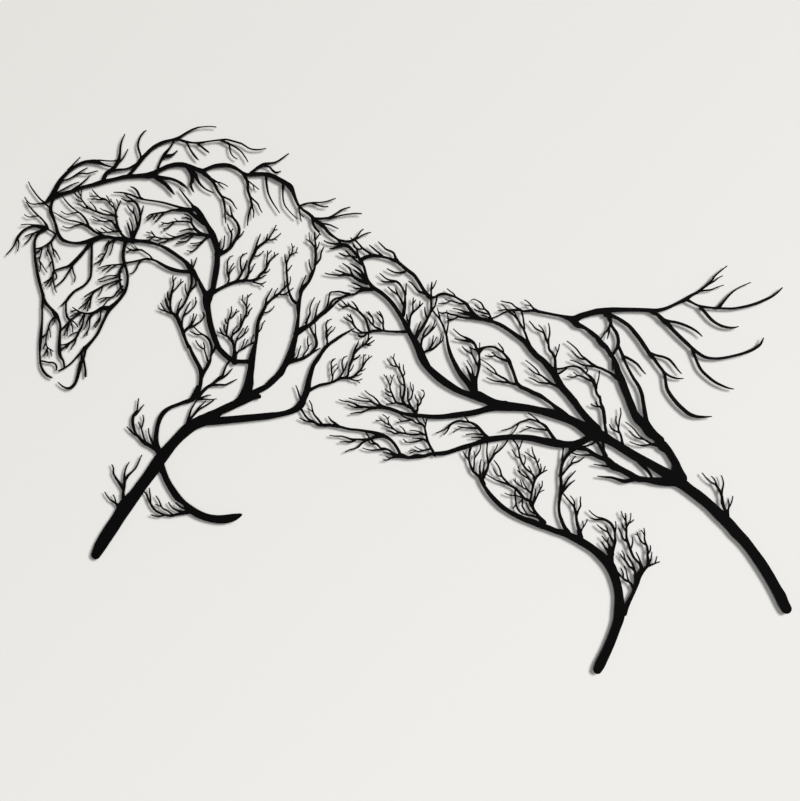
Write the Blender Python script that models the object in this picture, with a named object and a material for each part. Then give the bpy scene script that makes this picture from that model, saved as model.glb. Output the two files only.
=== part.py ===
"""Wall art: a leaping horse drawn as bare tree limbs, one cut steel plate with studs welded behind it.

Metres, +Z up. The plate's front faces -Y, the wall is the plane Y = 0, and the origin is the middle of the
wall face of the stud behind the shoulder.
"""

import math

import bmesh
import bpy
from mathutils import Matrix, Vector
from mathutils.geometry import convex_hull_2d, delaunay_2d_cdt

# Driving dimensions.
HORSE_LENGTH = 1.2
PLATE_THICKNESS = 0.002
STUD_LENGTH = 0.01
STUD_DIAMETER = 0.008
STUD_CHAMFER = 0.0006
STUD_SIDES = 24
STUD_WELD_DEPTH = PLATE_THICKNESS / 2

# The drawing's unit is a thousandth of the horse's length. Its X runs from the forelock's tip to the hind
# hoof, its Z up from the lowest hoof, and its widths are in the same unit.
UNIT = HORSE_LENGTH / 1000

# How the limbs are turned into the plate's outline, in units.
CURVE_STEP = 4
LIMB_TOLERANCE = 0.8
OUTLINE_TOLERANCE = 0.6
THINNEST_TWIG = 2.2
TIP_WIDTH = 1
POINTED_END_BELOW = 6
ROUND_END_SIDES = 12
SMALLEST_HOLE_AREA = 12
PINCH_REPAIR_RADIUS = OUTLINE_TOLERANCE
MERGE_DISTANCE = 1e-5
SHORTEST_SIDE = 0.01
WELD_DISTANCE = 1e-6
MITRE_FLOOR = 0.6
MITRE_LIMIT = 1.5

# Where the studs stand, each behind a limb that is wider than the stud. The first one carries the origin.
STUD_PLACES = [
    (303, 350),
    (164.5, 230),
    (257, 480),
    (598, 353.5),
    (748, 307),
    (900, 210.5),
    (781, 79),
    (188, 636.5),
]

# Colours are linear.
POWDER_COAT_BLACK = (0.0055, 0.0055, 0.006, 1)
POWDER_COAT_ROUGHNESS = 0.5

# Each limb is a row of stations (x, z, width) in units, from its root to its tip.
HEAD = [
    # Poll: the lower limb, the arc over it, and the twigs between them.
    [(50, 600, 2.7), (56, 604.5, 5), (62, 607.5, 5.5), (70, 610.5, 5), (78, 613, 4.5), (86, 615.2, 4),
     (94, 618.5, 4), (102, 620.9, 4), (110, 622.6, 4.4), (118, 625.2, 5.2), (126, 627.4, 5),
     (134, 629.1, 4.2), (142, 630.9, 4.2), (152, 633.2, 5), (162, 633.8, 5), (172, 634.5, 5.4),
     (182, 634.8, 7.5), (190, 636.5, 8)],
    [(54, 603, 5), (59, 609, 6.5), (63.5, 617, 6.5), (68, 625.5, 6), (73, 632.5, 5), (79, 638.7, 4.2),
     (86, 644.5, 4), (93, 648.9, 3.8), (100, 651.6, 4), (108, 652.5, 4.6), (115, 652.2, 5.4), (121, 650, 4),
     (127, 647.5, 2.8), (133, 646, 2), (138, 645.5, 1.5)],
    [(124, 627, 5.4), (125.5, 632.5, 5.2), (129, 638, 5.2), (134, 641.4, 4.8), (138.5, 645, 4.8),
     (141.5, 650, 4.8), (144, 655.5, 4.1), (145.3, 661, 3.3), (145.7, 668, 2.7), (147.3, 677, 2.2),
     (151.5, 687, 0.9)],
    # Forelock.
    [(60, 604, 4.5), (58.3, 598, 3.6), (57.2, 591, 4.8), (58.8, 585, 5), (60.8, 580, 3.6), (62.6, 575, 3.5),
     (64.2, 570, 3.9), (65.5, 564, 4.4), (68, 558, 4.6), (72, 553, 4.8), (78, 550.4, 4), (85, 548.8, 3.5),
     (92, 548.6, 3.6), (99, 549.6, 4.3), (106, 551.5, 5.2), (113.2, 553.6, 6.4), (121, 556.3, 5.5),
     (130, 556.3, 4.4), (140, 554.5, 4.8), (150, 553.8, 4.5)],
    [(53, 568, 3.8), (51.5, 572, 3.4), (49, 575.7, 2.4), (45.6, 579.6, 2.4), (41.6, 583.3, 2.1),
     (37.3, 587.3, 2.3), (33.2, 591.7, 2), (29.6, 596.2, 2), (26.2, 600.8, 1.4)],
    [(53, 567.5, 5.4), (47, 568.3, 5), (40, 569.3, 2.6), (34, 570, 3), (27.8, 568, 2.6), (22, 564, 3.1),
     (17.5, 558.8, 3.4), (14.6, 554.2, 3.6), (12.4, 549.1, 2.2), (9.3, 543.2, 1.8), (5.3, 538.5, 1.4),
     (0.8, 533.8, 1)],
    # Bridge of the nose, down to the muzzle.
    [(51, 566, 3.6), (45, 563.5, 3.8), (40.5, 559.5, 3.9), (38, 554.6, 3.2), (36.8, 549, 3.4),
     (36.7, 543, 3.6), (37.2, 535, 3.4), (37.6, 528, 3.4), (38.8, 520, 3.6), (40.1, 512, 3.9),
     (42, 503, 4.1), (43.7, 496, 3.8), (45.7, 489, 3.8), (47.8, 481, 4.3), (47.5, 474, 3.8),
     (46.5, 467, 2.6), (46.5, 458, 2.6), (46.3, 449, 2.8), (45.6, 440, 3.5), (44.9, 430, 4.2),
     (44, 420, 3.8), (43.4, 410, 2.6), (43.7, 402, 2.6), (44.3, 395, 2.6), (46, 389.5, 3.2),
     (49, 384.3, 3.5), (53.5, 380, 3.3), (58.5, 377.3, 2.5)],
    # Eye and cheek.
    [(109, 552, 6), (105.3, 546, 5), (101.3, 540.3, 4.1), (97, 535, 4.8), (92.3, 529.8, 4.8),
     (87.8, 525.2, 4.9), (83.8, 521.3, 5.2), (79.5, 519.2, 3.2), (73, 517.4, 2.7), (67, 515.4, 2.5),
     (61, 513.2, 2.6)],
    [(110, 553, 5.4), (109.3, 546, 3.8), (109.5, 538, 3.2), (109.2, 529, 3.4), (109, 519, 3.4),
     (108.8, 511, 3), (107.5, 504.5, 3), (104.2, 499.2, 3.1), (100, 494.8, 2.9), (94, 491.3, 2.7),
     (88, 487.8, 2.9), (83.3, 483, 3.5), (79.8, 478.5, 3.4), (77, 473.6, 2.6), (76.7, 467, 2.6),
     (76.8, 460.5, 2.7), (78.2, 455, 3.1), (81.5, 450.5, 3.1)],
    [(131, 465.6, 6.8), (122, 465.6, 5), (116, 462, 4.2), (110, 459.6, 3.2), (104, 458.9, 2.8),
     (98, 459.7, 2.6), (93, 461.5, 2.4), (89, 464, 1.9), (85, 467, 0.9)],
    # Jaw, with its inner strand, and the twigs that reach forward from it.
    [(152, 552, 5.4), (151.6, 546, 4.4), (149.7, 538, 4.2), (149.6, 530, 4.4), (151, 523, 4.4),
     (153.4, 515.4, 3.6), (155, 508, 3.5), (155.2, 501.1, 3.4), (154.1, 494, 3.6), (151.7, 487, 4.2),
     (147.4, 480.4, 4.2), (143.2, 475.4, 4.3), (138.4, 470.7, 5), (133, 466, 6.2), (129, 458.5, 4),
     (125.3, 451, 3.6), (121, 441.8, 3.7), (117.8, 434.9, 3.5), (113.8, 429, 3.4), (109, 423.2, 3.8),
     (104.1, 417.9, 4.8), (101, 413, 4.5)],
    [(151, 522, 3.6), (147.2, 517.2, 3.2), (144.8, 511, 3.8), (144.8, 504, 2.9), (145.4, 498, 2.9),
     (146.6, 492.5, 3.8), (149, 487.5, 3.6)],
    # Mouth, muzzle and chin.
    [(47.5, 480, 4.5), (50.3, 473.5, 4.4), (54.9, 467.8, 3.9), (59.9, 462.8, 4.1), (63.8, 457.4, 6),
     (67.5, 451, 3.6), (69.4, 444, 3), (69.6, 438, 3.2), (68.9, 431, 3.3), (68.5, 423, 4), (68.3, 415, 4.6),
     (68.8, 408, 4.4), (70.2, 403.6, 3.8), (73, 399.5, 2.8), (74.2, 395, 2.7), (74.7, 390, 2.7)],
    [(100.6, 416.3, 4.2), (96, 410, 3), (92.5, 406, 2.6), (88, 400.8, 2.4), (83.5, 396, 2.3),
     (79, 392.6, 2.2), (74.5, 389.7, 2.3), (70.5, 387.6, 2.2), (67, 386.2, 1.6)],
    [(102.4, 417.8, 4.2), (101.4, 412, 3), (100.3, 406, 3), (97.5, 400, 4.8), (95, 394.2, 4.5),
     (94, 389, 4.6), (92.4, 382, 4.3), (90.8, 376, 3.9), (88.3, 370, 3.7), (84.4, 365.6, 4),
     (79.5, 363.8, 3.4), (74.9, 365, 2.6), (70.3, 368, 1.8), (66.5, 371.6, 0.9)],
    # Brow: the twigs that reach forward from the ear and the poll.
    [(125, 557.9, 3.2), (120, 560, 3.6), (114, 562.9, 3.2), (109.7, 565.9, 3.8), (105.7, 569.2, 4.2),
     (99.7, 572.3, 3.1), (95, 574.4, 2.5), (89, 576.2, 2.2), (82, 577.4, 2), (77, 578.6, 1.8),
     (71.8, 581.2, 1.8), (66.8, 584.3, 1.5), (61.5, 587.7, 0.9)],
    [(154, 554, 4.5), (150, 556.5, 4), (147, 560, 3.6), (144.7, 564.5, 3.4), (142.2, 569.8, 4.2),
     (141.4, 576, 3.2), (140.2, 582, 4), (141, 588, 2.9), (139.5, 593, 2.8), (136, 596.3, 2.6),
     (132.4, 599.7, 2.4), (129.5, 603.3, 2.2), (125, 605, 2.5), (120.5, 606.1, 2), (117, 608.9, 1.8),
     (114, 612, 1.9), (110, 616.5, 0.9)],
]

NECK = [
    # Upper crest bough and its hanging twigs.
    [(152, 632, 4), (159, 637.6, 4), (164, 643.5, 4.2), (168.5, 649.5, 5.4), (172.5, 654.9, 5.6),
     (176, 658.7, 5), (180, 662.9, 4.7), (185, 667.8, 4.6), (190, 671.7, 4.6), (195, 674.6, 4.3),
     (200, 676.8, 4.1), (205, 678.3, 3.8), (210, 679.5, 3.3), (215, 680.7, 3.6), (219, 682.1, 3.8),
     (222.5, 684, 3.3), (226, 686.3, 3), (230, 688.9, 2.6), (235, 691.8, 2.5), (240, 694, 2.4),
     (245, 695.7, 1.9), (250, 696.4, 1.5), (255, 696.9, 1.3), (260, 697.1, 1.2), (267.6, 696.3, 1)],
    [(213.8, 679.5, 2.6), (212.4, 675, 2.2), (210.3, 671.5, 2.3), (208, 668.5, 2.6), (205.2, 665.3, 3.4),
     (202.6, 662, 4.4), (200.3, 658, 4.2), (198.3, 654.8, 3.3), (196.4, 651.1, 3), (195, 647.5, 2.9),
     (193.6, 643.5, 3), (192.5, 638.5, 3.5)],
    [(201, 659, 4), (204.5, 659.3, 4.2), (208, 659.9, 4.3), (211, 660.4, 3.8), (213.4, 661.7, 2.7),
     (215.8, 663.7, 2.1), (218.3, 665.9, 1.7)],
    # Lower crest limb, from the fork behind the poll to the withers.
    [(178, 634.5, 6), (185, 636.7, 6), (190, 638.8, 5.4), (195, 640.9, 5.4), (200, 643.6, 5), (205, 646, 5),
     (210, 647.5, 5.3), (215, 648.5, 5.5), (220, 648.8, 5.8), (226, 648.4, 5.9), (231, 647.3, 5.4),
     (236, 645.7, 5.2), (241, 643.5, 5.4), (246, 641.3, 6), (250.5, 640.3, 6.2), (255, 642.5, 4.5),
     (260, 645, 4), (265, 646.6, 4.5), (270, 647.5, 5), (275, 647.9, 5.3), (280, 647.9, 5.2),
     (285, 647, 5.1), (290, 645.2, 4.8), (295, 642.3, 4.3), (299.7, 639, 4), (306, 636, 4), (318, 636.5, 5),
     (328, 636.5, 5), (338, 634.5, 6), (348, 629.5, 6), (357, 624.5, 6), (362, 620.5, 7), (366, 612, 5),
     (369, 604, 4), (373, 596, 3.5), (378, 591, 3.5), (384, 587, 4), (390, 582, 4.5)],
    [(188, 633.5, 5), (195, 632.3, 5), (200, 631.6, 5), (205, 631.1, 4.3), (210, 630.4, 3.7),
     (215, 628.8, 3.7), (220, 626.4, 3.8), (224.5, 623.5, 4), (228, 620.8, 3.2), (231, 617.6, 1.3)],
    [(190, 632.5, 5), (193.5, 630.5, 5.2), (197.5, 628.1, 5.4), (200.8, 625.6, 5.5), (204.8, 622.1, 4.9),
     (208, 618.5, 4.6), (211, 614.8, 3.9), (213.2, 612, 2.6), (214.6, 610.5, 1.3)],
    [(228, 647, 3.5), (232, 643.5, 4.5), (235.5, 639, 5), (237.2, 634, 5), (237.3, 629.5, 4.8),
     (236.3, 625.8, 4.1), (235.4, 622.9, 3.7), (235.9, 620, 3.3), (237.2, 617.1, 3), (238.4, 614.9, 2.2),
     (239.2, 613.5, 1.2)],
    [(232, 644.5, 3), (236.5, 641.2, 3.6), (240.5, 637, 4.8), (242.3, 632.5, 5), (243.8, 629.3, 4.4),
     (245.6, 625.9, 3.6), (248, 622.9, 3.2), (250.8, 620, 2.6), (254.5, 617.2, 2.2), (258.6, 615, 2),
     (261.5, 613.7, 1.8), (264.3, 612.5, 1.1)],
    [(246, 642.5, 5), (250, 639.5, 6.3), (253.5, 636.5, 6), (257.6, 633, 5.1), (261.3, 629.4, 4.7),
     (264.3, 625.8, 4), (266.4, 622.1, 3.8), (268, 618.5, 3.7), (269.8, 614.9, 3.5), (272.4, 611.2, 3.4),
     (275, 607.5, 3.3), (276.8, 604, 3.3), (277.6, 600.5, 3.2), (278.5, 596, 3), (279, 590, 2.5),
     (279, 583, 2), (280, 574, 1.2)],
    [(301, 638, 4), (305, 632, 4), (308, 624, 4), (308, 616, 3.5), (310, 610, 3.5), (312, 603, 3),
     (313, 597, 3.5), (311, 591, 2.5), (309, 584, 2.5), (308, 577, 2), (307.5, 571, 1.2)],
    [(311, 637, 4), (316, 641, 3.5), (322, 645.5, 4), (329, 649, 4), (336, 650, 3), (342, 651, 2.5),
     (348, 654, 2), (355, 659, 1.8), (360, 662.5, 1.2)],
    [(353, 625, 4), (352.5, 612, 2.2), (353, 604, 2), (355, 597, 2), (360, 590, 1.6), (366, 584),
     (370, 580, 1)],
    # Throat limb: twigs that reach forward from the neck trunk to the ear.
    [(241, 592, 5), (235, 591.3, 4.7), (227, 592.3, 4.4), (220, 594.5, 3.1), (210, 597.5, 2.9),
     (200, 600.2, 2.7), (190, 602, 2.5), (180, 603.4, 2.4), (172, 604.8, 2.7), (165, 607.6, 2.7),
     (159, 610, 2.7), (153, 611.8, 2.5), (147, 612.9, 1.9), (137.5, 613.2, 1)],
    [(161, 551, 6), (162.5, 557, 5.2), (165.5, 563.5, 4.6), (168.8, 570, 3.9), (170.5, 576, 3.3),
     (171.3, 582, 3.1), (170.5, 588, 2.9), (169.2, 593, 3.1), (166.8, 598.3, 3.5), (163.3, 601.5, 3.5),
     (158.5, 602, 2.7), (153.5, 602.3, 2.3), (147.3, 605.5, 1)],
    [(161, 551, 6), (160.5, 558, 4.8), (158.5, 563.5, 3.1), (156.5, 568.5, 2.5), (154.8, 574, 1.2)],
    # Neck trunk, down to the chest.
    [(236, 597, 2), (241, 593, 6), (247, 586, 7), (253, 577, 6), (257.7, 568.8, 6.5), (263, 560, 8),
     (266.2, 550.7, 8.4), (269.5, 540, 8), (269.3, 530, 7), (268.6, 520, 7.8), (267.2, 510.1, 7.8),
     (265.3, 500.1, 7.4), (263.5, 490, 7), (257.2, 480, 12.5), (256, 470, 9.5), (258, 460.2, 7.2),
     (259.3, 450.2, 7.6), (261.7, 440.3, 7.5), (264.8, 430.4, 7.4), (268.6, 420.3, 7.1), (271, 415.3, 6.8),
     (275.4, 410.1, 6.8)],
    [(252, 574, 6), (245, 580, 6), (238, 585, 5), (231, 590, 4), (225, 591, 4.5), (217, 590.8, 3.2),
     (210, 590, 2.8), (204, 588, 2.6), (198, 587.3, 2.4), (190, 586, 2.4), (184, 584.7, 2),
     (179, 581.2, 1.2)],
    [(261, 558, 4), (255, 559, 3.5), (247, 562, 3.5), (242, 566, 3.5), (238, 571, 3), (235, 575, 2.5),
     (228, 576, 2), (220, 576, 2.2), (213, 575.5, 2), (206, 573.5, 2), (198, 575, 1.2)],
    [(260, 557, 4), (250, 559, 3.5), (240, 560, 3.5), (233, 561, 3), (226, 559, 2.8), (218, 556.5, 2.8),
     (210, 554, 2.8), (203, 554, 2.5), (196, 555, 2.2), (190, 557, 2), (187, 561, 1.8), (185, 564, 1)],
    [(259, 558, 4), (253, 553, 2.5), (250, 549, 2.5), (246, 546, 2.5), (243, 542, 2.2), (239, 539, 2),
     (234, 536.5, 1.2)],
    # Jaw to chest limbs.
    [(146, 554, 6), (160, 552, 6), (170, 551.4, 4.4), (180, 550.5, 5), (189.8, 547.8, 3.6),
     (196.5, 545.5, 3.4), (205, 541.4, 4.9), (213.1, 536.2, 4.9), (221.2, 530.4, 4.9), (228.4, 524.9, 5.1),
     (234, 518, 7), (238, 512, 8), (243.5, 505, 4), (247.7, 496.4, 5.1), (252, 488, 6), (256, 481, 9)],
    [(150, 523, 3), (160, 524.5, 2.5), (170, 526.5, 2.8), (178, 528.5, 2.8), (185, 528, 3), (190, 526.5, 3),
     (197, 522.5, 4), (205, 518, 4.5), (213, 515, 5), (222, 513, 4.5), (230, 512.5, 4.5), (237, 512.5, 6)],
    # Bush in front of the chest.
    [(236, 511, 4), (236.5, 503, 3), (236, 495, 3), (234.5, 489, 3), (232, 482, 3), (229, 475, 3),
     (225, 468, 3), (220, 462.5, 3.5), (218, 457, 4.5), (220, 450, 5), (223, 443, 5), (226, 434, 4.5),
     (229, 425, 4), (233, 416, 5)],
    [(220, 451, 4.5), (215, 457, 4), (211, 461, 3.5), (209.5, 467, 3), (209.5, 475, 3), (210.5, 483, 3.5),
     (212, 490, 2.5), (213.5, 497, 2.2), (212.5, 503, 1.8), (213, 508, 1.2)],
    # Bush behind the neck trunk.
    [(268, 534, 6), (274, 536, 5.5), (280, 538.5, 4.5), (287, 544, 4), (290, 549, 4), (293, 554, 3.5),
     (296, 560, 4), (297, 566, 4), (295, 573, 3.5), (291, 579, 3), (286, 583, 2.5), (281, 586, 2)],
    [(270, 536, 4), (271.5, 544, 3), (273, 552, 1.4)],
    # Front bough of the neck, four rising twigs.
    [(258, 483, 7), (266, 487, 5), (272, 490.5, 4), (280, 494.5, 4), (288, 498, 4), (296, 500.3, 4),
     (305, 501, 3.5), (313, 501.2, 3.2), (320, 503.5, 3.5), (324, 509, 3), (330, 514, 3), (333, 520, 3),
     (336, 526, 2.5), (341, 531, 2.2), (347, 535.5, 1.2)],
    [(301, 500, 4), (307, 505, 3.5), (309, 512, 3), (309.5, 520, 3), (312, 527, 3.5), (315, 533, 4),
     (318, 540, 4), (319, 546, 2.5), (321, 552, 2), (324, 560, 1.2)],
]

SHOULDER = [
    # Limb that rises from the chest to the withers.
    [(358, 400, 7), (362.9, 407.6, 8.1), (366, 418, 7), (368.5, 428, 6), (370, 436, 6), (371.2, 445, 5),
     (372.5, 458, 4), (372.5, 470, 6), (374.8, 480, 3.8), (375.9, 487.7, 5.6), (379.3, 492.8, 5.6),
     (385.5, 499.7, 3.8), (388.9, 508, 5), (392.5, 515.6, 3), (393.6, 523.8, 3.5), (394.5, 532, 3.5),
     (394.2, 540, 4), (394, 548, 2.6), (393, 556, 2.5), (393, 563, 1.3)],
    [(372, 471, 4), (366, 475, 4), (362, 482, 3.5), (359.5, 490, 3), (358.5, 497, 3), (358, 504, 3),
     (357.5, 511, 2.8), (357, 518, 2.5), (358, 525, 2.5), (361, 531, 2.2), (364, 536, 2), (365, 541, 1.8),
     (363.5, 548, 1.2)],
    # Withers.
    [(388, 584, 4), (392, 579.5, 5), (396.5, 576, 5.6), (400.5, 573, 5.6), (403.8, 570.2, 5),
     (406.8, 567.1, 4.2), (409.3, 563.6, 4.3), (412.9, 560, 4), (417.1, 556.8, 3.5), (420.7, 554.3, 3),
     (424.3, 552.5, 3), (428.6, 551.4, 3.4), (432.9, 550.7, 3.2), (437.1, 550.9, 3.2), (440.4, 551.6, 3.4),
     (442.5, 552.8, 3.6), (445, 554.4, 3.2), (447.3, 557.3, 2.2), (449.3, 560, 1.9), (451.5, 563.6, 1.8),
     (455, 566.4, 1.2)],
    [(390, 580, 4), (391, 573, 2.8), (393, 568, 2.2), (397, 563.5, 1.8), (401, 559, 1.2)],
    [(402, 573, 4), (406, 573, 2.6), (410, 572.4, 2.2), (414, 571.2, 2), (418, 569.2, 1.9), (423, 567, 1.3)],
    [(421, 554.5, 3), (423.6, 551.4, 3), (425.5, 548, 4), (430, 546.4, 5), (434.3, 545.2, 5),
     (438.2, 542.5, 4.4), (442, 538.8, 4), (445.4, 534.6, 3.5), (448, 531.2, 3.6), (450.7, 528, 4.4),
     (452.5, 525, 4.6), (454.2, 521.5, 4), (456, 517.5, 3.6), (457, 513.5, 3.6), (457.9, 509.5, 3.8),
     (459, 504.5, 4.4), (460.6, 500.5, 4.8), (463.6, 496.3, 4.8), (467.7, 492, 5.2), (476.2, 486.6, 5.2),
     (484.8, 479.4, 5.2), (492.2, 471.5, 5.4), (499, 461.6, 5.3), (505, 451.6, 5.2), (510.6, 441.3, 7),
     (515.6, 431.8, 6.4), (520.6, 423.9, 8.2), (526.1, 413.3, 10), (529.9, 404.5, 9.3), (536.2, 393.1, 8)],
    [(428, 545.6, 4.6), (423, 544.4, 3.8), (419.3, 543, 2.9), (415.7, 541.8, 2.2), (411.8, 541.4, 1.3)],
    [(457.7, 502.3, 4), (454, 505.5, 4.5), (450, 508.6, 3.6), (447, 511.5, 2.8), (444, 513.6, 2),
     (442, 514.7, 1.2)],
    [(461, 497.5, 5), (456, 499.3, 5), (451.5, 500.8, 4.4), (447, 503, 4.2), (443, 505.5, 3.8),
     (439, 507.8, 3.6), (435.4, 508.5, 3.6), (430.8, 508.4, 3.4), (425.4, 507.9, 2.6), (420, 507.9, 2.2),
     (414.5, 508.5, 1.9), (410, 509.3, 1.8), (406, 510.5, 1.2)],
    [(444.5, 504, 4), (441.2, 508.3, 2.8), (439.6, 511.5, 2.6), (438.3, 514.8, 2.4), (436, 517.7, 2.2),
     (433, 520, 2), (428.5, 523, 1.2)],
    [(467, 491, 4), (459, 490.8, 3.6), (455.4, 491.5, 3.2), (452, 493, 2.8), (449.2, 494.6, 2.4),
     (446.2, 496.2, 2.2), (443, 497.3, 1.9), (439.8, 498.1, 1.2)],
    # Shoulder limb, from the chest up to the withers, with its two eye-shaped openings.
    [(468, 489.8, 4), (460, 489.2, 3.4), (455, 488.8, 3.2), (451, 487.9, 3.3), (447.5, 486, 3),
     (444, 483.8, 2.8), (440, 483.3, 3), (436, 482.5, 3), (432, 481.5, 3.2), (428.5, 479.8, 3),
     (424.6, 476.9, 3), (420.8, 473.8, 3), (416.2, 469.2, 3.4), (412, 465.6, 4.2), (406.4, 461.7, 5.8),
     (400.2, 457, 5.2), (393.7, 450.5, 5.4), (386.5, 444.4, 4.5), (378.1, 439.9, 7.2), (369, 433, 7)],
    [(406, 461, 4), (408.5, 467, 3), (409.8, 472, 2.4), (410.8, 477, 2.2), (411.6, 481.5, 2),
     (412.2, 484.8, 2), (414, 486.2, 2), (417.5, 486.5, 2), (421, 486.9, 2.2), (424.5, 486.9, 2.4),
     (427.5, 486.2, 2.6), (431, 485, 3), (434, 484.6, 3), (438, 484.2, 3)],
    [(386, 444, 2.5), (389, 437, 2.5), (392, 432, 2.8), (395, 425, 4), (395, 418, 4), (391, 412, 3),
     (385, 406, 2.5)],
    [(356, 395, 5), (361, 397, 4.5), (367, 399, 4), (375, 401, 4), (382, 404, 4), (388, 408, 3.5),
     (393, 411, 2.5), (400, 415, 1.2)],
    # Elbow bough: a long spear and a bough like the neck's, somewhat smaller.
    [(375.4, 344.1, 8.6), (380.4, 352.2, 7), (383.6, 362.2, 8.4), (385.2, 372.1, 7.2), (388.1, 383.1, 6.2),
     (391.5, 393.2, 5.4), (396.7, 401.1, 5.8), (402, 409, 4.5), (407, 416, 5), (412, 420.5, 4),
     (420, 426, 4.2), (428, 431.5, 3.5), (436, 436, 2.5), (443, 440, 1.5)],
    [(384, 360, 5), (393, 365, 4), (401, 368.5, 3.5), (409, 370, 3.2), (415, 371.5, 3), (421, 374.5, 3.5),
     (428, 377, 3.5), (436, 377, 3.2), (443, 379, 3.2), (447, 383, 3), (452, 388, 2.8), (455, 393, 2.6),
     (458, 398, 2.2), (462, 402, 1.6), (466, 405, 1)],
    # Spray that reaches forward under the withers.
    [(514, 436.5, 5), (502, 435.8, 3.4), (495, 435.9, 3.2), (487, 436.3, 3), (479, 437.3, 3.2),
     (473, 437.4, 3.4), (468, 437, 3.4), (464, 436, 3.4), (460, 434.8, 2.8), (456, 434.6, 3),
     (452.5, 435.2, 2.8), (450, 436.8, 2.8), (447, 439.2, 2.6), (444.6, 441.6, 2.8), (442.7, 444.6, 3),
     (440.8, 447, 2.6), (438.5, 449.3, 2.2), (435.4, 450.8, 2.2), (432.4, 452.4, 1.9), (430, 453.9, 1.2)],
]

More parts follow.
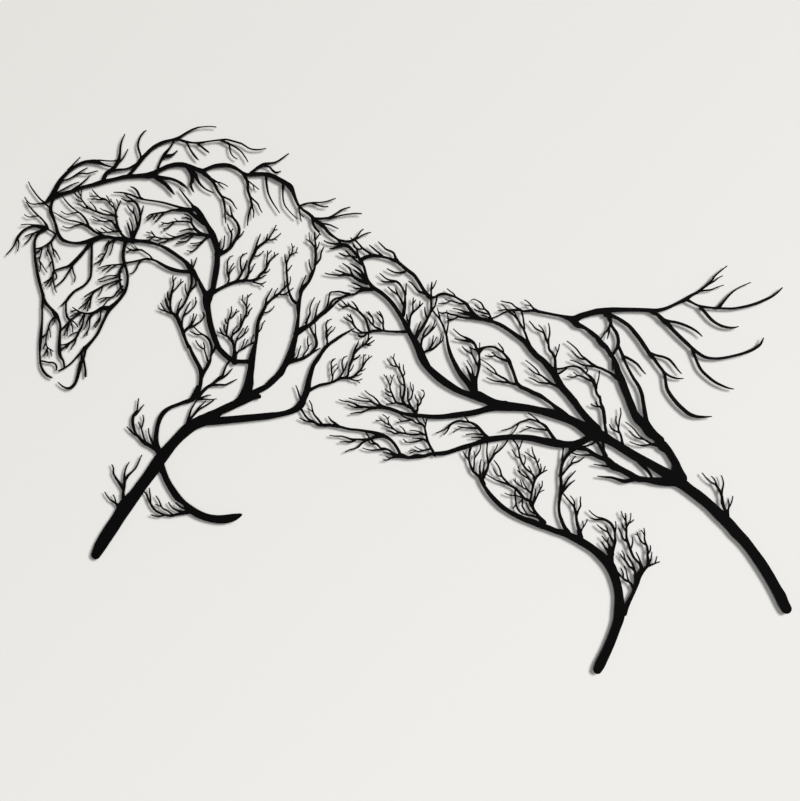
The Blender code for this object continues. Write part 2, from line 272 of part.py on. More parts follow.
BACK = [
    [(452.5, 528, 5), (456.4, 530, 4.8), (460, 531.4, 4.4), (464.3, 532.5, 4.5), (468.6, 532.8, 4.6),
     (472.9, 532.5, 3.9), (477.1, 531.7, 3.6), (481.4, 530.7, 3.4), (485.7, 529.6, 3.3), (490, 528.3, 3.8),
     (494.3, 526.8, 4.4), (498.6, 524.6, 4.8), (502.1, 521.8, 4.4), (505.7, 518.6, 4.6),
     (511.6, 513.8, 4.7), (519.3, 507.9, 4.7), (525.3, 499.5, 4.6), (530.5, 491, 4.4), (535, 484.4, 5),
     (539.6, 480.2, 5.6), (545, 479.6, 3), (551, 483, 3.5), (558, 484, 3.8), (565, 482.5, 3.2),
     (572, 480, 3), (578, 476.5, 3), (585, 472, 4), (591, 464, 4.5), (597, 457, 4.5), (603, 453, 4.5),
     (612, 451, 5), (620, 448.5, 4.5), (630, 444.3, 5), (640, 438, 5), (650, 431, 5.5), (660, 424, 6.5),
     (668, 414, 7), (676, 405, 7), (684, 399, 7), (690, 392, 8), (697, 384, 9), (702, 375, 8.5),
     (708, 365, 8.5), (716, 356, 8.5), (724, 346, 9)],
    [(498.2, 525.7, 5), (496.1, 529.3, 4), (495, 532.9, 3.1), (493.6, 535.7, 3), (490.7, 537.9, 2.9),
     (487.1, 539.3, 2.7), (483.9, 540.7, 2.4), (480.7, 543.6, 2.2), (477.9, 546.4, 2), (473.9, 550.2, 1.3)],
    [(597, 458, 4), (590, 460, 3), (583, 461.5, 2.5), (577, 464, 1.8), (569, 465.5, 1.2)],
    [(600, 455, 5), (592, 457, 4), (585, 458.5, 3), (575, 460.5, 1.5)],
    [(605, 452, 5), (595, 453, 3.5), (585, 453.5, 2.8), (577, 455, 3), (572, 457, 2.8), (566, 458, 2.5),
     (561, 460, 2.5), (555, 459.5, 2), (551, 460.5, 1.8)],
    [(541.2, 480, 3.2), (541.2, 474, 3), (541.2, 469, 3), (541.8, 464.6, 3.8), (540.2, 460, 3.2),
     (537.8, 455.4, 3.3), (535.8, 451, 3.4), (533.5, 446.8, 3.8), (530.5, 441.5, 4), (527.5, 437.5, 4.2),
     (524.5, 433, 5), (521.5, 428, 6)],
    [(537, 483, 4), (534.6, 483.8, 3.6), (530.8, 485.4, 3), (527, 486.6, 2.8), (523.8, 488.8, 2.6),
     (521.5, 491.5, 2.4), (519.2, 494.6, 2.2), (516.2, 497.7, 2), (512.3, 500.2, 1.2)],
    [(542, 464, 2.2), (547, 458, 2), (552, 452, 2.5), (556, 444.5, 2.8), (557.7, 440, 2.8),
     (559.3, 435.5, 2.8), (560.9, 430, 3), (561.6, 425, 3.3), (562.4, 420, 3.8)],
    [(512.6, 441, 4), (513.2, 445.5, 3.8), (513.8, 449.8, 3.3), (514.4, 453.4, 3), (515.8, 457.3, 2.8),
     (518, 460.3, 2.8), (521, 463, 2.6), (524.2, 465.8, 2.4), (527.2, 468.6, 2.2), (531, 472.6, 1.2)],
    [(530.8, 407, 4), (533, 410, 3), (536.2, 411.6, 3), (540, 412.4, 3.2), (543, 413.9, 3.2), (546, 416, 3),
     (551, 420.5, 2.4), (555, 424, 1.9), (557, 430.5, 1.1)],
    [(527.5, 414, 4.5), (528.6, 421, 3.2), (529.6, 426, 3), (531.5, 429, 3), (534.5, 431, 2.8),
     (537.5, 433.6, 2.6), (540.5, 436.6, 2.6), (543.2, 439, 2.2), (545.5, 441.5, 1.8), (548, 445.5, 1.1)],
    [(505.5, 455.5, 4.5), (506.4, 460.5, 5), (507, 465.4, 4.8), (507.7, 470.8, 4.4), (508, 476, 3.2),
     (508, 481.5, 2.7), (507, 486.2, 2.6), (505, 490.8, 2.6), (502.7, 494.6, 2.9), (500, 497.7, 3.2),
     (497, 499.6, 3.2), (493, 500.5, 3.2), (489, 501.5, 2.2), (485.4, 502.7, 2.1), (482.3, 504.6, 2),
     (479.6, 507, 1.8), (475.8, 510.1, 1.2)],
    # Twigs on the loin.
    [(619, 449, 4), (616, 456, 2.8), (614, 460.5, 2.8), (609, 465, 2.5), (605, 472, 2.2), (600, 475.5, 1.6),
     (596, 477.5, 1)],
    [(617, 452.5, 2), (625, 455.5, 2), (632, 459, 2), (638, 462, 2.5), (645, 463.5, 3), (652, 463.5, 3),
     (660, 462, 3), (670, 463, 3.5), (678, 461.5, 4), (688, 459.5, 3.5), (698, 457.5, 3.5), (708, 455.5, 4),
     (716, 453.5, 6), (722, 451, 9)],
    [(640, 462, 3), (648, 455, 2.2), (652, 450, 2.5), (655, 445, 3), (658, 440, 2.5), (661, 434, 3),
     (663, 428, 3), (667, 418, 4)],
    [(699, 383, 6), (699, 393, 4), (698.5, 402, 3.6), (696, 408, 3.5), (692, 412, 3), (690.5, 419, 3),
     (690.5, 426, 2.5), (692, 433, 2.2), (692, 439, 1.8), (690.5, 446.5, 1.2)],
]

TAIL = [
    [(708, 455.5, 4), (716, 453.5, 6), (723, 452, 9), (732, 456, 8), (742, 459, 7.5), (752, 461.5, 8),
     (762, 462.5, 8), (772, 463.8, 6.5), (785, 464, 5.5), (800, 464, 5), (815, 463.5, 5), (828, 463, 5),
     (838, 465, 4.5), (848, 469, 4), (856, 473, 4), (865, 477, 5.5), (872, 482, 4), (880, 486, 3.5),
     (886, 490.5, 3), (893, 496, 3.2), (898, 501, 3), (902, 506.5, 2.2), (908, 512, 2), (917.5, 519.5, 1.2)],
    [(865, 477.5, 5), (874, 472.5, 3), (880, 469.5, 3), (888, 467.5, 3.5), (896, 466.5, 3), (905, 466, 3),
     (915, 465.5, 3), (925, 465.5, 3), (938, 467.5, 3.2), (952, 471, 3.5), (965, 476, 3.5), (976, 481.5, 3),
     (983, 487, 2.5), (988, 492, 1.2)],
    [(907, 466.5, 4.5), (914, 475, 3), (921, 483, 2.5), (928, 489, 2), (937, 494, 1.6), (947.5, 498.5, 1)],
    [(883, 468, 4), (890, 460, 4), (897, 452, 4), (905, 446, 3.5), (913, 442.5, 3.5), (921, 441, 3),
     (926, 441, 2.5), (932, 442.5, 1)],
    [(819, 463, 5), (829, 457.5, 5), (836, 451, 6), (842, 446, 6), (848, 439, 5), (856, 431, 5),
     (865, 422.5, 5), (873, 415, 4.5), (881, 408.5, 4.5), (890, 403.5, 4), (900, 401.8, 3.5),
     (912, 402.5, 3.3), (925, 405, 3.3), (940, 409, 3.5), (952, 414, 3.8), (960, 420, 3.2), (964, 428, 1.2)],
    [(834, 452, 5), (843, 449.5, 3.5), (852, 448, 3.5), (862, 445, 3.5), (872, 440.5, 3.2),
     (880, 435.5, 2.5), (886, 430, 1.2)],
    [(873, 414, 4), (877, 404, 3.5), (880, 396, 3.8), (885, 387, 3.8), (893, 379, 3.8), (902, 372, 3.5),
     (912, 367, 3), (920, 364, 2.2), (926, 363, 1)],
    [(764, 458, 7), (775, 454.5, 5), (784, 449.5, 5), (793, 443, 5), (800, 435, 5.5), (807, 426, 5.5),
     (813, 417, 5.5), (819, 408, 5), (825, 401, 4.5), (831, 392.5, 4), (836, 386, 4), (838.5, 380, 4),
     (839.5, 372, 4), (841, 364, 4.5), (846, 355, 4.8), (853, 346, 5), (861, 338, 5), (870, 331, 5),
     (879, 328, 4), (888, 327.5, 3), (898, 328, 1)],
    [(819, 409, 4), (827, 406, 3.2), (836, 404, 3.2), (844, 400.5, 3.2), (850, 394, 3), (855, 387.5, 2),
     (859.5, 382.5, 1)],
]

HIP = [
    [(767, 460, 7), (769, 450, 5), (770, 445, 4), (773, 440, 4), (777, 434, 4.5), (779, 427, 4.5),
     (779, 419, 4.5), (776, 412, 3.5), (771, 406, 4.5)],
    [(779, 418, 4.5), (782, 412, 4), (785, 405, 4.5), (788, 397, 3.5), (793, 387, 3.5), (799, 376, 4),
     (805, 367, 4.5), (809, 357, 5), (811, 346, 5), (813, 335, 5), (815, 322, 6)],
    [(785, 405, 4), (792, 402, 3.5), (798, 398.5, 3.5), (804, 394, 3), (809, 387.5, 2.5), (814, 382, 1.2)],
    [(722, 452, 8), (726.6, 445.5, 7.8), (735.9, 441.2, 4.8), (745.1, 434.5, 5.7), (752.8, 427.9, 6),
     (757.6, 421.6, 7), (763.9, 415.8, 6.3), (768.2, 409.1, 5.6), (773, 402, 5.7), (776.5, 394.1, 6.7),
     (779, 385, 8), (783.6, 374.2, 9.4), (787.6, 363.2, 9.4), (792, 352.4, 8.8), (796.4, 341.1, 9.5),
     (801.1, 331.1, 8.5), (809.2, 320.8, 12)],
    [(773, 402, 5), (772.5, 394, 2.5), (772.5, 387, 1.5)],
    # Sprays that reach forward from the hip and thigh.
    [(782, 375, 6), (778, 377, 5), (773, 381, 3.5), (766, 385, 3.5), (758, 389, 3.5), (750, 391.5, 3),
     (742, 392.5, 2.8), (734, 393.5, 2.5), (727, 397, 1.8), (718, 400, 1.1)],
    [(708, 363, 5), (699, 368, 3.5), (692, 370, 3), (685, 370.5, 2.5), (678, 371.5, 2.2), (672, 375, 1.8),
     (665.5, 377.5, 1.1)],
    [(653, 368.5, 5), (645, 370, 3.2), (637, 371.5, 3), (630, 372.5, 2.5), (623, 373, 2.2), (617, 375, 1.8),
     (611.5, 377.5, 1.1)],
    [(701, 388.5, 3), (709, 389.5, 2.2), (716, 391.5, 2.5), (723, 392, 2.8), (729, 390.5, 3), (735, 386, 3),
     (739, 382, 3), (744, 378, 4), (748, 372, 5), (750, 365, 3.5), (752, 357, 3.5), (756, 351, 3.5),
     (757, 345, 3.5), (760, 339, 3.5), (762, 330, 3), (763, 319, 3)],
    # Flank limb.
    [(601.8, 408, 3), (604.6, 411.4, 3.2), (606.6, 413.4, 2.5), (609.3, 415.6, 2.4), (612.1, 416.6, 2.7),
     (615.7, 416.9, 2.9), (619.3, 416.7, 3), (622.9, 415.6, 3.1), (626.4, 413.6, 3.2), (629.6, 411.5, 3.2),
     (632.3, 409.4, 3.2), (634.6, 407, 3.2), (637.1, 404, 3.7), (640.3, 398.6, 5.2), (642.5, 392.8, 4.6),
     (646, 384, 4), (648.5, 376.2, 4.1), (650.8, 369.8, 5), (655.8, 365.5, 5.2), (663.6, 362.2, 5.2),
     (671.6, 358, 5.6), (679.3, 354.7, 5.8), (687.5, 349.3, 4.6), (696.5, 342.5, 4.6), (704, 335.5, 8),
     (712.4, 328.5, 8.8)],
    [(642, 397, 4.6), (638.5, 398.8, 4), (635.7, 399.7, 3.4), (632.1, 400.7, 3), (628.6, 401.9, 2.6),
     (625.7, 403.6, 2.4), (623.6, 404.8, 2.3), (620.7, 404.9, 1.9), (617.9, 404.3, 2), (614.3, 404.4, 1.6),
     (609.8, 405.5, 1.1)],
]

FORELEG = [
    [(250, 322.7, 15.6), (240, 318, 14), (230, 311, 14.5), (220.3, 301.7, 13), (211.2, 291.8, 13),
     (203, 282, 15), (194.7, 271.2, 15.5), (188, 261, 15.5), (180.3, 250.2, 14.6), (172.3, 239.7, 14.5),
     (165.2, 229.5, 15.2), (153, 214.7, 18.5), (144, 200, 16.5), (134.2, 185.1, 17), (125.3, 171.4, 16.3),
     (119, 160.5, 14.7), (114.8, 152.4, 12)],
    [(195, 283, 9), (192, 292, 7), (191.2, 300, 6.4), (192.2, 310, 5.6), (194.2, 319.7, 5.6),
     (198.3, 329.3, 6), (204, 336, 5.6), (210.4, 340, 4.5), (220.4, 343.8, 4.4), (228.3, 346.9, 4.8),
     (235.6, 349, 6), (241, 356, 7), (245, 365, 6.5)],
    [(193, 285, 6), (184, 290, 4), (177, 294, 4.5), (171, 300, 4), (166, 306, 3), (163, 313, 4),
     (161.5, 321, 4), (163, 330, 3.5), (167, 336, 2.2), (168, 343, 2), (169, 351, 1.2)],
    [(151.5, 217, 7), (149.5, 230, 4), (151, 239, 3.5), (151.5, 246, 4), (155, 252, 3.5), (160, 257, 2.5),
     (165, 262, 2.2), (169, 270, 2), (173, 279, 1.3)],
    [(145, 210, 5), (139.5, 218, 3), (133, 222, 2), (129, 227, 1.8), (126, 232, 1)],
    [(195, 270, 12), (201.6, 255.2, 8), (206, 245, 8), (212, 235, 8.5), (219, 225, 9), (227, 218, 6.6),
     (234, 211, 9.5), (243, 205, 10), (254.8, 200, 9.6), (268, 197.4, 10.4), (280, 197.6, 11),
     (290, 199.7, 9.6), (299.3, 203, 4)],
    [(234, 208, 8), (225, 205, 4.5), (218, 203.5, 3.5), (211, 202, 3.5), (204, 202.5, 2.5), (197, 205, 3),
     (190, 209, 3), (185, 216, 3), (181.5, 223, 2.5), (179, 229, 2), (175, 233.5, 1.8)],
]

CHEST = [
    [(233.2, 418, 4), (234.6, 415, 4.2), (236.6, 410, 4.3), (239, 405, 4.7), (241.8, 400, 4.9),
     (244.5, 395, 4.9), (247, 390, 5.2), (248.4, 385, 5.4), (248.6, 380, 5.2), (248.2, 372, 5),
     (245.8, 361.3, 5), (242.5, 353.6, 4.8), (235.5, 349, 5.6), (228.4, 346.4, 5)],
    [(267, 418, 3.5), (265.3, 413.5, 2.4), (264.2, 411, 2.5), (262.3, 408.5, 3.4), (260.9, 405, 3),
     (260.6, 401.5, 3), (259.6, 398, 4), (257.9, 395, 4.9), (256.1, 391, 4.7), (253.6, 387, 4.7),
     (250.8, 382, 5), (249.5, 378, 4.6)],
    [(264.8, 430.4, 7.4), (268.6, 420.3, 7.1), (271, 415.3, 6.8), (275.4, 410.1, 6.8), (280.5, 405.3, 6.8),
     (285, 401.6, 6.4), (290, 398.9, 6), (296, 398.1, 5.4), (303, 398, 5.3), (311, 398, 6)],
    [(328, 463, 4), (324.4, 456, 5.2), (321.5, 449, 4.5), (320, 441, 4.5), (319.4, 432.8, 4.8),
     (318.6, 424.8, 4), (315.5, 412, 6.8), (313, 400.2, 9), (312.3, 390, 8.6), (310.6, 380, 9.6),
     (309.5, 370, 12), (306.5, 360, 13), (301.6, 350.6, 13.5)],
    # Four-twig bough on the upper arm.
    [(327, 462, 4), (331, 470, 4), (331.5, 477, 2.5), (334, 482, 2), (339, 491, 1.2)],
    [(330.5, 469, 4), (337, 476, 3), (343, 481, 3.5), (348, 484.5, 3), (353, 490, 2.5), (359, 495.5, 2)],
    # Bush on the chest.
    [(291, 397, 7), (291, 405, 5.7), (291.2, 410, 4.6), (290.7, 415, 3.8), (289.8, 420, 3.6),
     (287, 424.6, 3.4), (283.5, 428.3, 3), (281.2, 431.6, 2.8), (280.9, 434.5, 3), (281.4, 438, 2.8),
     (281.9, 441.5, 2.7), (282.5, 445, 2.3), (283.2, 450, 2.2), (285, 455, 2.3), (287, 461, 2),
     (287, 468, 1.2)],
    [(292.5, 403, 4), (293.3, 407, 3.2), (294.8, 409.4, 2.6), (296.6, 411.4, 2.4), (298.6, 412.9, 2.3),
     (300.7, 413.7, 2.2), (302.9, 414.4, 2.1), (305, 415.8, 2), (307.1, 417.7, 2), (309.3, 419.3, 2),
     (311.4, 420.6, 2.4), (316, 422.2, 2.8)],
    # Small tree in the crook of the elbow.
    [(244, 351, 5), (250, 359, 4.2), (256, 365, 4), (263, 369.2, 3.8), (266.3, 371.9, 3.8),
     (270, 375.2, 4.6), (273.6, 377.9, 4.4), (276, 380.4, 3.3), (276.9, 383, 2.9), (277.9, 386, 2.7),
     (279.1, 389.3, 2.5), (280.7, 392.9, 2.4), (283.2, 396.8, 2.3), (285, 399.5, 2.5)],
    [(231, 317, 6), (236, 326, 3.2), (241, 332, 3), (246, 337, 2.5), (252, 340.5, 2.2), (260, 345.5, 2),
     (265, 349.5, 1.6)],
    [(231.5, 319, 5), (233.5, 329, 3), (236, 337, 2.4), (240, 344, 1.9), (243.5, 350, 1.8)],
    # Forearm: two limbs that part behind the raised foreleg.
    [(240, 318, 13), (252, 323.3, 15), (262, 327.2, 16.5), (272, 334.5, 10.5), (281.7, 339.1, 10.8),
     (291.8, 343.8, 10.3), (302.2, 349.5, 12.5), (313, 353.5, 10), (322, 353.5, 6)],
    [(250, 322.8, 13), (262, 321.5, 9), (275, 323, 9.8), (290, 324.4, 9.2), (305, 325.8, 9.3),
     (320, 327.3, 8.8), (335, 328.9, 8.6), (350, 331.2, 6.8), (360.3, 333.8, 7.1), (368.8, 337.4, 8.4),
     (375.6, 343.6, 10), (379.5, 351.7, 8), (383.5, 362.2, 8.5)],
    [(307, 355, 10), (316, 358.5, 8), (324, 362.3, 7.6), (332, 366.5, 7.2), (339, 373, 8.5),
     (345, 378.5, 8), (350.5, 384.7, 8.8), (354.2, 391.7, 7.5), (358.2, 398.4, 8.7), (362.6, 406.2, 10.5),
     (364.6, 416.1, 7), (367.6, 427, 6.2)],
]

BELLY = [
    [(374, 340, 5), (378, 334, 2.8), (381, 329, 2.8), (386, 324, 3), (392, 321, 3.5), (398, 317.5, 4),
     (405, 317, 4.5), (413, 317, 4), (420, 316, 4), (427, 314.5, 3.5), (437, 312, 3.3), (448, 311, 3.3),
     (458, 309.5, 3.6), (468, 307.5, 4.5), (476, 305, 6), (483, 302.5, 5), (490, 298, 4), (496, 291, 4),
     (500, 284, 4), (503, 277, 5)],
    [(479, 304, 6), (470, 302, 4.5), (463, 299.5, 4), (455, 298.5, 3.2), (448, 299, 2.6), (440, 299, 3),
     (434, 301, 2.4), (427, 303, 2), (420, 303, 1.8), (412, 304, 1.1)],
    [(464, 300, 3), (468, 295, 3), (473, 292, 3), (477, 288, 2.5), (483, 287, 3), (488, 285, 3),
     (493, 281, 3.5), (501, 277.5, 5)],
    [(497, 279, 4), (490, 280, 2.8), (486, 281.5, 2), (480, 282, 1.1)],
    [(499, 277.5, 4), (491, 275.5, 2.4), (486, 273, 1.8), (480.5, 272.5, 1)],
    # Belly limb.
    [(424, 349.5, 1.1), (430, 347.5, 1.7), (437.1, 346.5, 2), (444.3, 343.7, 2.5), (450, 340.6, 4),
     (458, 340.1, 3.2), (466, 338.9, 4), (475, 339.5, 3.8), (484, 339, 4.5), (492.1, 336.8, 4.8),
     (500, 333.7, 4.5), (510, 331, 4.5), (519.8, 329.2, 6), (530, 329, 5), (540, 327.8, 5.7),
     (550, 327.6, 6.1), (560, 328.2, 6.4), (570, 329.5, 7.4), (580.1, 330.8, 7.4), (590.1, 332.1, 7.4),
     (600.2, 334, 7.7), (612, 337.5, 8), (622, 340.5, 11), (635, 341.7, 13.2)],
    # Bushes that stand on the belly limb.
    [(521, 332, 6), (524, 338, 3), (524, 343, 2.6), (524.5, 347, 2), (522.5, 350, 1.8), (520.5, 356, 1)],
    [(521, 333, 5), (515, 341, 4), (513, 346, 3), (511.5, 351, 2.8), (511.5, 357, 2.4), (511.5, 364, 1.2)],
    [(517, 338.5, 4.5), (512, 341, 4.5), (507, 344, 4), (504.5, 349, 3.5), (506.5, 356, 3.4),
     (507.5, 364, 3.2), (507, 371, 3), (505.5, 378, 2.8), (503, 384, 2.6), (499.5, 390, 2.4),
     (496, 395, 2.4), (494, 400, 2), (490.5, 404, 1.1)],
    [(510, 342.5, 4), (504, 344, 3.5), (497, 346, 3), (494, 351, 3), (491.5, 357, 2.6), (489, 363, 2.4),
     (488.5, 368, 2), (486, 374, 1.8), (481, 381.5, 1)],
    # Spray that hangs between the belly limb and the lower belly limb.
    [(546, 279, 5), (541, 288, 3.5), (537, 296, 3.5), (535, 304, 3.2), (533.5, 311, 3), (532, 316, 2.8),
     (528, 319, 2.8), (524, 323, 2.2), (520, 329, 2)],
    # Lower belly limb.
    [(497, 277.5, 5), (503, 278.3, 6.4), (512, 276, 4.1), (522, 277.5, 6), (532, 277.8, 4.6),
     (542, 280.5, 4.5), (552, 280.9, 5.6), (562, 282.3, 5.7), (572.1, 285.6, 5.7), (582.2, 288.9, 6.4),
     (592.2, 291.9, 5.8), (602.4, 295, 6.2), (612, 298.9, 7.8), (624, 300.5, 7.6), (640, 301.6, 6.8),
     (655, 301, 6), (670.1, 299.6, 7.8), (685.1, 296.3, 8.5), (700.2, 294, 10.5), (712, 292.4, 9),
     (726, 293.5, 8)],
    [(614, 300, 6), (608, 306, 4.5), (603, 312, 4.5), (598, 317, 4), (591, 320.5, 3), (584, 321.5, 3),
     (577, 322.5, 3), (570, 320.5, 3), (565, 317, 3), (560, 312.5, 2), (554, 309.5, 1.8), (547.5, 307, 1)],
    [(612, 301, 4), (603, 301.5, 2.2), (592.5, 301, 1.2)],
    [(699, 295, 6), (694, 303, 4.5), (690, 310, 4), (686, 316, 4), (680, 320, 3), (674, 322.5, 2.6),
     (667, 324.5, 2.6), (660, 322.5, 2.6), (654, 320.5, 2.4), (648, 316.5, 1.8), (642, 313, 1.7),
     (636, 311.5, 1.5), (630.5, 310, 1)],
    # Bush that hangs under the lower belly limb.
    [(609, 241, 5), (605, 249, 4), (600, 253.5, 3.6), (595, 258, 3.6), (592, 264, 3), (589.5, 272, 2.8),
     (589.5, 280, 3), (592, 290, 3.5)],
    [(606, 248, 5), (610, 256, 4.5), (613, 262, 3.5), (614, 269, 3), (612.5, 277, 2.4), (612, 284, 2),
     (613, 295, 1.8)],
    [(603.8, 248.5, 3.7), (608.5, 239.8, 4.5), (615.4, 229.8, 5.5), (622.7, 221.6, 6), (630.8, 213.9, 6.3),
     (640.6, 207, 6), (650.3, 201.7, 6.4), (659.9, 197.3, 6.8), (669.8, 193.8, 7.6), (681.6, 188.8, 7.4)],
]

FLANK = [
    # Limb from the shoulder's crest down to the flank.
    [(526, 412.8, 9.8), (529, 402.7, 8.3), (534.2, 394.1, 8), (540.8, 387, 8.4), (549.8, 378.8, 9.5),
     (557.4, 372.8, 9.6), (566.3, 366.8, 9), (573, 362.8, 8.3), (580, 359.3, 7.5), (587, 356.8, 7.9),
     (593, 355.2, 9.5), (600, 354.4, 13), (606, 352, 12.4), (612, 349.3, 11), (622, 344, 12.5),
     (635, 341.4, 12.6), (650, 340.2, 10.6), (665, 338.6, 9.4), (680, 335.5, 9.5), (692.1, 332.6, 11),
     (703.1, 329.2, 11.4), (714.1, 325.5, 11.2), (723, 321.6, 9.5)],
    [(561, 430, 3), (561.6, 425, 3.3), (562.4, 420, 3.8), (563.5, 415, 4.3), (564.9, 410, 4.9),
     (566.8, 405, 5), (569, 400, 5.3), (571.5, 395, 5.7), (574.1, 390, 6.1), (577, 385, 6.4),
     (580.5, 380, 6.9), (584.6, 375, 7.1), (589, 370, 7.4), (593, 364, 8), (598, 357, 9)],
    # Bush on the flank limb.
    [(597, 356, 9), (597.3, 368, 6.2), (598.2, 375, 4.4), (599.7, 380, 3.6), (601, 385, 3.5),
     (601.8, 390, 4.3), (602.4, 395, 4.3), (602.8, 400, 3.2), (602.4, 405, 2.8), (601.6, 408.5, 3),
     (600.3, 411.5, 2.8), (598.9, 415, 3.1), (597.6, 418.2, 3.5), (595.6, 421.2, 4.1), (592.4, 423.7, 4.8),
     (588.8, 426, 4.4), (585.5, 428.1, 3.3), (582.9, 429.3, 2.5), (580, 430.7, 2), (577.1, 432.5, 1.8),
     (574.3, 435, 1.7), (571.4, 437.5, 1.4), (569.4, 439.5, 1)],
    [(597, 366, 7), (594.5, 374, 6), (592, 379.5, 5), (590.2, 382.5, 3.6), (588.9, 385, 3),
     (587.7, 388, 2.4), (586.4, 391, 1.7), (585.7, 392.2, 1)],
    [(597, 375, 5), (594.8, 380, 3.4), (593.9, 383, 2.6), (593.6, 385.7, 2.2), (592.9, 389.2, 2),
     (591.1, 392.5, 1.8), (589.3, 395.4, 1.6), (587.5, 398.2, 1.3), (586.5, 399.6, 1)],
]

STIFLE = [
    # Bush that stands on the near hind leg's limb, under the belly.
    [(684, 193, 8), (677, 202, 4.5), (672, 209, 4), (670, 214, 4), (673, 221, 2.8), (677, 229, 2.4),
     (679, 234, 2.2), (682, 239, 1.8), (682.5, 246, 1.1)],
    [(671, 216, 4), (666, 221, 4), (660, 223.5, 4), (656, 228, 4), (652, 233, 4), (647, 237.5, 3.4),
     (640, 241, 3), (634, 243.5, 2.6), (626, 246, 2.2), (620, 249, 1.8), (611.5, 254.5, 1.2)],
    [(648.5, 237, 2.2), (648, 229, 2), (649, 220, 2.6), (650, 213, 2.6), (653, 208, 2.4), (658, 204.5, 2.4),
     (664, 202.5, 2.4), (671, 201.5, 2.8), (680, 198, 4)],
    # Front of the stifle.
    [(715, 181, 7), (711, 187, 5.2), (707.5, 195, 4.8), (704.5, 204, 4), (703.7, 215, 3.8), (705, 225, 4.3),
     (706.8, 233, 5), (706.5, 242, 4.2), (706, 252, 4.2), (706.5, 262, 4), (708, 269, 4), (712, 277, 4),
     (717, 283, 4.4), (724, 288, 6)],
    [(707.5, 236, 4), (712, 244, 3), (716, 250, 2.4), (720, 254, 2), (725, 259, 1.1)],
    # Bush inside the stifle, whose longest twig closes the loop.
    [(731, 174, 8), (730, 181, 5.5), (727.5, 190, 4.2), (726, 198, 3.6), (725.5, 205, 3.6), (723, 213, 3),
     (718, 219.5, 2.2), (713.5, 224.5, 2), (708.5, 231, 2)],
    [(731, 179, 4), (733, 185, 2.2), (736, 189, 1.7), (740, 197, 1.1)],
]

THIGH = [
    # Limbs that meet behind the flank.
    [(714.1, 325.5, 11), (725, 320.5, 11), (737, 313.5, 14), (747.7, 306.5, 17), (760, 302, 14),
     (772, 295.5, 11), (782, 289.5, 11), (792, 283, 11.3), (803, 276.5, 11.5), (815.1, 270.8, 10),
     (827, 263.5, 11.5), (838, 257, 13), (849, 250, 17)],
    [(723, 348, 8.5), (730, 337.5, 8.3), (737, 329, 8.5), (744, 320.5, 10), (751, 312, 13)],
    [(724, 293, 8.5), (732, 295.5, 9), (741, 300, 8.5), (750, 305, 11)],
    # Stem and twigs that rise from the junction.
    [(765, 300, 8), (763.5, 309, 4), (762, 318, 3.5), (760.5, 328, 3.2), (759.3, 337, 3), (757, 346, 2.8),
     (756, 354, 2.6)],
    [(788, 287, 5), (784.5, 293.5, 4), (783.5, 300, 3), (782, 305.5, 2.8), (779.5, 311, 2.6),
     (780, 318, 2.2), (781, 325, 1.9), (782.5, 331, 1.7), (782, 339, 1.1)],
    # Lower limb of the thigh.
    [(718, 286.5, 5), (724, 288.5, 6), (733, 287.5, 6), (741.3, 285, 4.8), (748, 280, 5.9),
     (755.7, 276, 5.5), (764.3, 273.5, 7.7), (772.5, 265.4, 10.3), (783, 260.5, 8), (793.3, 255, 8.2),
     (803, 249.3, 8.6), (815, 247.6, 7), (827, 246, 9.6), (838, 245, 11), (850, 246, 14)],
    [(744, 301, 5), (750.5, 297, 4), (756, 291, 3.8), (759, 284, 4.2), (763, 277, 5), (768, 270, 7)],
    [(758.5, 299, 4), (760.3, 292, 3.4), (760.8, 285, 3.8), (764, 277.5, 5)],
    [(776, 265.5, 7), (768, 264.5, 3.4), (760, 265.3, 2.6), (748, 267.3, 1.1)],
    [(802, 248.7, 6), (794, 246.5, 5), (787, 245.7, 5), (779, 248, 4), (771, 250.3, 3.4), (763, 251, 2.6),
     (753, 252, 1.1)],
    [(806, 271, 6), (813, 263.5, 5), (818.5, 256.5, 3.8), (823, 248.5, 3.6)],
    # Twigs inside the thigh's back limb.
    [(829, 292, 6), (821, 292.5, 2.8), (812, 291, 2.4), (804, 292, 1.9), (794, 296, 1.1)],
    # Back limb of the thigh, from the hip down to the hock.
    [(794.8, 345.3, 6.8), (797.7, 335, 7.2), (803.5, 325, 9.5), (812, 315.9, 9), (820.5, 306, 11),
     (829.2, 299, 8), (835.6, 291.1, 12.8), (842.5, 284.7, 10), (847.9, 276.3, 9.5), (852.6, 267.8, 10),
     (854.5, 258, 15), (858, 249, 18)],
    [(810.5, 345, 3.5), (812, 334, 4), (814.5, 324, 5.5), (819, 314, 8), (825, 305, 10), (832, 297.5, 12)],
]

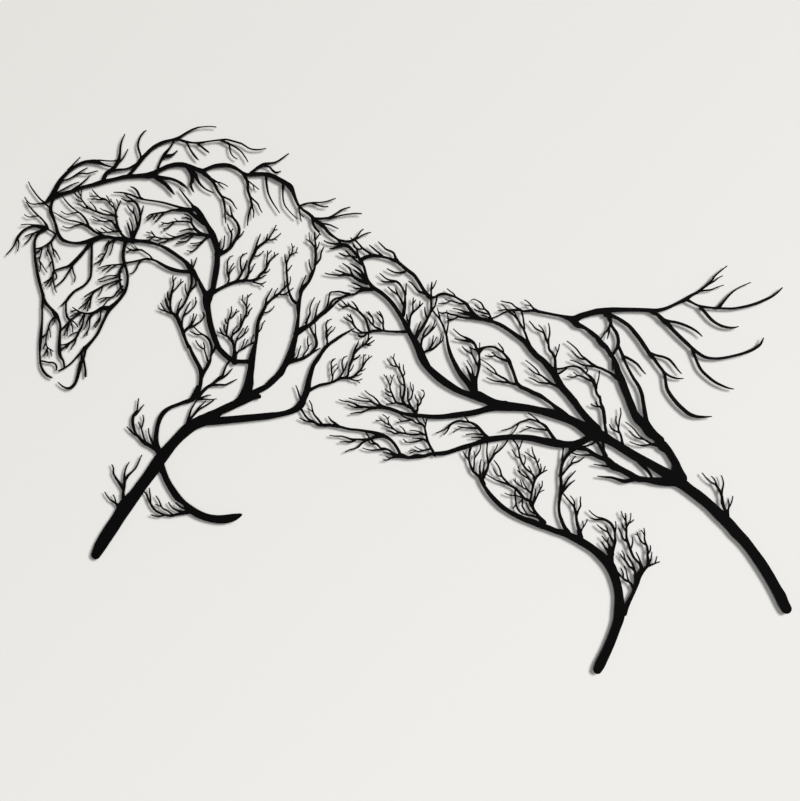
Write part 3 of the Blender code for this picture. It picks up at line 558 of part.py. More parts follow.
NEAR_HIND = [
    [(682, 189, 7.6), (692, 185.5, 7.5), (702, 181.5, 7.3), (711, 179.5, 9), (721, 174.5, 9),
     (731, 169.5, 10), (741, 163.6, 10), (750.3, 157, 10), (758.5, 149.5, 11.5), (767, 139.7, 12.5),
     (772.8, 129, 11.6), (776.3, 118.4, 10.4), (779, 108.1, 10.6), (780.5, 98, 11), (781, 88, 13),
     (781, 79, 14), (779.8, 69.9, 13.2), (776.6, 60, 12), (773, 49.8, 11.8), (769, 39.7, 12),
     (764.6, 29.5, 12), (759.6, 19.5, 12.6), (755.4, 10.7, 12.6), (753, 5.9, 11)],
    [(785.5, 78, 9), (790, 89, 6), (795, 99, 5), (799.5, 108.5, 5.4), (802.3, 116.5, 7), (804.5, 124.5, 8),
     (808.5, 131, 6.5), (813, 135.5, 4.2), (818, 140, 3.6)],
    # Bush on the cannon.
    [(768, 141, 12), (770, 150, 8), (772, 157, 6), (774.5, 164, 4.8), (776, 170, 3.8), (775.2, 176, 3),
     (774.6, 182, 3.2), (772.5, 188, 3.4), (769, 192.5, 3.6), (764, 196, 3.6), (758.5, 198.3, 3),
     (753, 200, 2), (748, 203, 1.8), (742, 208.8, 1.1)],
    [(774.5, 165, 4), (771.5, 171.5, 3), (768.5, 176.5, 2.4), (765.5, 182, 2.6), (765, 185.5, 2),
     (762.5, 189, 1.1)],
    [(771.5, 153, 6), (769.5, 161, 5), (767, 167, 2.8), (763.5, 170.5, 2.2), (758.5, 176, 1.1)],
    [(770, 152, 6), (766.5, 159, 5), (762, 163, 3), (758, 168.7, 1.1)],
    # Tree that grows back from the pastern.
    [(778.5, 129.5, 3), (784, 124, 3), (789, 120, 4), (793.5, 118, 3.2), (797, 113.5, 3.6),
     (799.5, 108, 4.4)],
    [(803, 118, 5), (801.3, 126, 3.6), (800.5, 131.5, 3.6), (798, 134.8, 4.2), (793.5, 137.5, 3),
     (790, 142.5, 2.6), (787.5, 147, 2.1), (786.5, 152.5, 1.8), (784, 157.3, 1.1)],
    [(806, 127, 7), (809, 134, 5), (808, 140, 6), (803, 145, 5), (799, 150, 4.5), (796.5, 155, 4.5),
     (793.5, 161, 4), (791.5, 166, 3.6), (790, 171, 3.6), (789.5, 177, 3), (789.5, 184, 3),
     (789.3, 191, 2.5), (788.7, 197, 2.2), (788.4, 205, 1.2)],
    [(808.5, 139, 4), (807, 145.5, 2.4), (805, 150, 1.9), (801.8, 155.5, 1.1)],
    [(816, 137.5, 4), (817.3, 145, 4), (816.5, 151, 3.1), (816.7, 157, 3), (816, 162, 3), (814, 167, 2.6),
     (812.5, 173, 2.2), (812.7, 179, 2), (812, 186, 1.2)],
]

FAR_HIND = [
    [(848, 248, 15), (860, 242.8, 14), (870, 235.2, 12.8), (880, 228, 13.5), (890.2, 219.9, 13),
     (900.3, 210.8, 13.2), (910, 201, 14), (920, 191.5, 14.2), (930, 179.8, 14.2), (940, 169.5, 13.4),
     (950.3, 156.2, 12.8), (960.8, 141.5, 13.6), (971.2, 125, 13.4), (980.8, 108, 13.4), (986, 98.8, 14.4),
     (989.5, 90.5, 13.6), (993.4, 83.4, 13)],
    [(916, 196, 10), (917.5, 204, 5.5), (914, 211.5, 4), (911.5, 219, 4.6), (911, 226, 3.6),
     (909, 232, 3.6), (905.5, 238, 3.2), (903.5, 241, 3), (898.5, 243.7, 2.1), (893, 248, 1.8),
     (886, 256.3, 1.1)],
    [(918, 202, 5), (919, 209, 2.8), (920, 215, 2.1), (919.3, 222.7, 1.1)],
]

LIMBS = [
    *HEAD,
    *NECK,
    *SHOULDER,
    *BACK,
    *TAIL,
    *HIP,
    *FORELEG,
    *CHEST,
    *BELLY,
    *FLANK,
    *STIFLE,
    *THIGH,
    *NEAR_HIND,
    *FAR_HIND,
]


def with_widths(stations):
    """Stations as vectors (x, z, width); a width that isn't given runs evenly between its neighbours."""
    places = [Vector(station[:2]) for station in stations]
    run = [0.0]
    for place, following in zip(places, places[1:]):
        run.append(run[-1] + (following - place).length)
    given = [(at, station[2]) for at, station in zip(run, stations) if len(station) == 3]
    if len(stations[-1]) == 2:
        given.append((run[-1], TIP_WIDTH))
    filled = []
    for place, at in zip(places, run):
        after = next(k for k, (known, _) in enumerate(given) if known >= at)
        before = max(after - 1, 0)
        reach = given[after][0] - given[before][0]
        share = (at - given[before][0]) / reach if reach else 0.0
        width = given[before][1] + (given[after][1] - given[before][1]) * share
        filled.append(Vector((place.x, place.y, width)))
    return filled


def hermite(start, start_tangent, end, end_tangent, t):
    """The point at t on the cubic that leaves start and reaches end along the given tangents."""
    return (
        start * (2 * t**3 - 3 * t**2 + 1)
        + start_tangent * (t**3 - 2 * t**2 + t)
        + end * (3 * t**2 - 2 * t**3)
        + end_tangent * (t**3 - t**2)
    )


def smooth_curve(stations):
    """A smooth curve through the stations, with a point about every CURVE_STEP."""
    gaps = [(b - a).xy.length for a, b in zip(stations, stations[1:])]
    slopes = [(b - a) / gap for a, b, gap in zip(stations, stations[1:], gaps)]
    tangents = [
        (slope * next_gap + next_slope * gap) / (gap + next_gap)
        for slope, next_slope, gap, next_gap in zip(slopes, slopes[1:], gaps, gaps[1:])
    ]
    if tangents:
        first = slopes[0] * 1.5 - tangents[0] * 0.5
        last = slopes[-1] * 1.5 - tangents[-1] * 0.5
        tangents = [first, *tangents, last]
    else:
        tangents = [slopes[0], slopes[0]]
    curve = [stations[0]]
    for k, gap in enumerate(gaps):
        steps = max(1, math.ceil(gap / CURVE_STEP))
        for step in range(1, steps + 1):
            curve.append(
                hermite(stations[k], tangents[k] * gap, stations[k + 1], tangents[k + 1] * gap, step / steps)
            )
    return curve


def thinned(points, tolerance):
    """The points of a line that it needs to stay within the tolerance of where it was."""
    kept = {0, len(points) - 1}
    spans = [(0, len(points) - 1)]
    while spans:
        first, last = spans.pop()
        start = points[first]
        along = points[last] - start
        furthest = tolerance
        corner = None
        for k in range(first + 1, last):
            share = (points[k] - start).dot(along) / along.length_squared if along.length else 0.0
            distance = (points[k] - start - along * min(max(share, 0.0), 1.0)).length
            if distance > furthest:
                furthest = distance
                corner = k
        if corner is not None:
            kept.add(corner)
            spans += [(first, corner), (corner, last)]
    return [points[k] for k in sorted(kept)]


def signed_area(polygon):
    """The polygon's area, positive where it runs counter-clockwise."""
    return sum(a[0] * b[1] - b[0] * a[1] for a, b in zip(polygon, polygon[1:] + polygon[:1])) / 2


def convex(points):
    """The convex outline around the points, counter-clockwise."""
    outline = [points[k] for k in convex_hull_2d([tuple(point) for point in points])]
    return outline if signed_area(outline) > 0 else outline[::-1]


def round_patch(centre, radius, sides):
    """A regular polygon, counter-clockwise."""
    turns = [2 * math.pi * k / sides for k in range(sides)]
    return [centre + radius * Vector((math.cos(turn), math.sin(turn))) for turn in turns]


def limb_patches(curve):
    """Convex patches that together cover a limb: one for each stretch of its curve, and one for each end."""
    middles = [point.xy for point in curve]
    halves = [max(point.z, THINNEST_TWIG) / 2 for point in curve]
    headings = [(b - a).normalized() for a, b in zip(middles, middles[1:])]
    edges = []
    for k, (middle, half) in enumerate(zip(middles, halves)):
        heading = (headings[max(k - 1, 0)] + headings[min(k, len(headings) - 1)]).normalized()
        widening = min(1 / max(heading.dot(headings[min(k, len(headings) - 1)]), MITRE_FLOOR), MITRE_LIMIT)
        across = Vector((-heading.y, heading.x)) * half * widening
        edges.append((middle + across, middle - across))
    patches = [convex([*here, *following]) for here, following in zip(edges, edges[1:])]
    for end, inward in ((0, headings[0]), (-1, -headings[-1])):
        if 2 * halves[end] < POINTED_END_BELOW:
            reach = inward * halves[end]
            patches.append(convex([*edges[end], middles[end] - reach, middles[end] + reach]))
        else:
            patches.append(round_patch(middles[end], halves[end], ROUND_END_SIDES))
    return patches


def joined_patches(patches):
    """The triangles that the patches cover together, as points and as triples of their numbers."""
    points = []
    faces = []
    for patch in patches:
        corners = [a for a, b in zip(patch, patch[1:] + patch[:1]) if math.dist(a, b) > SHORTEST_SIDE]
        if len(corners) > 2 and signed_area(corners) > SHORTEST_SIDE:
            faces.append(range(len(points), len(points) + len(corners)))
            points += [Vector(corner) for corner in corners]
    points, _, triangles, _, _, sources = delaunay_2d_cdt(points, [], faces, 1, MERGE_DISTANCE)
    return points, [tuple(triangle) for triangle, source in zip(triangles, sources) if source]


def rim_edges(triangles):
    """The edges that only one triangle has, as a list of followers for each point."""
    edges = {edge for a, b, c in triangles for edge in ((a, b), (b, c), (c, a))}
    followers = {}
    for a, b in edges:
        if (b, a) not in edges:
            followers.setdefault(a, []).append(b)
    return followers


def plate_outline(limbs):
    """The closed outlines of the plate: its rim counter-clockwise, and its holes clockwise."""
    patches = [patch for limb in limbs for patch in limb_patches(thinned(smooth_curve(limb), LIMB_TOLERANCE))]
    while True:
        points, triangles = joined_patches(patches)
        followers = rim_edges(triangles)
        pinched = [point for point, following in followers.items() if len(following) > 1]
        if not pinched:
            break
        patches += [round_patch(points[k], PINCH_REPAIR_RADIUS, 6) for k in pinched]
    outlines = []
    while followers:
        start, (following,) = followers.popitem()
        loop = [start]
        while following != start:
            loop.append(following)
            (following,) = followers.pop(following)
        outlines.append([points[k] for k in loop])
    return outlines


def to_plate(point):
    """A drawing's point in metres from the origin."""
    return (point[0] - STUD_PLACES[0][0]) * UNIT, (point[1] - STUD_PLACES[0][1]) * UNIT


def is_worth_cutting(outline):
    """True for the rim, and for a hole that isn't a mere slit or speck."""
    area = signed_area(outline)
    girth = sum(math.dist(a, b) for a, b in zip(outline, outline[1:] + outline[:1]))
    return area > 0 or (-area > SMALLEST_HOLE_AREA and -2 * area / girth > 2 * OUTLINE_TOLERANCE)


def thinned_outline(outline):
    """A closed outline with only the points that it needs."""
    furthest = max(range(len(outline)), key=lambda k: (outline[k] - outline[0]).length)
    there = thinned(outline[: furthest + 1], OUTLINE_TOLERANCE)
    back = thinned([*outline[furthest:], outline[0]], OUTLINE_TOLERANCE)
    return there[:-1] + back[:-1]


def powder_coat():
    """Satin black powder coat on steel."""
    material = bpy.data.materials.new("powder_coat_black")
    material.use_nodes = True
    shader = material.node_tree.nodes["Principled BSDF"]
    shader.inputs["Base Color"].default_value = POWDER_COAT_BLACK
    shader.inputs["Roughness"].default_value = POWDER_COAT_ROUGHNESS
    shader.inputs["Metallic"].default_value = 0
    return material


def flat_plate(name, outlines):
    """A closed mesh of the plate, cut through along the outlines, its back face at -STUD_LENGTH."""
    drawing = bpy.data.curves.new(name + "_outline", "CURVE")
    drawing.dimensions = "2D"
    drawing.fill_mode = "BOTH"
    drawing.extrude = PLATE_THICKNESS / 2
    for outline in outlines:
        spline = drawing.splines.new("POLY")
        spline.points.add(len(outline) - 1)
        spline.use_cyclic_u = True
        for corner, point in zip(spline.points, outline):
            corner.co = (*to_plate(point), 0, 1)
    drawn = bpy.data.objects.new(name + "_outline", drawing)
    bpy.context.scene.collection.objects.link(drawn)
    evaluated = drawn.evaluated_get(bpy.context.evaluated_depsgraph_get())
    mesh = bpy.data.meshes.new_from_object(evaluated)
    bpy.data.objects.remove(drawn)
    mesh.name = name
    mesh.transform(Matrix.Rotation(math.pi / 2, 4, "X"))
    mesh.transform(Matrix.Translation((0, -STUD_LENGTH - PLATE_THICKNESS / 2, 0)))
    shape = bmesh.new()
    shape.from_mesh(mesh)
    bmesh.ops.remove_doubles(shape, verts=shape.verts, dist=WELD_DISTANCE)
    shape.to_mesh(mesh)
    shape.free()
    return mesh


def stud(place, collection):
    """A round stud from the wall into the back of the plate, with a chamfer at the wall."""
    x, z = to_plate(place)
    radius = STUD_DIAMETER / 2
    depth = STUD_LENGTH + STUD_WELD_DEPTH
    shape = bmesh.new()
    bmesh.ops.create_cone(
        shape, cap_ends=True, segments=STUD_SIDES, radius1=radius, radius2=radius, depth=depth
    )
    at_wall = [corner for corner in shape.verts if corner.co.z < 0]
    wall_rim = [edge for edge in shape.edges if edge.verts[0] in at_wall and edge.verts[1] in at_wall]
    bmesh.ops.bevel(shape, geom=wall_rim, offset=STUD_CHAMFER, segments=1, affect="EDGES")
    mesh = bpy.data.meshes.new("stud")
    shape.to_mesh(mesh)
    shape.free()
    cutter = bpy.data.objects.new("stud", mesh)
    cutter.rotation_euler = (math.pi / 2, 0, 0)
    cutter.location = (x, -depth / 2, z)
    cutter.display_type = "WIRE"
    cutter.hide_render = True
    collection.objects.link(cutter)


def horse_plate(collection, studs):
    """The plate, cut from the limbs' outline and joined to its studs."""
    limbs = [with_widths(limb) for limb in LIMBS]
    outlines = [thinned_outline(outline) for outline in plate_outline(limbs) if is_worth_cutting(outline)]
    plate = bpy.data.objects.new("horse_plate", flat_plate("horse_plate", outlines))
    plate.data.materials.clear()
    plate.data.materials.append(powder_coat())
    collection.objects.link(plate)
    weld = plate.modifiers.new("studs", "BOOLEAN")
    weld.operation = "UNION"
    weld.operand_type = "COLLECTION"
    weld.collection = studs
    return plate


for leftover in list(bpy.data.objects):
    bpy.data.objects.remove(leftover)

art = bpy.data.collections.new("metal_horse_wall_art")
bpy.context.scene.collection.children.link(art)
stud_collection = bpy.data.collections.new("studs")
bpy.context.scene.collection.children.link(stud_collection)
for stud_place in STUD_PLACES:
    stud(stud_place, stud_collection)
horse_plate(art, stud_collection)
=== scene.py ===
"""Looks of the leaping horse wall art: the plate with every twig, its finish, the wall, light and camera.

Metres, +Z up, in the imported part's frame: the plate's front faces -Y and the wall is the plane Y = 0.
"""

import math

import bmesh
import bpy
from mathutils import Matrix, Vector
from mathutils.geometry import convex_hull_2d, delaunay_2d_cdt

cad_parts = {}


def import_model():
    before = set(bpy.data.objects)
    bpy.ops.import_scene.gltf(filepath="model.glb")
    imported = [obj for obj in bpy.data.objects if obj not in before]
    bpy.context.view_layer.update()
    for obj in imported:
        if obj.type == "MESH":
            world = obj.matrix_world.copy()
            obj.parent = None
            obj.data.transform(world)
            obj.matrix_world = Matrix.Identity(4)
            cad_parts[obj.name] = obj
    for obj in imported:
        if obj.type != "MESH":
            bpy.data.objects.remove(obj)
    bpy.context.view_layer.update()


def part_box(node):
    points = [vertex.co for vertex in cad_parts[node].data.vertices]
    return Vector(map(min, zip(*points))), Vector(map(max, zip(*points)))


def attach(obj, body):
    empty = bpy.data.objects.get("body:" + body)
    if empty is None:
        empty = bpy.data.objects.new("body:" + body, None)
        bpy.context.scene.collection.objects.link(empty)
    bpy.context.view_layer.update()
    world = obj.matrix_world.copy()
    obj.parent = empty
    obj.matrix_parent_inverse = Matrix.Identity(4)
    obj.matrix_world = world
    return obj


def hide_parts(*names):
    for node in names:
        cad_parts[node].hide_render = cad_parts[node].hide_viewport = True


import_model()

plate_low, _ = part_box("horse_plate")

# Sizes that the plate shares with its solid.
HORSE_LENGTH = 1.2
PLATE_THICKNESS = 0.002
STUD_LENGTH = 0.01
STUD_DIAMETER = 0.008
STUD_CHAMFER = 0.0006
STUD_SIDES = 48
STUD_WELD_DEPTH = PLATE_THICKNESS / 2

# Finishing sizes. Easing that would turn a face over is halved, less EASING_GIVEN_UP, until it doesn't. A
# face belongs to one of the sheet's sides where its normal's part along the thickness is over FLAT_ENOUGH.
EDGE_ROUNDING = 0.00025
EASING_GIVEN_UP = 0.000004
FLAT_ENOUGH = 0.2
WELD_BEAD_SIZE = 0.0008
WELD_BEAD_STEPS = 4
SHARP_ANGLE = math.radians(28)

# Powder coat. Colours are linear, scales are per metre, and depths in metres. The clouds that shade its
# gloss run from CLOUD_LOW to CLOUD_HIGH, and the lines of a cut edge run straight through the plate.
COAT_DARK = (0.001, 0.001, 0.001, 1)
COAT_LIGHT = (0.0018, 0.0018, 0.0018, 1)
COAT_SPECULAR = 0.024
COAT_ROUGHNESS_LEAST = 0.44
COAT_ROUGHNESS_MOST = 0.58
CLOUD_SCALE = 18
CLOUD_DETAIL = 3
CLOUD_LOW = 0.3
CLOUD_HIGH = 0.7
PEEL_SCALE = 1300
PEEL_DETAIL = 2
PEEL_DEPTH = 0.00003
PEEL_STRENGTH = 0.35
CUT_LINE_SCALE = 2400
CUT_LINE_DETAIL = 1
CUT_LINE_DEPTH = 0.00006
CUT_LINE_STRETCH = (1, 0, 1)

# The drawing's unit is a thousandth of the horse's length. Its X runs from the forelock's tip to the hind
# hoof, its Z up from the lowest hoof, and its widths are in the same unit.
UNIT = HORSE_LENGTH / 1000

# How the limbs are turned into the plate's outline, in units.
CURVE_STEP = 1.5
LIMB_TOLERANCE = 0.08
OUTLINE_TOLERANCE = 0.03
THINNEST_TWIG = 1.3
TIP_WIDTH = 1.1
POINTED_END_BELOW = 6
ROUND_END_SIDES = 20
SMALLEST_HOLE_AREA = 2.5
NARROWEST_HOLE = 0.5
PINCH_REPAIR_RADIUS = 0.25
PINCH_REPAIR_SIDES = 6
MERGE_DISTANCE = 1e-5
SHORTEST_SIDE = 0.01
WELD_DISTANCE = 1e-6
MITRE_FLOOR = 0.6
MITRE_LIMIT = 1.5

# A twig that is given by its tip leaves its stem at this angle, and bows by this share of its reach.
TWIG_ANGLE = math.radians(32)
TWIG_BOW = 0.35
TWIG_WIDTH = 2.4
TWIG_SHARE_OF_STEM = 0.7
TWIG_NEARNESS = 0.004
TWIG_STATIONS = (0, 0.35, 0.7, 1)
SHORTEST_TWIG = 3

# Where the studs stand, behind the same limbs as on the solid plate.
STUD_PLACES = [
    (303, 350),
    (164.5, 230),
    (257, 480),
    (598, 353.5),
    (748, 307),
    (900, 210.5),
    (781, 79),
    (188, 636.5),
]

# The photograph's frame, in pixels, and where the drawing lies in it.
PHOTO_WIDTH = 800
PHOTO_HEIGHT = 801
FORELOCK_PX = 5.5
LOWEST_HOOF_PX = 674.5
UNITS_PER_PX = 1 / 0.7865

# The camera looks at the middle of the photograph.
LENS = 85
SENSOR = 36
VIEW_CENTRE = Vector((
    ((PHOTO_WIDTH / 2 - FORELOCK_PX) * UNITS_PER_PX - STUD_PLACES[0][0]) * UNIT,
    0,
    ((LOWEST_HOOF_PX - PHOTO_HEIGHT / 2) * UNITS_PER_PX - STUD_PLACES[0][1]) * UNIT,
))

# Wall and light. The shadow falls this far from the front face's edge, for the plate's distance to the wall.
WALL_WIDTH = 4.2
WALL_HEIGHT = 3.4
WALL_CLEARANCE = 0.0003
# The wall's colour carries painted light and shade: it runs darker towards the upper left and lighter towards
# the lower right, in place of light falling unevenly across it.
WALL_IN_PAINTED_SHADE = (0.744, 0.735, 0.714, 1)
WALL_IN_PAINTED_LIGHT = (0.827, 0.818, 0.805, 1)
WALL_PAINTED_LIGHT_TOWARDS = (0.7, -0.7, 0)
WALL_PAINTED_SHADE_DEEPEST_AT = -0.82
WALL_PAINTED_LIGHT_BRIGHTEST_AT = 0.45
WALL_ROUGHNESS = 0.9
WALL_SPECULAR = 0.1
ROOM_COLOUR = (1, 0.995, 0.975, 1)
ROOM_LIGHT = 0.08
ROOM_SEEN = 0.83
LIGHT_COLOUR = (1, 0.995, 0.98)
KEY_ENERGY = 2.72
KEY_ANGLE = 0.3
SHADOW_OFFSET = (-0.00534, 0.011, -0.0032)
FILL_ENERGY = 0.68
FILL_ANGLE = 0.1
FILL_DIRECTION = (0, 1, 0)

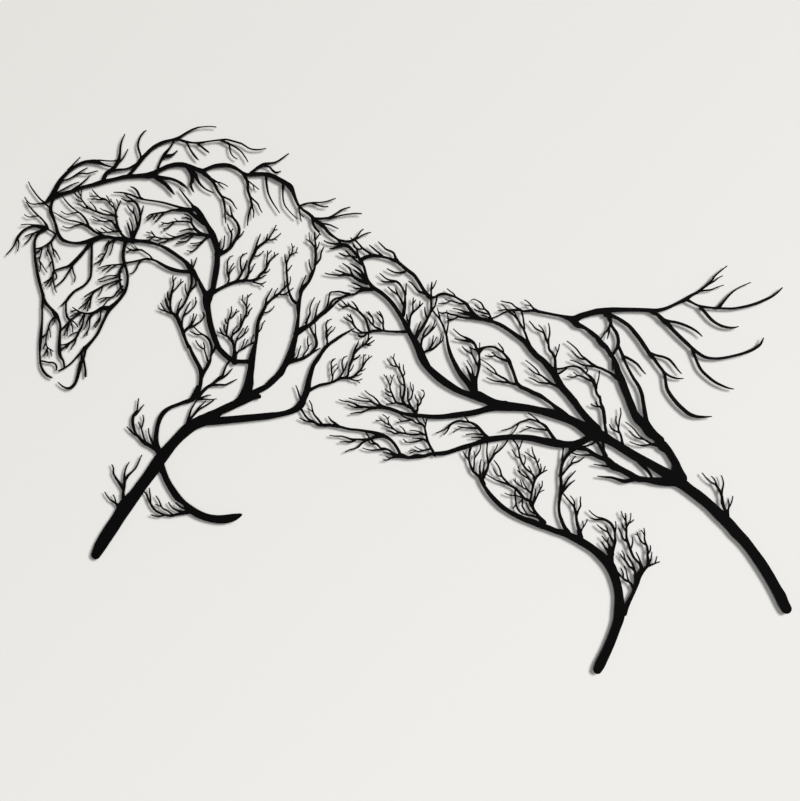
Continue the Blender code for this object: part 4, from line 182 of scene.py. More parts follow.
# Each limb is a row of stations (x, z, width) in units, from its root to its tip. Where short twigs that are
# given by their tips leave it, the row is followed by a list of those tips.
HEAD = [
    # Poll: the lower limb, the arc over it, and the twigs between them.
    [(50, 600, 2.7), (56, 604.5, 5), (62, 607.5, 5.5), (70, 610.5, 5), (78, 613, 4.5), (86, 615.2, 4),
     (94, 618.5, 4), (102, 620.9, 4), (110, 622.6, 4.4), (118, 625.2, 5.2), (126, 627.4, 5),
     (134, 629.1, 4.2), (142, 630.9, 4.2), (152, 633.2, 5), (162, 633.8, 5), (172, 634.5, 5.4),
     (182, 634.8, 7.5), (190, 636.5, 8)],
    [(54, 603, 5), (59, 609, 6.5), (63.5, 617, 6.5), (68, 625.5, 6), (73, 632.5, 5), (79, 638.7, 4.2),
     (86, 644.5, 4), (93, 648.9, 3.8), (100, 651.6, 4), (108, 652.5, 4.6), (115, 652.2, 5.4), (121, 650, 4),
     (127, 647.5, 2.8), (133, 646, 2), (138, 645.5, 1.5)],
    [(112, 653.5, 2.3), (120, 654, 2), (128, 653.3, 1.7), (136, 653, 1.7), (143, 654, 2.3)],
    [(79, 641.5, 2.3), (84.5, 647, 1.7), (90, 653, 1.4), (94.7, 657.7, 0.9)],
    [(67, 624, 3.1), (73, 627.8, 2.3), (80, 630, 2), (85, 632.5, 2.1), (90, 635.8, 2.3), (95, 639.3, 1.9),
     (100, 642.3, 1.5), (104, 644.3, 0.9)],
    [(91, 636.3, 1.9), (97, 637.3, 2), (104, 637, 1.9), (110, 638.6, 1.6), (117, 640.6, 0.9)],
    [(62, 610, 3.1), (68, 614, 2.2), (75, 618, 2), (81, 621.2, 1.9), (87, 624, 1.5), (93, 626, 0.9)],
    [(84, 615.5, 3.1), (90, 619.3, 3), (95, 623, 2.5), (100, 627.3, 2), (104, 631, 1.5), (107.5, 634.5, 0.9)],
    [(124, 627, 5.4), (125.5, 632.5, 5.2), (129, 638, 5.2), (134, 641.4, 4.8), (138.5, 645, 4.8),
     (141.5, 650, 4.8), (144, 655.5, 4.1), (145.3, 661, 3.3), (145.7, 668, 2.7), (147.3, 677, 2.2),
     (151.5, 687, 0.9)],
    [(142, 650, 3.1), (147.5, 654.5, 2.3), (151, 659, 1.7), (153, 663, 1.4), (155.5, 668, 0.9)],
    [(136, 640.5, 3.5), (144, 641.8, 3.5), (150, 642.2, 3), (156, 643.6, 2.6), (161, 646, 2.8),
     (167.2, 649.6, 3.4)],
    # Forelock.
    [(49, 600.5, 2.5), (45, 603.5, 2.2), (40, 609, 2), (35.2, 615.3, 1.9), (31.8, 620.5, 1.5),
     (29, 626.5, 0.9)],
    [(56, 594, 3.1), (52, 597, 2.3), (48, 599.2, 2.3), (42, 598.8, 1.8), (36, 598, 1.8), (31, 599, 1.6),
     (27.3, 602, 1.6), (24.3, 607, 0.9)],
    [(60, 604, 4.5), (58.3, 598, 3.6), (57.2, 591, 4.8), (58.8, 585, 5), (60.8, 580, 3.6), (62.6, 575, 3.5),
     (64.2, 570, 3.9), (65.5, 564, 4.4), (68, 558, 4.6), (72, 553, 4.8), (78, 550.4, 4), (85, 548.8, 3.5),
     (92, 548.6, 3.6), (99, 549.6, 4.3), (106, 551.5, 5.2), (113.2, 553.6, 6.4), (121, 556.3, 5.5),
     (130, 556.3, 4.4), (140, 554.5, 4.8), (150, 553.8, 4.5)],
    [(53, 568, 3.8), (51.5, 572, 3.4), (49, 575.7, 2.4), (45.6, 579.6, 2.4), (41.6, 583.3, 2.1),
     (37.3, 587.3, 2.3), (33.2, 591.7, 2), (29.6, 596.2, 2), (26.2, 600.8, 1.4)],
    [(45, 581, 1.8), (41, 582.7, 1.6), (36, 583, 1.5), (31.5, 581.7, 1.5), (27.5, 582.5, 1.3),
     (24, 584.8, 0.9)],
    [(50, 570, 2.3), (42, 571.3, 2.2), (36, 571.8, 1.8), (30, 572.5, 1.3), (25, 572.5, 1.1),
     (19.5, 571.8, 0.9)],
    [(53, 567.5, 5.4), (47, 568.3, 5), (40, 569.3, 2.6), (34, 570, 3), (27.8, 568, 2.6), (22, 564, 3.1),
     (17.5, 558.8, 3.4), (14.6, 554.2, 3.6), (12.4, 549.1, 2.2), (9.3, 543.2, 1.8), (5.3, 538.5, 1.4),
     (0.8, 533.8, 1)],
    [(16, 553, 2.3), (16.8, 548, 1.7), (16.3, 543, 1.3), (15, 538.5, 0.9)],
    [(47, 567, 3.1), (52, 566.8, 3.1), (57, 564.3, 2.3), (63, 560.5, 2.8)],
    [(48, 566, 3.1), (42, 563.7, 2.3), (36, 561.3, 2), (30, 559.4, 1.7), (24.5, 557, 0.9)],
    [(36.5, 561.5, 1.9), (33, 558, 2.1), (30.5, 553.5, 2.1), (27.5, 550.5, 1.6), (24, 547.3, 0.9)],
    # Bridge of the nose, down to the muzzle.
    [(51, 566, 3.6), (45, 563.5, 3.8), (40.5, 559.5, 3.9), (38, 554.6, 3.2), (36.8, 549, 3.4),
     (36.7, 543, 3.6), (37.2, 535, 3.4), (37.6, 528, 3.4), (38.8, 520, 3.6), (40.1, 512, 3.9),
     (42, 503, 4.1), (43.7, 496, 3.8), (45.7, 489, 3.8), (47.8, 481, 4.3), (47.5, 474, 3.8),
     (46.5, 467, 2.6), (46.5, 458, 2.6), (46.3, 449, 2.8), (45.6, 440, 3.5), (44.9, 430, 4.2),
     (44, 420, 3.8), (43.4, 410, 2.6), (43.7, 402, 2.6), (44.3, 395, 2.6), (46, 389.5, 3.2),
     (49, 384.3, 3.5), (53.5, 380, 3.3), (58.5, 377.3, 2.5)],
    [(64, 560, 2.3), (60.6, 554.2, 3), (57.5, 550, 3.4), (52.8, 546.8, 2.6), (47.8, 544, 2),
     (43, 542.2, 2.1), (37, 541, 2)],
    [(46, 543, 1.9), (43, 539.3, 2), (38.5, 535, 1.9)],
    [(46.5, 543, 1.9), (45.3, 536, 1.7), (44, 531, 1.8), (42.7, 526.5, 1.7), (44.2, 521, 1.6),
     (44.3, 517, 1.4), (43, 512.3, 0.9)],
    [(44, 531, 1.6), (41.5, 530, 1.6), (38, 528.5, 1.6)],
    [(44, 525, 1.6), (46.5, 520.5, 1.5), (49, 516.3, 1.4), (52.5, 511.5, 0.9)],
    [(54.5, 547, 2.3), (53.5, 542, 2.1), (54.5, 538, 2.2), (57, 532.5, 2.2), (59.3, 526.5, 2.6),
     (60.5, 520, 2.6), (61.5, 513, 2.7)],
    [(53.6, 541, 1.6), (52.3, 536.5, 1.3), (53, 532.5, 0.9)],
    [(59.3, 525.5, 1.7), (56.8, 522.7, 1.7), (54.8, 518.5, 0.9)],
    [(58, 550, 2.1), (58.7, 545, 2.2), (60, 540.5, 2.3), (61, 536, 1.7), (62.2, 531, 0.9)],
    [(60, 541.5, 2.2), (63.3, 538.3, 2.1), (65.6, 534.5, 1.8), (67.5, 531.3, 1.3), (69, 527.5, 0.9)],
    # Eye and cheek.
    [(109, 552, 6), (105.3, 546, 5), (101.3, 540.3, 4.1), (97, 535, 4.8), (92.3, 529.8, 4.8),
     (87.8, 525.2, 4.9), (83.8, 521.3, 5.2), (79.5, 519.2, 3.2), (73, 517.4, 2.7), (67, 515.4, 2.5),
     (61, 513.2, 2.6)],
    [(85, 520, 3.1), (82.5, 515.5, 2.6), (79, 510.1, 2.4), (76, 505, 2.2), (72.1, 500.4, 2.2),
     (67, 496.2, 1.8), (62.5, 492.5, 1.6)],
    [(85, 519, 2.3), (85.5, 514, 2), (86.6, 510, 2), (88.3, 506, 1.8), (88, 502, 1.6), (87, 499, 0.9)],
    [(61.8, 514, 3.4), (60.3, 509, 3.1), (59.8, 504.5, 2.5), (60.6, 500, 2.2), (61.7, 495, 2.1),
     (62.8, 490, 1.6), (64.5, 486, 0.9)],
    [(59.5, 506.5, 2.3), (56, 502.8, 2.1), (52, 500, 1.8), (48.3, 498, 0.9)],
    [(59, 504.5, 1.7), (56, 500.8, 1.6), (53, 497.3, 1.5), (50.8, 493.7, 0.9)],
    [(60, 503, 1.7), (58.3, 499, 1.6), (56.7, 496, 1.5), (55, 493, 0.9)],
    [(62, 512, 2.3), (64.2, 508.5, 2.1), (64.7, 505, 2), (63.3, 501.8, 0.9)],
    [(110, 553, 5.4), (109.3, 546, 3.8), (109.5, 538, 3.2), (109.2, 529, 3.4), (109, 519, 3.4),
     (108.8, 511, 3), (107.5, 504.5, 3), (104.2, 499.2, 3.1), (100, 494.8, 2.9), (94, 491.3, 2.7),
     (88, 487.8, 2.9), (83.3, 483, 3.5), (79.8, 478.5, 3.4), (77, 473.6, 2.6), (76.7, 467, 2.6),
     (76.8, 460.5, 2.7), (78.2, 455, 3.1), (81.5, 450.5, 3.1)],
    [(80, 479, 2.3), (76.5, 475, 2), (73, 471.5, 1.6), (69.5, 468, 0.9)],
    [(82, 450, 2.3), (86, 448.8, 1.8), (89.5, 445.5, 1.6), (92, 442, 0.9)],
    [(83, 449, 2), (83.8, 445, 1.6), (85, 440, 1.5), (85.3, 435, 0.9)],
    [(97, 460, 2.7), (92, 457.6, 2.6), (87, 454, 2.6), (82.5, 450.5, 3), (77.8, 445.6, 2.4),
     (74, 441.3, 2.4), (70.5, 437.5, 2.4)],
    [(80, 446, 1.9), (77.6, 440, 1.9), (76, 435.5, 1.7), (74.2, 431, 0.9)],
    [(81, 447, 1.9), (79.3, 441, 1.6), (78.4, 435.5, 1.6), (78, 430, 0.9)],
    [(131, 465.6, 6.8), (122, 465.6, 5), (116, 462, 4.2), (110, 459.6, 3.2), (104, 458.9, 2.8),
     (98, 459.7, 2.6), (93, 461.5, 2.4), (89, 464, 1.9), (85, 467, 0.9)],
    [(91, 463, 1.6), (86.5, 462.6, 1.5), (82, 460.8, 0.9)],
    [(95, 460, 2.1), (89.5, 459.2, 2), (85.5, 457.2, 1.6), (82, 455, 0.9)],
    [(100, 459, 3.1), (99.2, 452, 2.4), (98, 445.5, 2.2), (95.9, 440.2, 2.8), (93, 435.2, 3.4),
     (90.7, 430, 2.8), (87.2, 425.8, 2.8), (82.8, 422.8, 2.2), (77.5, 420.2, 2), (71, 419, 1.8)],
    [(90, 429, 2.3), (89, 424.5, 2.1), (87.2, 420, 2.1), (84.8, 417, 1.6), (83, 413, 0.9)],
    [(94, 435.5, 2), (89.5, 434.8, 1.7), (85, 433.2, 1.6), (81, 430.2, 0.9)],
    [(99, 457, 2.1), (97, 452.5, 2), (94.8, 449.5, 1.6), (93.3, 444, 0.9)],
    [(81, 421.5, 1.9), (76.5, 417.5, 2.1), (73, 415, 2), (70, 411, 2.1)],
    [(82, 421.5, 1.6), (79.5, 418, 1.5), (77, 414, 0.9)],
    [(109, 459, 2.3), (105.8, 454, 2.2), (103.7, 449, 1.9), (102, 443.5, 1.6), (99.5, 438.5, 0.9)],
    [(111, 458, 2.3), (107.5, 452.5, 2), (106.8, 446, 1.8), (106, 440.5, 1.8), (103.5, 435.5, 1.7),
     (99, 430, 0.9)],
    [(105.3, 439, 1.6), (104, 435, 1.5), (103, 430.7, 0.9)],
    [(121, 463, 2.3), (120.6, 455, 2), (119.5, 450, 2), (116.7, 445.5, 1.8), (114, 441, 0.9)],
    [(120.8, 456, 1.7), (117.6, 450.5, 1.6), (114.5, 446.5, 1.5), (112, 442, 0.9)],
    # Jaw, with its inner strand, and the twigs that reach forward from it.
    [(152, 552, 5.4), (151.6, 546, 4.4), (149.7, 538, 4.2), (149.6, 530, 4.4), (151, 523, 4.4),
     (153.4, 515.4, 3.6), (155, 508, 3.5), (155.2, 501.1, 3.4), (154.1, 494, 3.6), (151.7, 487, 4.2),
     (147.4, 480.4, 4.2), (143.2, 475.4, 4.3), (138.4, 470.7, 5), (133, 466, 6.2), (129, 458.5, 4),
     (125.3, 451, 3.6), (121, 441.8, 3.7), (117.8, 434.9, 3.5), (113.8, 429, 3.4), (109, 423.2, 3.8),
     (104.1, 417.9, 4.8), (101, 413, 4.5)],
    [(151, 522, 3.6), (147.2, 517.2, 3.2), (144.8, 511, 3.8), (144.8, 504, 2.9), (145.4, 498, 2.9),
     (146.6, 492.5, 3.8), (149, 487.5, 3.6)],
    [(140, 553, 2.3), (134, 550.5, 2.2), (130.7, 547, 2.1), (129, 541, 2.1), (127, 535.5, 2.1),
     (124, 530.5, 2.3), (120.5, 526.8, 2.1), (116.5, 524, 1.6), (112, 521.5, 0.9)],
    [(126.5, 534, 1.8), (122.5, 535, 1.6), (119.5, 533.3, 1.3), (117.5, 531, 0.9)],
    [(124.8, 531, 1.6), (123.3, 527.3, 1.6), (121.3, 524.3, 1.5), (119.3, 520, 0.9)],
    [(138.2, 551.8, 1.9), (136.3, 546.3, 1.8), (135.2, 541, 1.6), (133.5, 536.3, 1.5), (132, 533, 0.9)],
    [(131.3, 551.3, 1.8), (128.4, 547.5, 1.8), (126.8, 543.5, 1.6), (125.7, 539.5, 0.9)],
    [(151, 522, 3.1), (144, 521.4, 2.1), (137, 521, 1.9), (130, 520.2, 1.8), (124.5, 519, 1.6),
     (118, 516.3, 0.9)],
    [(134, 520.5, 1.7), (130, 518, 1.6), (126, 515.5, 1.5), (122.5, 513, 0.9)],
    [(142, 521, 2), (137, 518.7, 1.8), (133.5, 516, 1.6), (130.5, 513.2, 1.5), (128.3, 511.3, 0.9)],
    [(147, 512.5, 2.8), (143, 508.7, 2.4), (138.5, 507.2, 1.9), (133, 507.3, 1.6), (127.5, 506.3, 1.6),
     (122.5, 504, 1.5), (117.3, 501.7, 0.9)],
    [(146, 506, 2.2), (140, 505, 1.8), (134.5, 503.4, 1.6), (129, 501.8, 1.6), (124, 500.2, 1.5),
     (118.5, 499, 0.9)],
    [(147, 502, 3.1), (141, 500.3, 2.4), (135, 498.4, 2.3), (129, 496.5, 2.1), (123.5, 494.3, 2.3),
     (119, 491.1, 2.6), (114, 488.4, 2.6), (109, 486, 2), (104.5, 483.3, 1.6), (99.7, 480, 0.9)],
    [(145.5, 500.5, 2), (140, 497.2, 1.8), (135.5, 495, 1.6), (130.3, 491.3, 0.9)],
    [(123, 493, 2), (122, 488.5, 1.6), (120, 484.5, 1.5), (118, 480.7, 0.9)],
    [(116, 489.5, 2.3), (112, 486, 2.5), (109.5, 481, 2.3), (108.2, 475.5, 2), (107.7, 470.5, 1.6),
     (107, 465.3, 0.9)],
    [(110.5, 484, 2.1), (107.5, 479, 2), (105, 474.5, 2), (103, 470.3, 1.8), (101, 465, 0.9)],
    [(106, 476.5, 1.7), (102.5, 473, 1.7), (98.5, 469.5, 1.8), (93, 465, 0.9)],
    [(104, 472.5, 1.6), (102, 468.5, 1.6), (99, 464, 0.9)],
    [(109, 482, 1.6), (105.5, 479.5, 1.6), (102.5, 477, 1.5), (100.5, 474.5, 0.9)],
    [(108, 474, 1.6), (106, 469, 1.4), (104, 462, 0.9)],
    [(148.5, 494, 3.1), (144.7, 489.5, 2.3), (141, 485.5, 2.3), (138.8, 481.7, 2.1), (134.5, 479.6, 2),
     (128.5, 479.3, 1.8), (123, 478.5, 1.6), (117.5, 476.7, 0.9)],
    [(134, 479.5, 1.8), (129.5, 475.5, 1.6), (126.5, 471.5, 1.5), (123.7, 468, 0.9)],
    [(130, 479.3, 1.6), (125, 476.3, 1.5), (119.7, 472.6, 0.9)],
    [(149, 489, 1.7), (144.5, 484.5, 1.5), (141, 480.5, 0.9)],
    # Mouth, muzzle and chin.
    [(47.5, 480, 4.5), (50.3, 473.5, 4.4), (54.9, 467.8, 3.9), (59.9, 462.8, 4.1), (63.8, 457.4, 6),
     (67.5, 451, 3.6), (69.4, 444, 3), (69.6, 438, 3.2), (68.9, 431, 3.3), (68.5, 423, 4), (68.3, 415, 4.6),
     (68.8, 408, 4.4), (70.2, 403.6, 3.8), (73, 399.5, 2.8), (74.2, 395, 2.7), (74.7, 390, 2.7)],
    [(44, 399, 2.3), (48, 398.3, 2.4), (54, 396.8, 2.4), (60, 396.5, 2.4), (63.5, 394.3, 2.4),
     (64.8, 390, 2.3), (64, 386, 1.2)],
    [(64, 455.5, 3.1), (60, 452.5, 2.4), (57.3, 449, 2.1), (55.3, 443.5, 2), (53.5, 437, 2.3),
     (51.8, 430.5, 2.1), (51.2, 424, 2), (51.8, 418.5, 2), (53.5, 415.5, 1.8), (57, 413.3, 1.5),
     (60.5, 410.8, 0.9)],
    [(63, 453, 1.6), (62, 449, 1.5), (59.7, 444.3, 0.9)],
    [(55.3, 441, 1.7), (56.5, 435.5, 1.5), (57.2, 428.7, 0.9)],
    [(52.5, 434, 1.8), (49.5, 431, 2), (46, 428.5, 2.2)],
    [(51.3, 423, 1.5), (49.3, 418, 1.5), (48, 413.5, 0.9)],
    [(53, 416, 1.6), (51.5, 411, 1.8), (49.8, 407.5, 1.5), (47.3, 404.5, 0.9)],
    [(53.3, 415, 1.5), (53, 409.5, 1.5), (52.6, 404.5, 0.9)],
    [(56, 413.8, 1.5), (57.6, 410, 1.3), (58, 404.7, 0.9)],
    [(100.6, 416.3, 4.2), (96, 410, 3), (92.5, 406, 2.6), (88, 400.8, 2.4), (83.5, 396, 2.3),
     (79, 392.6, 2.2), (74.5, 389.7, 2.3), (70.5, 387.6, 2.2), (67, 386.2, 1.6)],
    [(102.4, 417.8, 4.2), (101.4, 412, 3), (100.3, 406, 3), (97.5, 400, 4.8), (95, 394.2, 4.5),
     (94, 389, 4.6), (92.4, 382, 4.3), (90.8, 376, 3.9), (88.3, 370, 3.7), (84.4, 365.6, 4),
     (79.5, 363.8, 3.4), (74.9, 365, 2.6), (70.3, 368, 1.8), (66.5, 371.6, 0.9)],
    [(100, 415.5, 3.1), (97, 409.5, 2.4), (96.3, 404, 2.6), (97, 399, 3.1)],
    [(99, 401, 3.2), (100, 395.5, 2.8), (101, 390, 2.8), (101.6, 384, 3), (101.5, 379, 3)],
    # Brow: the twigs that reach forward from the ear and the poll.
    [(125, 557.9, 3.2), (120, 560, 3.6), (114, 562.9, 3.2), (109.7, 565.9, 3.8), (105.7, 569.2, 4.2),
     (99.7, 572.3, 3.1), (95, 574.4, 2.5), (89, 576.2, 2.2), (82, 577.4, 2), (77, 578.6, 1.8),
     (71.8, 581.2, 1.8), (66.8, 584.3, 1.5), (61.5, 587.7, 0.9)],
    [(105.4, 570, 3.4), (103.8, 575, 3.1), (100.9, 580, 2.9), (96.7, 584.7, 2.6), (91, 589.1, 2),
     (85.2, 593.3, 2.3), (79.7, 598.4, 2.1), (75.8, 603.1, 1.8), (72.5, 607.5, 0.9)],
    [(95, 587, 1.8), (89, 587.6, 1.6), (84, 586.3, 1.5), (79, 585.3, 1.5), (75.5, 586, 1.3),
     (70.7, 589, 0.9)],
    [(100.5, 571.4, 2.4), (96, 572.2, 2.3), (92, 571.9, 2), (88, 570.6, 1.8), (84, 568.6, 1.7),
     (80, 567.8, 1.6), (76.5, 568.3, 1.5), (72.6, 570.3, 0.9)],
    [(142, 582, 3.1), (137, 584, 3.2), (131, 584.5, 2.2), (125, 585.2, 2.4), (120, 586.9, 2.9),
     (115, 588.8, 2.5), (110, 591, 2.6), (105, 593.6, 2.8), (101, 598, 2.3), (97.3, 603.1, 1.8),
     (92, 607.4, 1.8), (86.5, 613, 1.6)],
    [(99, 600.5, 1.8), (96.4, 604.5, 1.7), (95.9, 609, 1.6), (96.8, 616.5, 1.2)],
    [(96.3, 605, 1.6), (95, 609.5, 1.5), (93, 612.7, 1.5), (91, 616, 1.2)],
    [(98, 601.3, 1.7), (93.5, 602.3, 1.6), (89.5, 604.3, 0.9)],
    [(111, 590.5, 2.3), (105, 592.5, 2.3), (100, 594, 2), (96, 596.3, 1.6), (91, 598.2, 0.9)],
    [(116, 589, 2), (113.7, 593.7, 1.8), (111, 597.5, 1.5), (107.5, 600.7, 0.9)],
    [(137, 584.8, 2.1), (131, 588, 2.1), (127, 589.7, 1.8), (123, 591, 1.3), (120.5, 592.7, 0.9)],
    [(145, 563, 3.4), (141.4, 567.3, 3.6), (138.6, 571.8, 3), (135.4, 575.2, 2.4), (131, 576.7, 2.1),
     (126, 576, 1.8), (121, 577, 1.8), (115.5, 579.7, 1.6), (109.7, 583, 0.9)],
    [(136, 577.3, 1.6), (130, 578.7, 1.6), (126, 580, 1.5), (120.7, 581.2, 0.9)],
    [(122.5, 576.8, 1.6), (118, 576.5, 1.5), (114.5, 577.3, 1.2), (111.5, 578.8, 0.9)],
    [(147, 563.5, 2.5), (141, 563.8, 2.1), (135, 563, 1.8), (129, 562.2, 1.6), (123, 561.8, 1.6),
     (117, 561.5, 1.6)],
    [(141, 563.6, 1.6), (136, 565, 1.6), (131, 567.3, 1.6), (127.8, 569.3, 1.5), (124.8, 571.3, 0.9)],
    [(128.5, 562.3, 1.5), (125, 565.2, 1.4), (121.5, 568, 0.9)],
    [(123, 561.8, 1.8), (118.7, 563.3, 1.6), (114.7, 566.5, 0.9)],
    [(154, 554, 4.5), (150, 557, 3.6), (147, 560.4, 3.4), (144.7, 564.8, 3.4), (142.2, 569.8, 3.8),
     (141.2, 576, 3.2), (140, 582, 3.6), (140, 588, 2.7), (138.5, 592.6, 2.4), (135.2, 596, 2.2),
     (131.8, 599.4, 2.1), (129, 602.8, 2), (125, 604.9, 2.4), (120.5, 606.1, 2), (117, 608.9, 1.8),
     (114, 612, 1.9), (110, 616.5, 0.9)],
    [(128, 604.3, 2.1), (122.5, 604, 2.1), (118, 604, 1.8), (114, 605, 1.5), (108.5, 604.3, 0.9)],
    [(118.5, 607.8, 1.6), (113, 608.4, 1.3), (107, 608.2, 0.9)],
    [(133, 600.5, 1.8), (131, 604.5, 1.6), (129.5, 607, 1.5), (128.2, 609, 0.9)],
    [(138.4, 594.5, 1.5), (136.4, 599.3, 1.4), (134.4, 601.7, 1.3), (133.8, 604.8, 0.9)],
    [(141, 589, 2), (142.6, 594, 1.7), (144.8, 598, 1.5), (146.2, 602.5, 0.9)],
    [(143.4, 596, 1.4), (142.7, 600.3, 1.3), (141, 604, 0.9)],
]

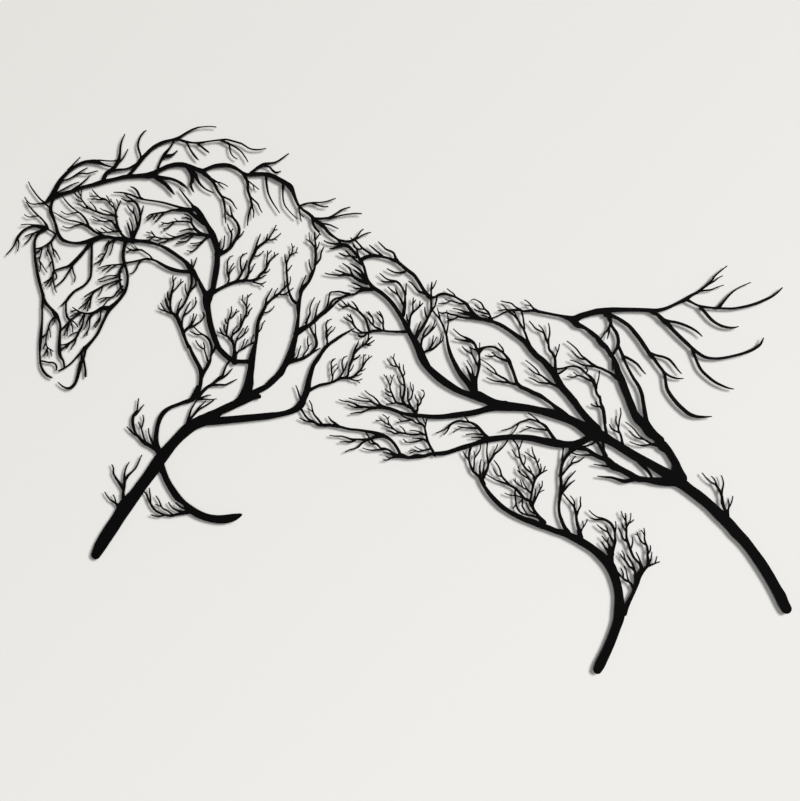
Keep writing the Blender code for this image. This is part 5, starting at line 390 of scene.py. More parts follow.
NECK = [
    # Upper crest bough and its hanging twigs.
    [(152, 632, 4), (159, 637.6, 4), (164, 643.5, 4.2), (168.5, 649.5, 5.4), (172.5, 654.9, 5.6),
     (176, 658.7, 5), (180, 662.9, 4.7), (185, 667.8, 4.6), (190, 671.7, 4.6), (195, 674.6, 4.3),
     (200, 676.8, 4.1), (205, 678.3, 3.8), (210, 679.5, 3.3), (215, 680.7, 3.6), (219, 682.1, 3.8),
     (222.5, 684, 3.3), (226, 686.3, 3), (230, 688.9, 2.6), (235, 691.8, 2.5), (240, 694, 2.4),
     (245, 695.7, 1.9), (250, 696.4, 1.5), (255, 696.9, 1.3), (260, 697.1, 1.2), (267.6, 696.3, 1)],
    [(214, 680.5, 3), (220, 680.1, 3), (225, 678.7, 3.4), (230, 677.3, 3.6), (235, 676.6, 2.6),
     (240, 676.1, 2.5), (245, 675.9, 3.2), (250, 676.4, 3), (255, 677.5, 2.2), (260, 678.3, 2),
     (265, 679, 2), (270, 679.5, 2.2), (275, 679.9, 2.6), (280, 680.5, 2.2), (285, 679.5, 2.5),
     (290, 678.1, 2.4), (295, 676.6, 2.4), (300, 675.1, 2.4), (305, 672, 2.2), (310, 669, 2),
     (315, 667.7, 2), (322, 667.5, 1.8), (331, 669, 1)],
    [(273, 679.5, 3), (278, 677.9, 3), (281, 676.2, 3), (285, 674.4, 2.8), (290, 672.2, 2.3),
     (295, 668.8, 2.3), (300, 664.6, 2), (303.5, 659.5, 2), (306, 656, 1.7), (308, 652, 1.2)],
    [(282.5, 676.5, 3), (284.4, 673, 2.2), (285.1, 669.2, 2), (285.5, 665.6, 2), (286.9, 662, 1.9),
     (289.8, 658.5, 1.7), (294.4, 655.6, 1.1)],
    [(213.8, 679.5, 2.6), (212.4, 675, 2.2), (210.3, 671.5, 2.3), (208, 668.5, 2.6), (205.2, 665.3, 3.4),
     (202.6, 662, 4.4), (200.3, 658, 4.2), (198.3, 654.8, 3.3), (196.4, 651.1, 3), (195, 647.5, 2.9),
     (193.6, 643.5, 3), (192.5, 638.5, 3.5)],
    [(201, 659, 4), (204.5, 659.3, 4.2), (208, 659.9, 4.3), (211, 660.4, 3.8), (213.4, 661.7, 2.7),
     (215.8, 663.7, 2.1), (218.3, 665.9, 1.7)],
    [(228.5, 678, 3), (231, 675, 3), (233.2, 670.7, 2.5), (235.1, 667.1, 2.6), (237.4, 663.5, 2.9),
     (240, 659.9, 3), (242.6, 656.9, 2.6), (245.2, 654.3, 1.3)],
    [(243.5, 676, 3.4), (246.5, 673.3, 3), (249.5, 670.8, 2.7), (252.5, 668.4, 2.8), (255.5, 666.1, 2.6),
     (258.3, 664.1, 1.9)],
    [(172.3, 655.5, 3), (171.7, 659.5, 2.6), (170.9, 662.5, 2.7), (169.8, 665.6, 2.8), (168.7, 669.2, 2.8),
     (168.3, 672.9, 2.7), (168.7, 676.5, 2.5), (169.8, 680.1, 2.3), (171.3, 683.7, 2.3),
     (173.4, 687.2, 2.1), (175.8, 689.9, 1.9), (178.6, 691.8, 1.4)],
    # Lower crest limb, from the fork behind the poll to the withers.
    [(178, 634.5, 6), (185, 636.7, 6), (190, 638.8, 5.4), (195, 640.9, 5.4), (200, 643.6, 5), (205, 646, 5),
     (210, 647.5, 5.3), (215, 648.5, 5.5), (220, 648.8, 5.8), (226, 648.4, 5.9), (231, 647.3, 5.4),
     (236, 645.7, 5.2), (241, 643.5, 5.4), (246, 641.3, 6), (250.5, 640.3, 6.2), (255, 642.5, 4.5),
     (260, 645, 4), (265, 646.6, 4.5), (270, 647.5, 5), (275, 647.9, 5.3), (280, 647.9, 5.2),
     (285, 647, 5.1), (290, 645.2, 4.8), (295, 642.3, 4.3), (299.7, 639, 4), (306, 636, 4), (318, 636.5, 5),
     (328, 636.5, 5), (338, 634.5, 6), (348, 629.5, 6), (357, 624.5, 6), (362, 620.5, 7), (366, 612, 5),
     (369, 604, 4), (373, 596, 3.5), (378, 591, 3.5), (384, 587, 4), (390, 582, 4.5)],
    [(188, 633.5, 5), (195, 632.3, 5), (200, 631.6, 5), (205, 631.1, 4.3), (210, 630.4, 3.7),
     (215, 628.8, 3.7), (220, 626.4, 3.8), (224.5, 623.5, 4), (228, 620.8, 3.2), (231, 617.6, 1.3)],
    [(190, 632.5, 5), (193.5, 630.5, 5.2), (197.5, 628.1, 5.4), (200.8, 625.6, 5.5), (204.8, 622.1, 4.9),
     (208, 618.5, 4.6), (211, 614.8, 3.9), (213.2, 612, 2.6), (214.6, 610.5, 1.3)],
    [(228, 647, 3.5), (232, 643.5, 4.5), (235.5, 639, 5), (237.2, 634, 5), (237.3, 629.5, 4.8),
     (236.3, 625.8, 4.1), (235.4, 622.9, 3.7), (235.9, 620, 3.3), (237.2, 617.1, 3), (238.4, 614.9, 2.2),
     (239.2, 613.5, 1.2)],
    [(232, 644.5, 3), (236.5, 641.2, 3.6), (240.5, 637, 4.8), (242.3, 632.5, 5), (243.8, 629.3, 4.4),
     (245.6, 625.9, 3.6), (248, 622.9, 3.2), (250.8, 620, 2.6), (254.5, 617.2, 2.2), (258.6, 615, 2),
     (261.5, 613.7, 1.8), (264.3, 612.5, 1.1)],
    ([(246, 642.5, 5), (250, 639.5, 6.3), (253.5, 636.5, 6), (257.6, 633, 5.1), (261.3, 629.4, 4.7),
     (264.3, 625.8, 4), (266.4, 622.1, 3.8), (268, 618.5, 3.7), (269.8, 614.9, 3.5), (272.4, 611.2, 3.4),
     (275, 607.5, 3.3), (276.8, 604, 3.3), (277.6, 600.5, 3.2), (278.5, 596, 3), (279, 590, 2.5),
     (279, 583, 2), (280, 574, 1.2)],
     [(285, 584)]),
    [(262.5, 630, 3), (265.5, 628, 3), (268.5, 626.5, 2.3), (271, 625.7, 2), (274, 625.1, 1.6),
     (277.6, 623.6, 1.4), (282.2, 620.8, 1)],
    [(269.5, 625.7, 1.8), (271.8, 623.1, 1.7), (274, 621.1, 1.5), (276.3, 619, 1.1)],
    [(274, 608.5, 3), (277, 607.4, 2.6), (280, 606, 2.4), (285, 603.7, 2.6), (288.5, 600.5, 2.2),
     (291, 596, 1.8), (294, 592, 1.3)],
    [(301, 638, 4), (305, 632, 4), (308, 624, 4), (308, 616, 3.5), (310, 610, 3.5), (312, 603, 3),
     (313, 597, 3.5), (311, 591, 2.5), (309, 584, 2.5), (308, 577, 2), (307.5, 571, 1.2)],
    ([(304, 632, 3), (308, 628, 2), (312, 625, 1.8), (317, 621, 1.5), (322, 617, 1)],
     [(316, 616.5)]),
    [(311, 608, 2.5), (316, 603, 2.2), (321, 598, 2.2), (323, 593, 1.8), (326, 587.5, 1.2)],
    [(313, 596, 2.5), (315.5, 588, 1.8), (315, 581, 1.2)],
    [(311, 637, 4), (316, 641, 3.5), (322, 645.5, 4), (329, 649, 4), (336, 650, 3), (342, 651, 2.5),
     (348, 654, 2), (355, 659, 1.8), (360, 662.5, 1.2)],
    [(329, 647, 3), (336, 645, 2.5), (339, 641.5, 3), (343, 638.5, 3), (350, 640, 1.2)],
    [(331, 635, 3), (332, 622, 3), (334, 612, 2.5), (338, 603, 2.2), (343, 595, 1.8), (348.5, 587, 1.2)],
    [(353, 625, 4), (352.5, 612, 2.2), (353, 604, 2), (355, 597, 2), (360, 590, 1.6), (366, 584),
     (370, 580, 1)],
    ([(373, 596, 2.5), (374, 586, 1.8), (376, 576, 1)],
     [(379, 582)]),
    # Throat limb: twigs that reach forward from the neck trunk to the ear.
    [(241, 592, 5), (235, 591.3, 4.7), (227, 592.3, 4.4), (220, 594.5, 3.1), (210, 597.5, 2.9),
     (200, 600.2, 2.7), (190, 602, 2.5), (180, 603.4, 2.4), (172, 604.8, 2.7), (165, 607.6, 2.7),
     (159, 610, 2.7), (153, 611.8, 2.5), (147, 612.9, 1.9), (137.5, 613.2, 1)],
    [(175, 604.3, 3), (171, 607, 2.9), (169.3, 610.5, 2.9), (167, 615, 2.9), (163.8, 618.3, 2.5),
     (158.8, 620.3, 1)],
    [(241, 594, 3), (237.5, 597, 2.8), (234, 601.1, 2.6), (231, 604.8, 2.4), (227.5, 609.1, 2.2),
     (223.8, 614.1, 1.9), (220.8, 617.7, 1.2)],
    [(161, 551, 6), (162.5, 557, 5.2), (165.5, 563.5, 4.6), (168.8, 570, 3.9), (170.5, 576, 3.3),
     (171.3, 582, 3.1), (170.5, 588, 2.9), (169.2, 593, 3.1), (166.8, 598.3, 3.5), (163.3, 601.5, 3.5),
     (158.5, 602, 2.7), (153.5, 602.3, 2.3), (147.3, 605.5, 1)],
    [(165.5, 600.5, 2.7), (160, 604.2, 2.7), (155.5, 607.5, 2.3), (150.5, 612, 1)],
    [(171.2, 582.5, 2.7), (173.3, 588, 2.1), (174.3, 592, 1.9), (175.2, 596, 1)],
    [(168.3, 568, 3), (166.8, 573.5, 2.5), (165.5, 579, 2.3), (164.2, 584.5, 2.3), (161.3, 588, 2.3),
     (158, 591.3, 2.1), (154.7, 596.5, 1)],
    [(163.7, 586, 2), (162.8, 589.5, 1.9), (163, 593.7, 1)],
    [(161, 551, 6), (160.5, 558, 4.8), (158.5, 563.5, 3.1), (156.5, 568.5, 2.5), (154.8, 574, 1.2)],
    [(161.5, 560, 3), (161.3, 567, 2.1), (160, 573.5, 1.9), (157.3, 580.5, 1)],
    # Neck trunk, down to the chest.
    [(236, 597, 2), (241, 593, 6), (247, 586, 7), (253, 577, 6), (257.7, 568.8, 6.5), (263, 560, 8),
     (266.2, 550.7, 8.4), (269.5, 540, 8), (269.3, 530, 7), (268.6, 520, 7.8), (267.2, 510.1, 7.8),
     (265.3, 500.1, 7.4), (263.5, 490, 7), (257.2, 480, 12.5), (256, 470, 9.5), (258, 460.2, 7.2),
     (259.3, 450.2, 7.6), (261.7, 440.3, 7.5), (264.8, 430.4, 7.4), (268.6, 420.3, 7.1), (271, 415.3, 6.8),
     (275.4, 410.1, 6.8)],
    [(252, 574, 6), (245, 580, 6), (238, 585, 5), (231, 590, 4), (225, 591, 4.5), (217, 590.8, 3.2),
     (210, 590, 2.8), (204, 588, 2.6), (198, 587.3, 2.4), (190, 586, 2.4), (184, 584.7, 2),
     (179, 581.2, 1.2)],
    [(201, 587, 3), (197, 582.5, 2.8), (193, 578, 2), (189.5, 575.3, 1.2)],
    [(193, 586, 2.2), (190.5, 582.5, 2), (188, 578.5, 1.2)],
    [(188, 585, 2.2), (184, 581, 2), (178.8, 577.2, 1.2)],
    ([(261, 558, 4), (255, 559, 3.5), (247, 562, 3.5), (242, 566, 3.5), (238, 571, 3), (235, 575, 2.5),
     (228, 576, 2), (220, 576, 2.2), (213, 575.5, 2), (206, 573.5, 2), (198, 575, 1.2)],
     [(198, 571.5), (215, 580)]),
    [(237, 573, 2.5), (235, 578, 2), (231, 580.5, 1.8), (224, 580, 1.2)],
    [(235.5, 576, 2), (236, 580, 2), (234, 583, 1.8), (227, 585.5, 1.2)],
    ([(214, 575, 2), (210, 571, 2), (205, 567.5, 1.8), (200, 566.5, 1.2)],
     [(201, 564)]),
    [(245, 562, 3), (240, 566, 2.5), (234, 566.5, 2.5), (228, 565.5, 1.8), (221, 563.5, 1.2)],
    ([(260, 557, 4), (250, 559, 3.5), (240, 560, 3.5), (233, 561, 3), (226, 559, 2.8), (218, 556.5, 2.8),
     (210, 554, 2.8), (203, 554, 2.5), (196, 555, 2.2), (190, 557, 2), (187, 561, 1.8), (185, 564, 1)],
     [(179, 562.5), (204, 561)]),
    ([(197, 555, 2), (192, 556, 1.8), (185, 556.5, 1.8), (179, 555, 1.2)],
     [(178, 550)]),
    [(200, 554, 1.8), (194, 552.5, 1.6), (188, 552, 1)],
    [(239, 560, 2.5), (232, 557.5, 2), (227, 555, 1.8), (222, 553.5, 1.2)],
    ([(239, 560, 2.5), (235, 555, 2), (231, 551.5, 2), (225, 549.5, 1.8), (217, 548, 1.2)],
     [(219, 550.5)]),
    [(209, 554, 2.5), (203, 550.5, 2), (195, 548.5, 2)],
    ([(259, 558, 4), (253, 553, 2.5), (250, 549, 2.5), (246, 546, 2.5), (243, 542, 2.2), (239, 539, 2),
     (234, 536.5, 1.2)],
     [(235, 548), (238, 545.5), (230.5, 539)]),
    # Jaw to chest limbs.
    [(146, 554, 6), (160, 552, 6), (170, 551.4, 4.4), (180, 550.5, 5), (189.8, 547.8, 3.6),
     (196.5, 545.5, 3.4), (205, 541.4, 4.9), (213.1, 536.2, 4.9), (221.2, 530.4, 4.9), (228.4, 524.9, 5.1),
     (234, 518, 7), (238, 512, 8), (243.5, 505, 4), (247.7, 496.4, 5.1), (252, 488, 6), (256, 481, 9)],
    [(150, 523, 3), (160, 524.5, 2.5), (170, 526.5, 2.8), (178, 528.5, 2.8), (185, 528, 3), (190, 526.5, 3),
     (197, 522.5, 4), (205, 518, 4.5), (213, 515, 5), (222, 513, 4.5), (230, 512.5, 4.5), (237, 512.5, 6)],
    ([(187, 528, 2.2), (183, 533, 2), (178, 536.5, 2.2), (172, 540, 2.5), (166, 539.5, 2.5), (160, 540, 2.2),
     (156, 541.5, 1.8), (154, 544, 1)],
     [(153, 536.5), (164, 545), (160, 545)]),
    [(172, 527, 2.5), (168, 520, 2.2), (165, 514, 2), (162, 511, 1.8), (157.5, 509.5, 1.2)],
    [(238, 515, 3), (236.5, 522, 1.8), (236, 528, 1)],
    [(237, 514, 3), (238.5, 518, 2.2), (241, 524, 1.8), (243, 530, 1)],
    # Bush in front of the chest.
    [(236, 511, 4), (236.5, 503, 3), (236, 495, 3), (234.5, 489, 3), (232, 482, 3), (229, 475, 3),
     (225, 468, 3), (220, 462.5, 3.5), (218, 457, 4.5), (220, 450, 5), (223, 443, 5), (226, 434, 4.5),
     (229, 425, 4), (233, 416, 5)],
    [(240, 507, 3.5), (242, 498, 2.5), (240, 493, 2.5), (236, 489, 2.5), (234, 486, 2.5)],
    [(232, 481, 2.5), (230, 485, 2), (228.5, 490, 1.8), (228.5, 497, 1.2)],
    ([(220, 451, 4.5), (215, 457, 4), (211, 461, 3.5), (209.5, 467, 3), (209.5, 475, 3), (210.5, 483, 3.5),
     (212, 490, 2.5), (213.5, 497, 2.2), (212.5, 503, 1.8), (213, 508, 1.2)],
     [(217, 505)]),
    ([(211, 484, 2.2), (213, 487, 2.2), (217, 491, 2), (221, 496, 1.8), (226, 500, 1.2)],
     [(223, 503)]),
    [(209, 474, 2.5), (206, 481, 2.2), (206, 487, 1.2)],
    [(211, 460, 3), (207, 466, 2.8), (204, 473, 2.8), (203, 479, 1.5)],
    ([(213, 458, 3), (206, 461, 2.5), (200, 463, 2), (194, 466, 1.2)],
     [(197, 472.5)]),
    [(218, 458, 3), (218.5, 463, 2.2), (221, 472, 1.8), (224, 478, 1)],
    ([(224, 443, 3), (225, 452, 2.5), (227, 457, 2.5), (232, 460, 2.2), (236, 464, 2), (240, 468, 1.8),
     (243, 475, 1.2)],
     [(241.5, 480)]),
    [(226, 456, 2.2), (229, 463, 2), (232, 469, 1.8), (235, 474, 1)],
    ([(226, 433, 3.5), (229, 438, 3.5), (234, 442, 3.5), (239, 443, 3), (243, 446, 2.2), (248, 449, 2),
     (251, 453, 1.8), (253, 458, 1.2)],
     [(250.5, 461), (243, 458), (239, 459)]),
    [(237, 443.5, 2.5), (240.2, 441, 1.9), (242.9, 438.2, 1.8), (246.4, 435, 1.9), (250, 432.8, 2.4),
     (253.6, 430.6, 2.9), (256.4, 428.2, 3), (258.9, 425, 3), (260.4, 421.4, 2.9), (261.3, 417.9, 2.9),
     (261.7, 414.3, 2.8), (261.9, 411.4, 3), (261.8, 408, 3)],
    [(250, 432.5, 2.2), (245.5, 432.3, 1.8), (241.4, 432.9, 2.1), (238.6, 434, 1.8), (234.6, 436.4, 1.1)],
    # Bush behind the neck trunk.
    [(268, 534, 6), (274, 536, 5.5), (280, 538.5, 4.5), (287, 544, 4), (290, 549, 4), (293, 554, 3.5),
     (296, 560, 4), (297, 566, 4), (295, 573, 3.5), (291, 579, 3), (286, 583, 2.5), (281, 586, 2)],
    [(292, 577, 3), (288, 584, 2.5), (286.5, 590, 2), (285, 596, 1)],
    [(291, 551, 2.5), (296, 555, 2), (300, 559, 1.8), (303, 564, 1)],
    ([(284, 541, 3), (286, 548, 2.5), (287, 555, 2.5), (287.5, 560, 2.5), (284, 567, 2), (282, 573, 1.3)],
     [(289, 567)]),
    [(273, 537, 3), (277, 544, 2), (278, 551, 1.8), (278.5, 558, 1.2)],
    [(270, 536, 4), (271.5, 544, 3), (273, 552, 1.4)],
    # Front bough of the neck, four rising twigs.
    ([(258, 483, 7), (266, 487, 5), (272, 490.5, 4), (280, 494.5, 4), (288, 498, 4), (296, 500.3, 4),
     (305, 501, 3.5), (313, 501.2, 3.2), (320, 503.5, 3.5), (324, 509, 3), (330, 514, 3), (333, 520, 3),
     (336, 526, 2.5), (341, 531, 2.2), (347, 535.5, 1.2)],
     [(342, 537)]),
    ([(282, 496, 2.4), (284, 503, 2.5), (283, 508, 2.5), (281.5, 513, 2.2), (282, 519, 2.2), (282, 524, 2),
     (285, 531, 1.2)],
     [(290, 523), (289, 532.5), (292, 519)]),
    ([(292, 499, 3), (298, 506, 3), (300.5, 511, 3), (299, 518, 2.5), (298.5, 524, 2.2), (299, 529, 2),
     (302, 535, 1.2)],
     [(307, 536)]),
    [(300, 510, 2.5), (303, 515, 2.4), (305, 521, 2), (307, 527, 1.2)],
    [(301, 500, 4), (307, 505, 3.5), (309, 512, 3), (309.5, 520, 3), (312, 527, 3.5), (315, 533, 4),
     (318, 540, 4), (319, 546, 2.5), (321, 552, 2), (324, 560, 1.2)],
    ([(318, 540, 3.5), (324, 546, 3.5), (330, 550, 3), (334, 553.5, 2.5), (337, 558, 2), (340, 563, 1.8),
     (344, 571.5, 1.2)],
     [(345.5, 566), (333, 560)]),
    ([(333, 552.5, 2.2), (339, 553, 2), (345, 556.5, 1.5), (350, 561, 1)],
     [(345, 552.5)]),
    [(315, 532, 2.5), (321, 532.5, 1.6), (325, 535, 1.5), (328, 538.5, 1)],
    [(309, 509, 2), (313, 514, 1.8), (315, 519, 1.5), (317.5, 522.5, 1)],
    ([(332, 518, 2.5), (332, 526, 2), (333, 532, 1.8), (333, 539, 1.2)],
     [(338, 539)]),
    [(327, 511, 2), (333, 512, 1.8), (336, 515.5, 1)],
    [(320, 503, 2.5), (326, 505, 2), (331, 508, 1.2)],
    ([(312, 501, 2.5), (320, 497.5, 2.2), (326, 497, 1.8), (331, 499.5, 1)],
     [(328, 493)]),
]

SHOULDER = [
    # Limb that rises from the chest to the withers.
    [(358, 400, 7), (362.9, 407.6, 8.1), (366, 418, 7), (368.5, 428, 6), (370, 436, 6), (371.2, 445, 5),
     (372.5, 458, 4), (372.5, 470, 6), (374.8, 480, 3.8), (375.9, 487.7, 5.6), (379.3, 492.8, 5.6),
     (385.5, 499.7, 3.8), (388.9, 508, 5), (392.5, 515.6, 3), (393.6, 523.8, 3.5), (394.5, 532, 3.5),
     (394.2, 540, 4), (394, 548, 2.6), (393, 556, 2.5), (393, 563, 1.3)],
    ([(372, 471, 4), (366, 475, 4), (362, 482, 3.5), (359.5, 490, 3), (358.5, 497, 3), (358, 504, 3),
     (357.5, 511, 2.8), (357, 518, 2.5), (358, 525, 2.5), (361, 531, 2.2), (364, 536, 2), (365, 541, 1.8),
     (363.5, 548, 1.2)],
     [(367.5, 545), (360, 538)]),
    ([(363, 534, 1.8), (368, 536, 1.5), (371, 543, 1)],
     [(371.5, 536)]),
    [(357, 522, 2), (355.5, 528, 2), (355, 534, 1.2)],
    [(358, 512, 1.8), (361, 516, 1.5), (364, 520.5, 1)],
    [(359.5, 494, 1.8), (362, 500, 1.5), (362, 506, 1)],
    [(375, 489, 3), (377, 496, 2), (380, 503, 1.8), (382, 508, 1)],
    [(390, 512, 2.2), (387, 519, 2), (386, 524, 1.8), (386, 528, 1)],
    ([(393, 543, 2.5), (390, 548, 2.2), (386, 551, 1.8), (382.5, 553.5, 1)],
     [(386, 562)]),
    [(393, 520, 3), (397.5, 525, 2.6), (400.3, 529.5, 2.5), (400.8, 533.6, 2.4), (401.5, 537.2, 2.2),
     (402.9, 540.2, 2), (404.8, 543.8, 1.2)],
    [(394, 538, 2), (397, 543, 1.8), (399, 550, 1)],
    [(394, 553, 2.2), (397, 557, 1.8), (399.5, 560.5, 1.5)],
    # Withers.
    [(374, 596, 2.5), (381, 598.5, 2.5), (390, 600, 2.2), (400, 600.3, 1.8), (408, 601.5, 1.8),
     (414, 603.5, 1.5), (419.5, 605.5, 1)],
    [(388, 599.5, 2.2), (395, 598, 2.1), (400, 596, 2), (404, 595, 1.9), (410, 595.1, 1.5)],
    [(390, 580.3, 3.6), (400, 579.6, 3.2), (405, 580, 3), (410, 580.5, 3.2), (415, 581, 3), (420, 582, 2.4),
     (426, 583.8, 2), (431, 584.7, 1.9), (437, 585.6, 1.9), (443, 586.2, 1.9), (448, 586.3, 1.8),
     (452.8, 586.1, 1.2)],
    [(411, 580.8, 3), (415.5, 583, 2.6), (419.3, 585.4, 2.5), (423, 587.9, 2.4), (426.5, 590.4, 2.3),
     (430.5, 592.2, 2), (435, 593.5, 1.7), (438.3, 594.4, 1.1)],
    [(388, 584, 4), (392, 579.5, 5), (396.5, 576, 5.6), (400.5, 573, 5.6), (403.8, 570.2, 5),
     (406.8, 567.1, 4.2), (409.3, 563.6, 4.3), (412.9, 560, 4), (417.1, 556.8, 3.5), (420.7, 554.3, 3),
     (424.3, 552.5, 3), (428.6, 551.4, 3.4), (432.9, 550.7, 3.2), (437.1, 550.9, 3.2), (440.4, 551.6, 3.4),
     (442.5, 552.8, 3.6), (445, 554.4, 3.2), (447.3, 557.3, 2.2), (449.3, 560, 1.9), (451.5, 563.6, 1.8),
     (455, 566.4, 1.2)],
    [(441.5, 552.5, 2), (438.7, 555.5, 1.2)],
    [(444.5, 554, 2.6), (449.3, 555.7, 2.2), (452.1, 557.9, 2), (455.7, 559.6, 1.9), (459.3, 561, 1.8),
     (464.3, 562.2, 1.2)],
    ([(390, 580, 4), (391, 573, 2.8), (393, 568, 2.2), (397, 563.5, 1.8), (401, 559, 1.2)],
     [(399.5, 563)]),
    [(402, 573, 4), (406, 573, 2.6), (410, 572.4, 2.2), (414, 571.2, 2), (418, 569.2, 1.9), (423, 567, 1.3)],
    [(421, 554.5, 3), (423.6, 551.4, 3), (425.5, 548, 4), (430, 546.4, 5), (434.3, 545.2, 5),
     (438.2, 542.5, 4.4), (442, 538.8, 4), (445.4, 534.6, 3.5), (448, 531.2, 3.6), (450.7, 528, 4.4),
     (452.5, 525, 4.6), (454.2, 521.5, 4), (456, 517.5, 3.6), (457, 513.5, 3.6), (457.9, 509.5, 3.8),
     (459, 504.5, 4.4), (460.6, 500.5, 4.8), (463.6, 496.3, 4.8), (467.7, 492, 5.2), (476.2, 486.6, 5.2),
     (484.8, 479.4, 5.2), (492.2, 471.5, 5.4), (499, 461.6, 5.3), (505, 451.6, 5.2), (510.6, 441.3, 7),
     (515.6, 431.8, 6.4), (520.6, 423.9, 8.2), (526.1, 413.3, 10), (529.9, 404.5, 9.3), (536.2, 393.1, 8)],
    [(426, 547.5, 3), (420, 547.4, 2.6), (415, 547.9, 2.4), (410.7, 548.9, 2.2), (407, 550.4, 1.9),
     (404.7, 552, 1.2)],
    [(428, 545.6, 4.6), (423, 544.4, 3.8), (419.3, 543, 2.9), (415.7, 541.8, 2.2), (411.8, 541.4, 1.3)],
    [(444.5, 552.5, 3), (447.5, 549.3, 2.3), (450.4, 546.2, 2.4), (453.2, 542.8, 2.8), (456.8, 540.1, 3),
     (460.7, 537.3, 3), (464, 535, 3.2), (467.5, 533, 3.7)],
    [(454, 541.8, 2.4), (450.5, 540.9, 2.2), (447, 541.2, 2.2), (444.3, 542.9, 2), (441.5, 545, 1.2)],
    [(443.8, 543.2, 2), (442.9, 546.2, 2), (441, 548.8, 1.2)],
    [(446.2, 541.5, 2.4), (447.3, 537.5, 2.4), (448.3, 533.8, 2.6), (449.5, 530.5, 3)],
    [(449.5, 530.2, 2.6), (444.3, 530.7, 2.4), (440.7, 531.7, 2.4), (437, 532.2, 2.6), (432.9, 532.2, 2.4),
     (429.3, 533.2, 2.3), (426.4, 534.6, 2), (423.8, 536.2, 1.2)],
    [(453.8, 521, 3.4), (450, 523.3, 2.8), (446.4, 526.1, 2.4), (442.9, 528.9, 2.3), (440, 531.4, 2.3),
     (437.1, 533.9, 2.1), (435, 536.4, 1.9), (432.5, 538.9, 1.2)],
    [(456, 506.5, 3), (452.9, 512, 3), (449.5, 515.3, 2.9), (446, 518, 2.5), (442.5, 520.2, 2.1),
     (438, 522.6, 1.2)],
    [(457.7, 502.3, 4), (454, 505.5, 4.5), (450, 508.6, 3.6), (447, 511.5, 2.8), (444, 513.6, 2),
     (442, 514.7, 1.2)],
    [(461, 497.5, 5), (456, 499.3, 5), (451.5, 500.8, 4.4), (447, 503, 4.2), (443, 505.5, 3.8),
     (439, 507.8, 3.6), (435.4, 508.5, 3.6), (430.8, 508.4, 3.4), (425.4, 507.9, 2.6), (420, 507.9, 2.2),
     (414.5, 508.5, 1.9), (410, 509.3, 1.8), (406, 510.5, 1.2)],
    [(433, 508.8, 3), (428.5, 511.5, 2.4), (424.6, 512.8, 2.2), (421.5, 514, 1.9), (419, 514.7, 1.2)],
    [(444.5, 504, 4), (441.2, 508.3, 2.8), (439.6, 511.5, 2.6), (438.3, 514.8, 2.4), (436, 517.7, 2.2),
     (433, 520, 2), (428.5, 523, 1.2)],
    [(467, 491, 4), (459, 490.8, 3.6), (455.4, 491.5, 3.2), (452, 493, 2.8), (449.2, 494.6, 2.4),
     (446.2, 496.2, 2.2), (443, 497.3, 1.9), (439.8, 498.1, 1.2)],
    [(453, 490.4, 2.6), (449, 491, 2.2), (445, 491, 2), (441.8, 492.2, 1.2)],
    # Shoulder limb, from the chest up to the withers, with its two eye-shaped openings.
    [(468, 489.8, 4), (460, 489.2, 3.4), (455, 488.8, 3.2), (451, 487.9, 3.3), (447.5, 486, 3),
     (444, 483.8, 2.8), (440, 483.3, 3), (436, 482.5, 3), (432, 481.5, 3.2), (428.5, 479.8, 3),
     (424.6, 476.9, 3), (420.8, 473.8, 3), (416.2, 469.2, 3.4), (412, 465.6, 4.2), (406.4, 461.7, 5.8),
     (400.2, 457, 5.2), (393.7, 450.5, 5.4), (386.5, 444.4, 4.5), (378.1, 439.9, 7.2), (369, 433, 7)],
    [(406, 461, 4), (408.5, 467, 3), (409.8, 472, 2.4), (410.8, 477, 2.2), (411.6, 481.5, 2),
     (412.2, 484.8, 2), (414, 486.2, 2), (417.5, 486.5, 2), (421, 486.9, 2.2), (424.5, 486.9, 2.4),
     (427.5, 486.2, 2.6), (431, 485, 3), (434, 484.6, 3), (438, 484.2, 3)],
    [(411.5, 466.5, 3), (412.5, 469.5, 3), (413.8, 472.2, 3), (415.5, 475, 2.8), (418, 477.3, 2.6),
     (421, 478.6, 2.4), (424.5, 479, 2.4), (428, 479.5, 2.4)],
    [(382, 446, 3.5), (384, 452, 3), (387, 459, 2.5), (387, 466, 2), (389, 472, 1.8), (393, 479.5, 1.2)],
    [(393, 450, 3.5), (394.5, 459, 2.5), (396, 466, 2), (400, 475.5, 1.2)],
    [(386, 444, 2.5), (389, 437, 2.5), (392, 432, 2.8), (395, 425, 4), (395, 418, 4), (391, 412, 3),
     (385, 406, 2.5)],
    [(393, 449, 2), (394, 441, 1.8), (394, 434, 2), (395, 427, 3)],
    [(356, 395, 5), (361, 397, 4.5), (367, 399, 4), (375, 401, 4), (382, 404, 4), (388, 408, 3.5),
     (393, 411, 2.5), (400, 415, 1.2)],
    ([(377, 402, 2.2), (380, 408, 2), (385, 416, 2), (384, 422, 2), (384.5, 430, 1.2)],
     [(389, 421)]),
    [(364, 399, 3), (371, 404, 2), (373, 411, 1.8), (375.5, 418, 1.2)],
    # Elbow bough: a long spear and a bough like the neck's, somewhat smaller.
    [(375.4, 344.1, 8.6), (380.4, 352.2, 7), (383.6, 362.2, 8.4), (385.2, 372.1, 7.2), (388.1, 383.1, 6.2),
     (391.5, 393.2, 5.4), (396.7, 401.1, 5.8), (402, 409, 4.5), (407, 416, 5), (412, 420.5, 4),
     (420, 426, 4.2), (428, 431.5, 3.5), (436, 436, 2.5), (443, 440, 1.5)],
    ([(408, 417, 2.5), (409, 423, 2.5), (408, 430, 3.2), (408, 438, 2.6), (407.5, 445, 2.4), (410, 451, 1.2)],
     [(414.5, 452), (415, 443)]),
    [(409, 429, 2), (412, 434, 2), (417, 438, 1.5), (419, 442, 1)],
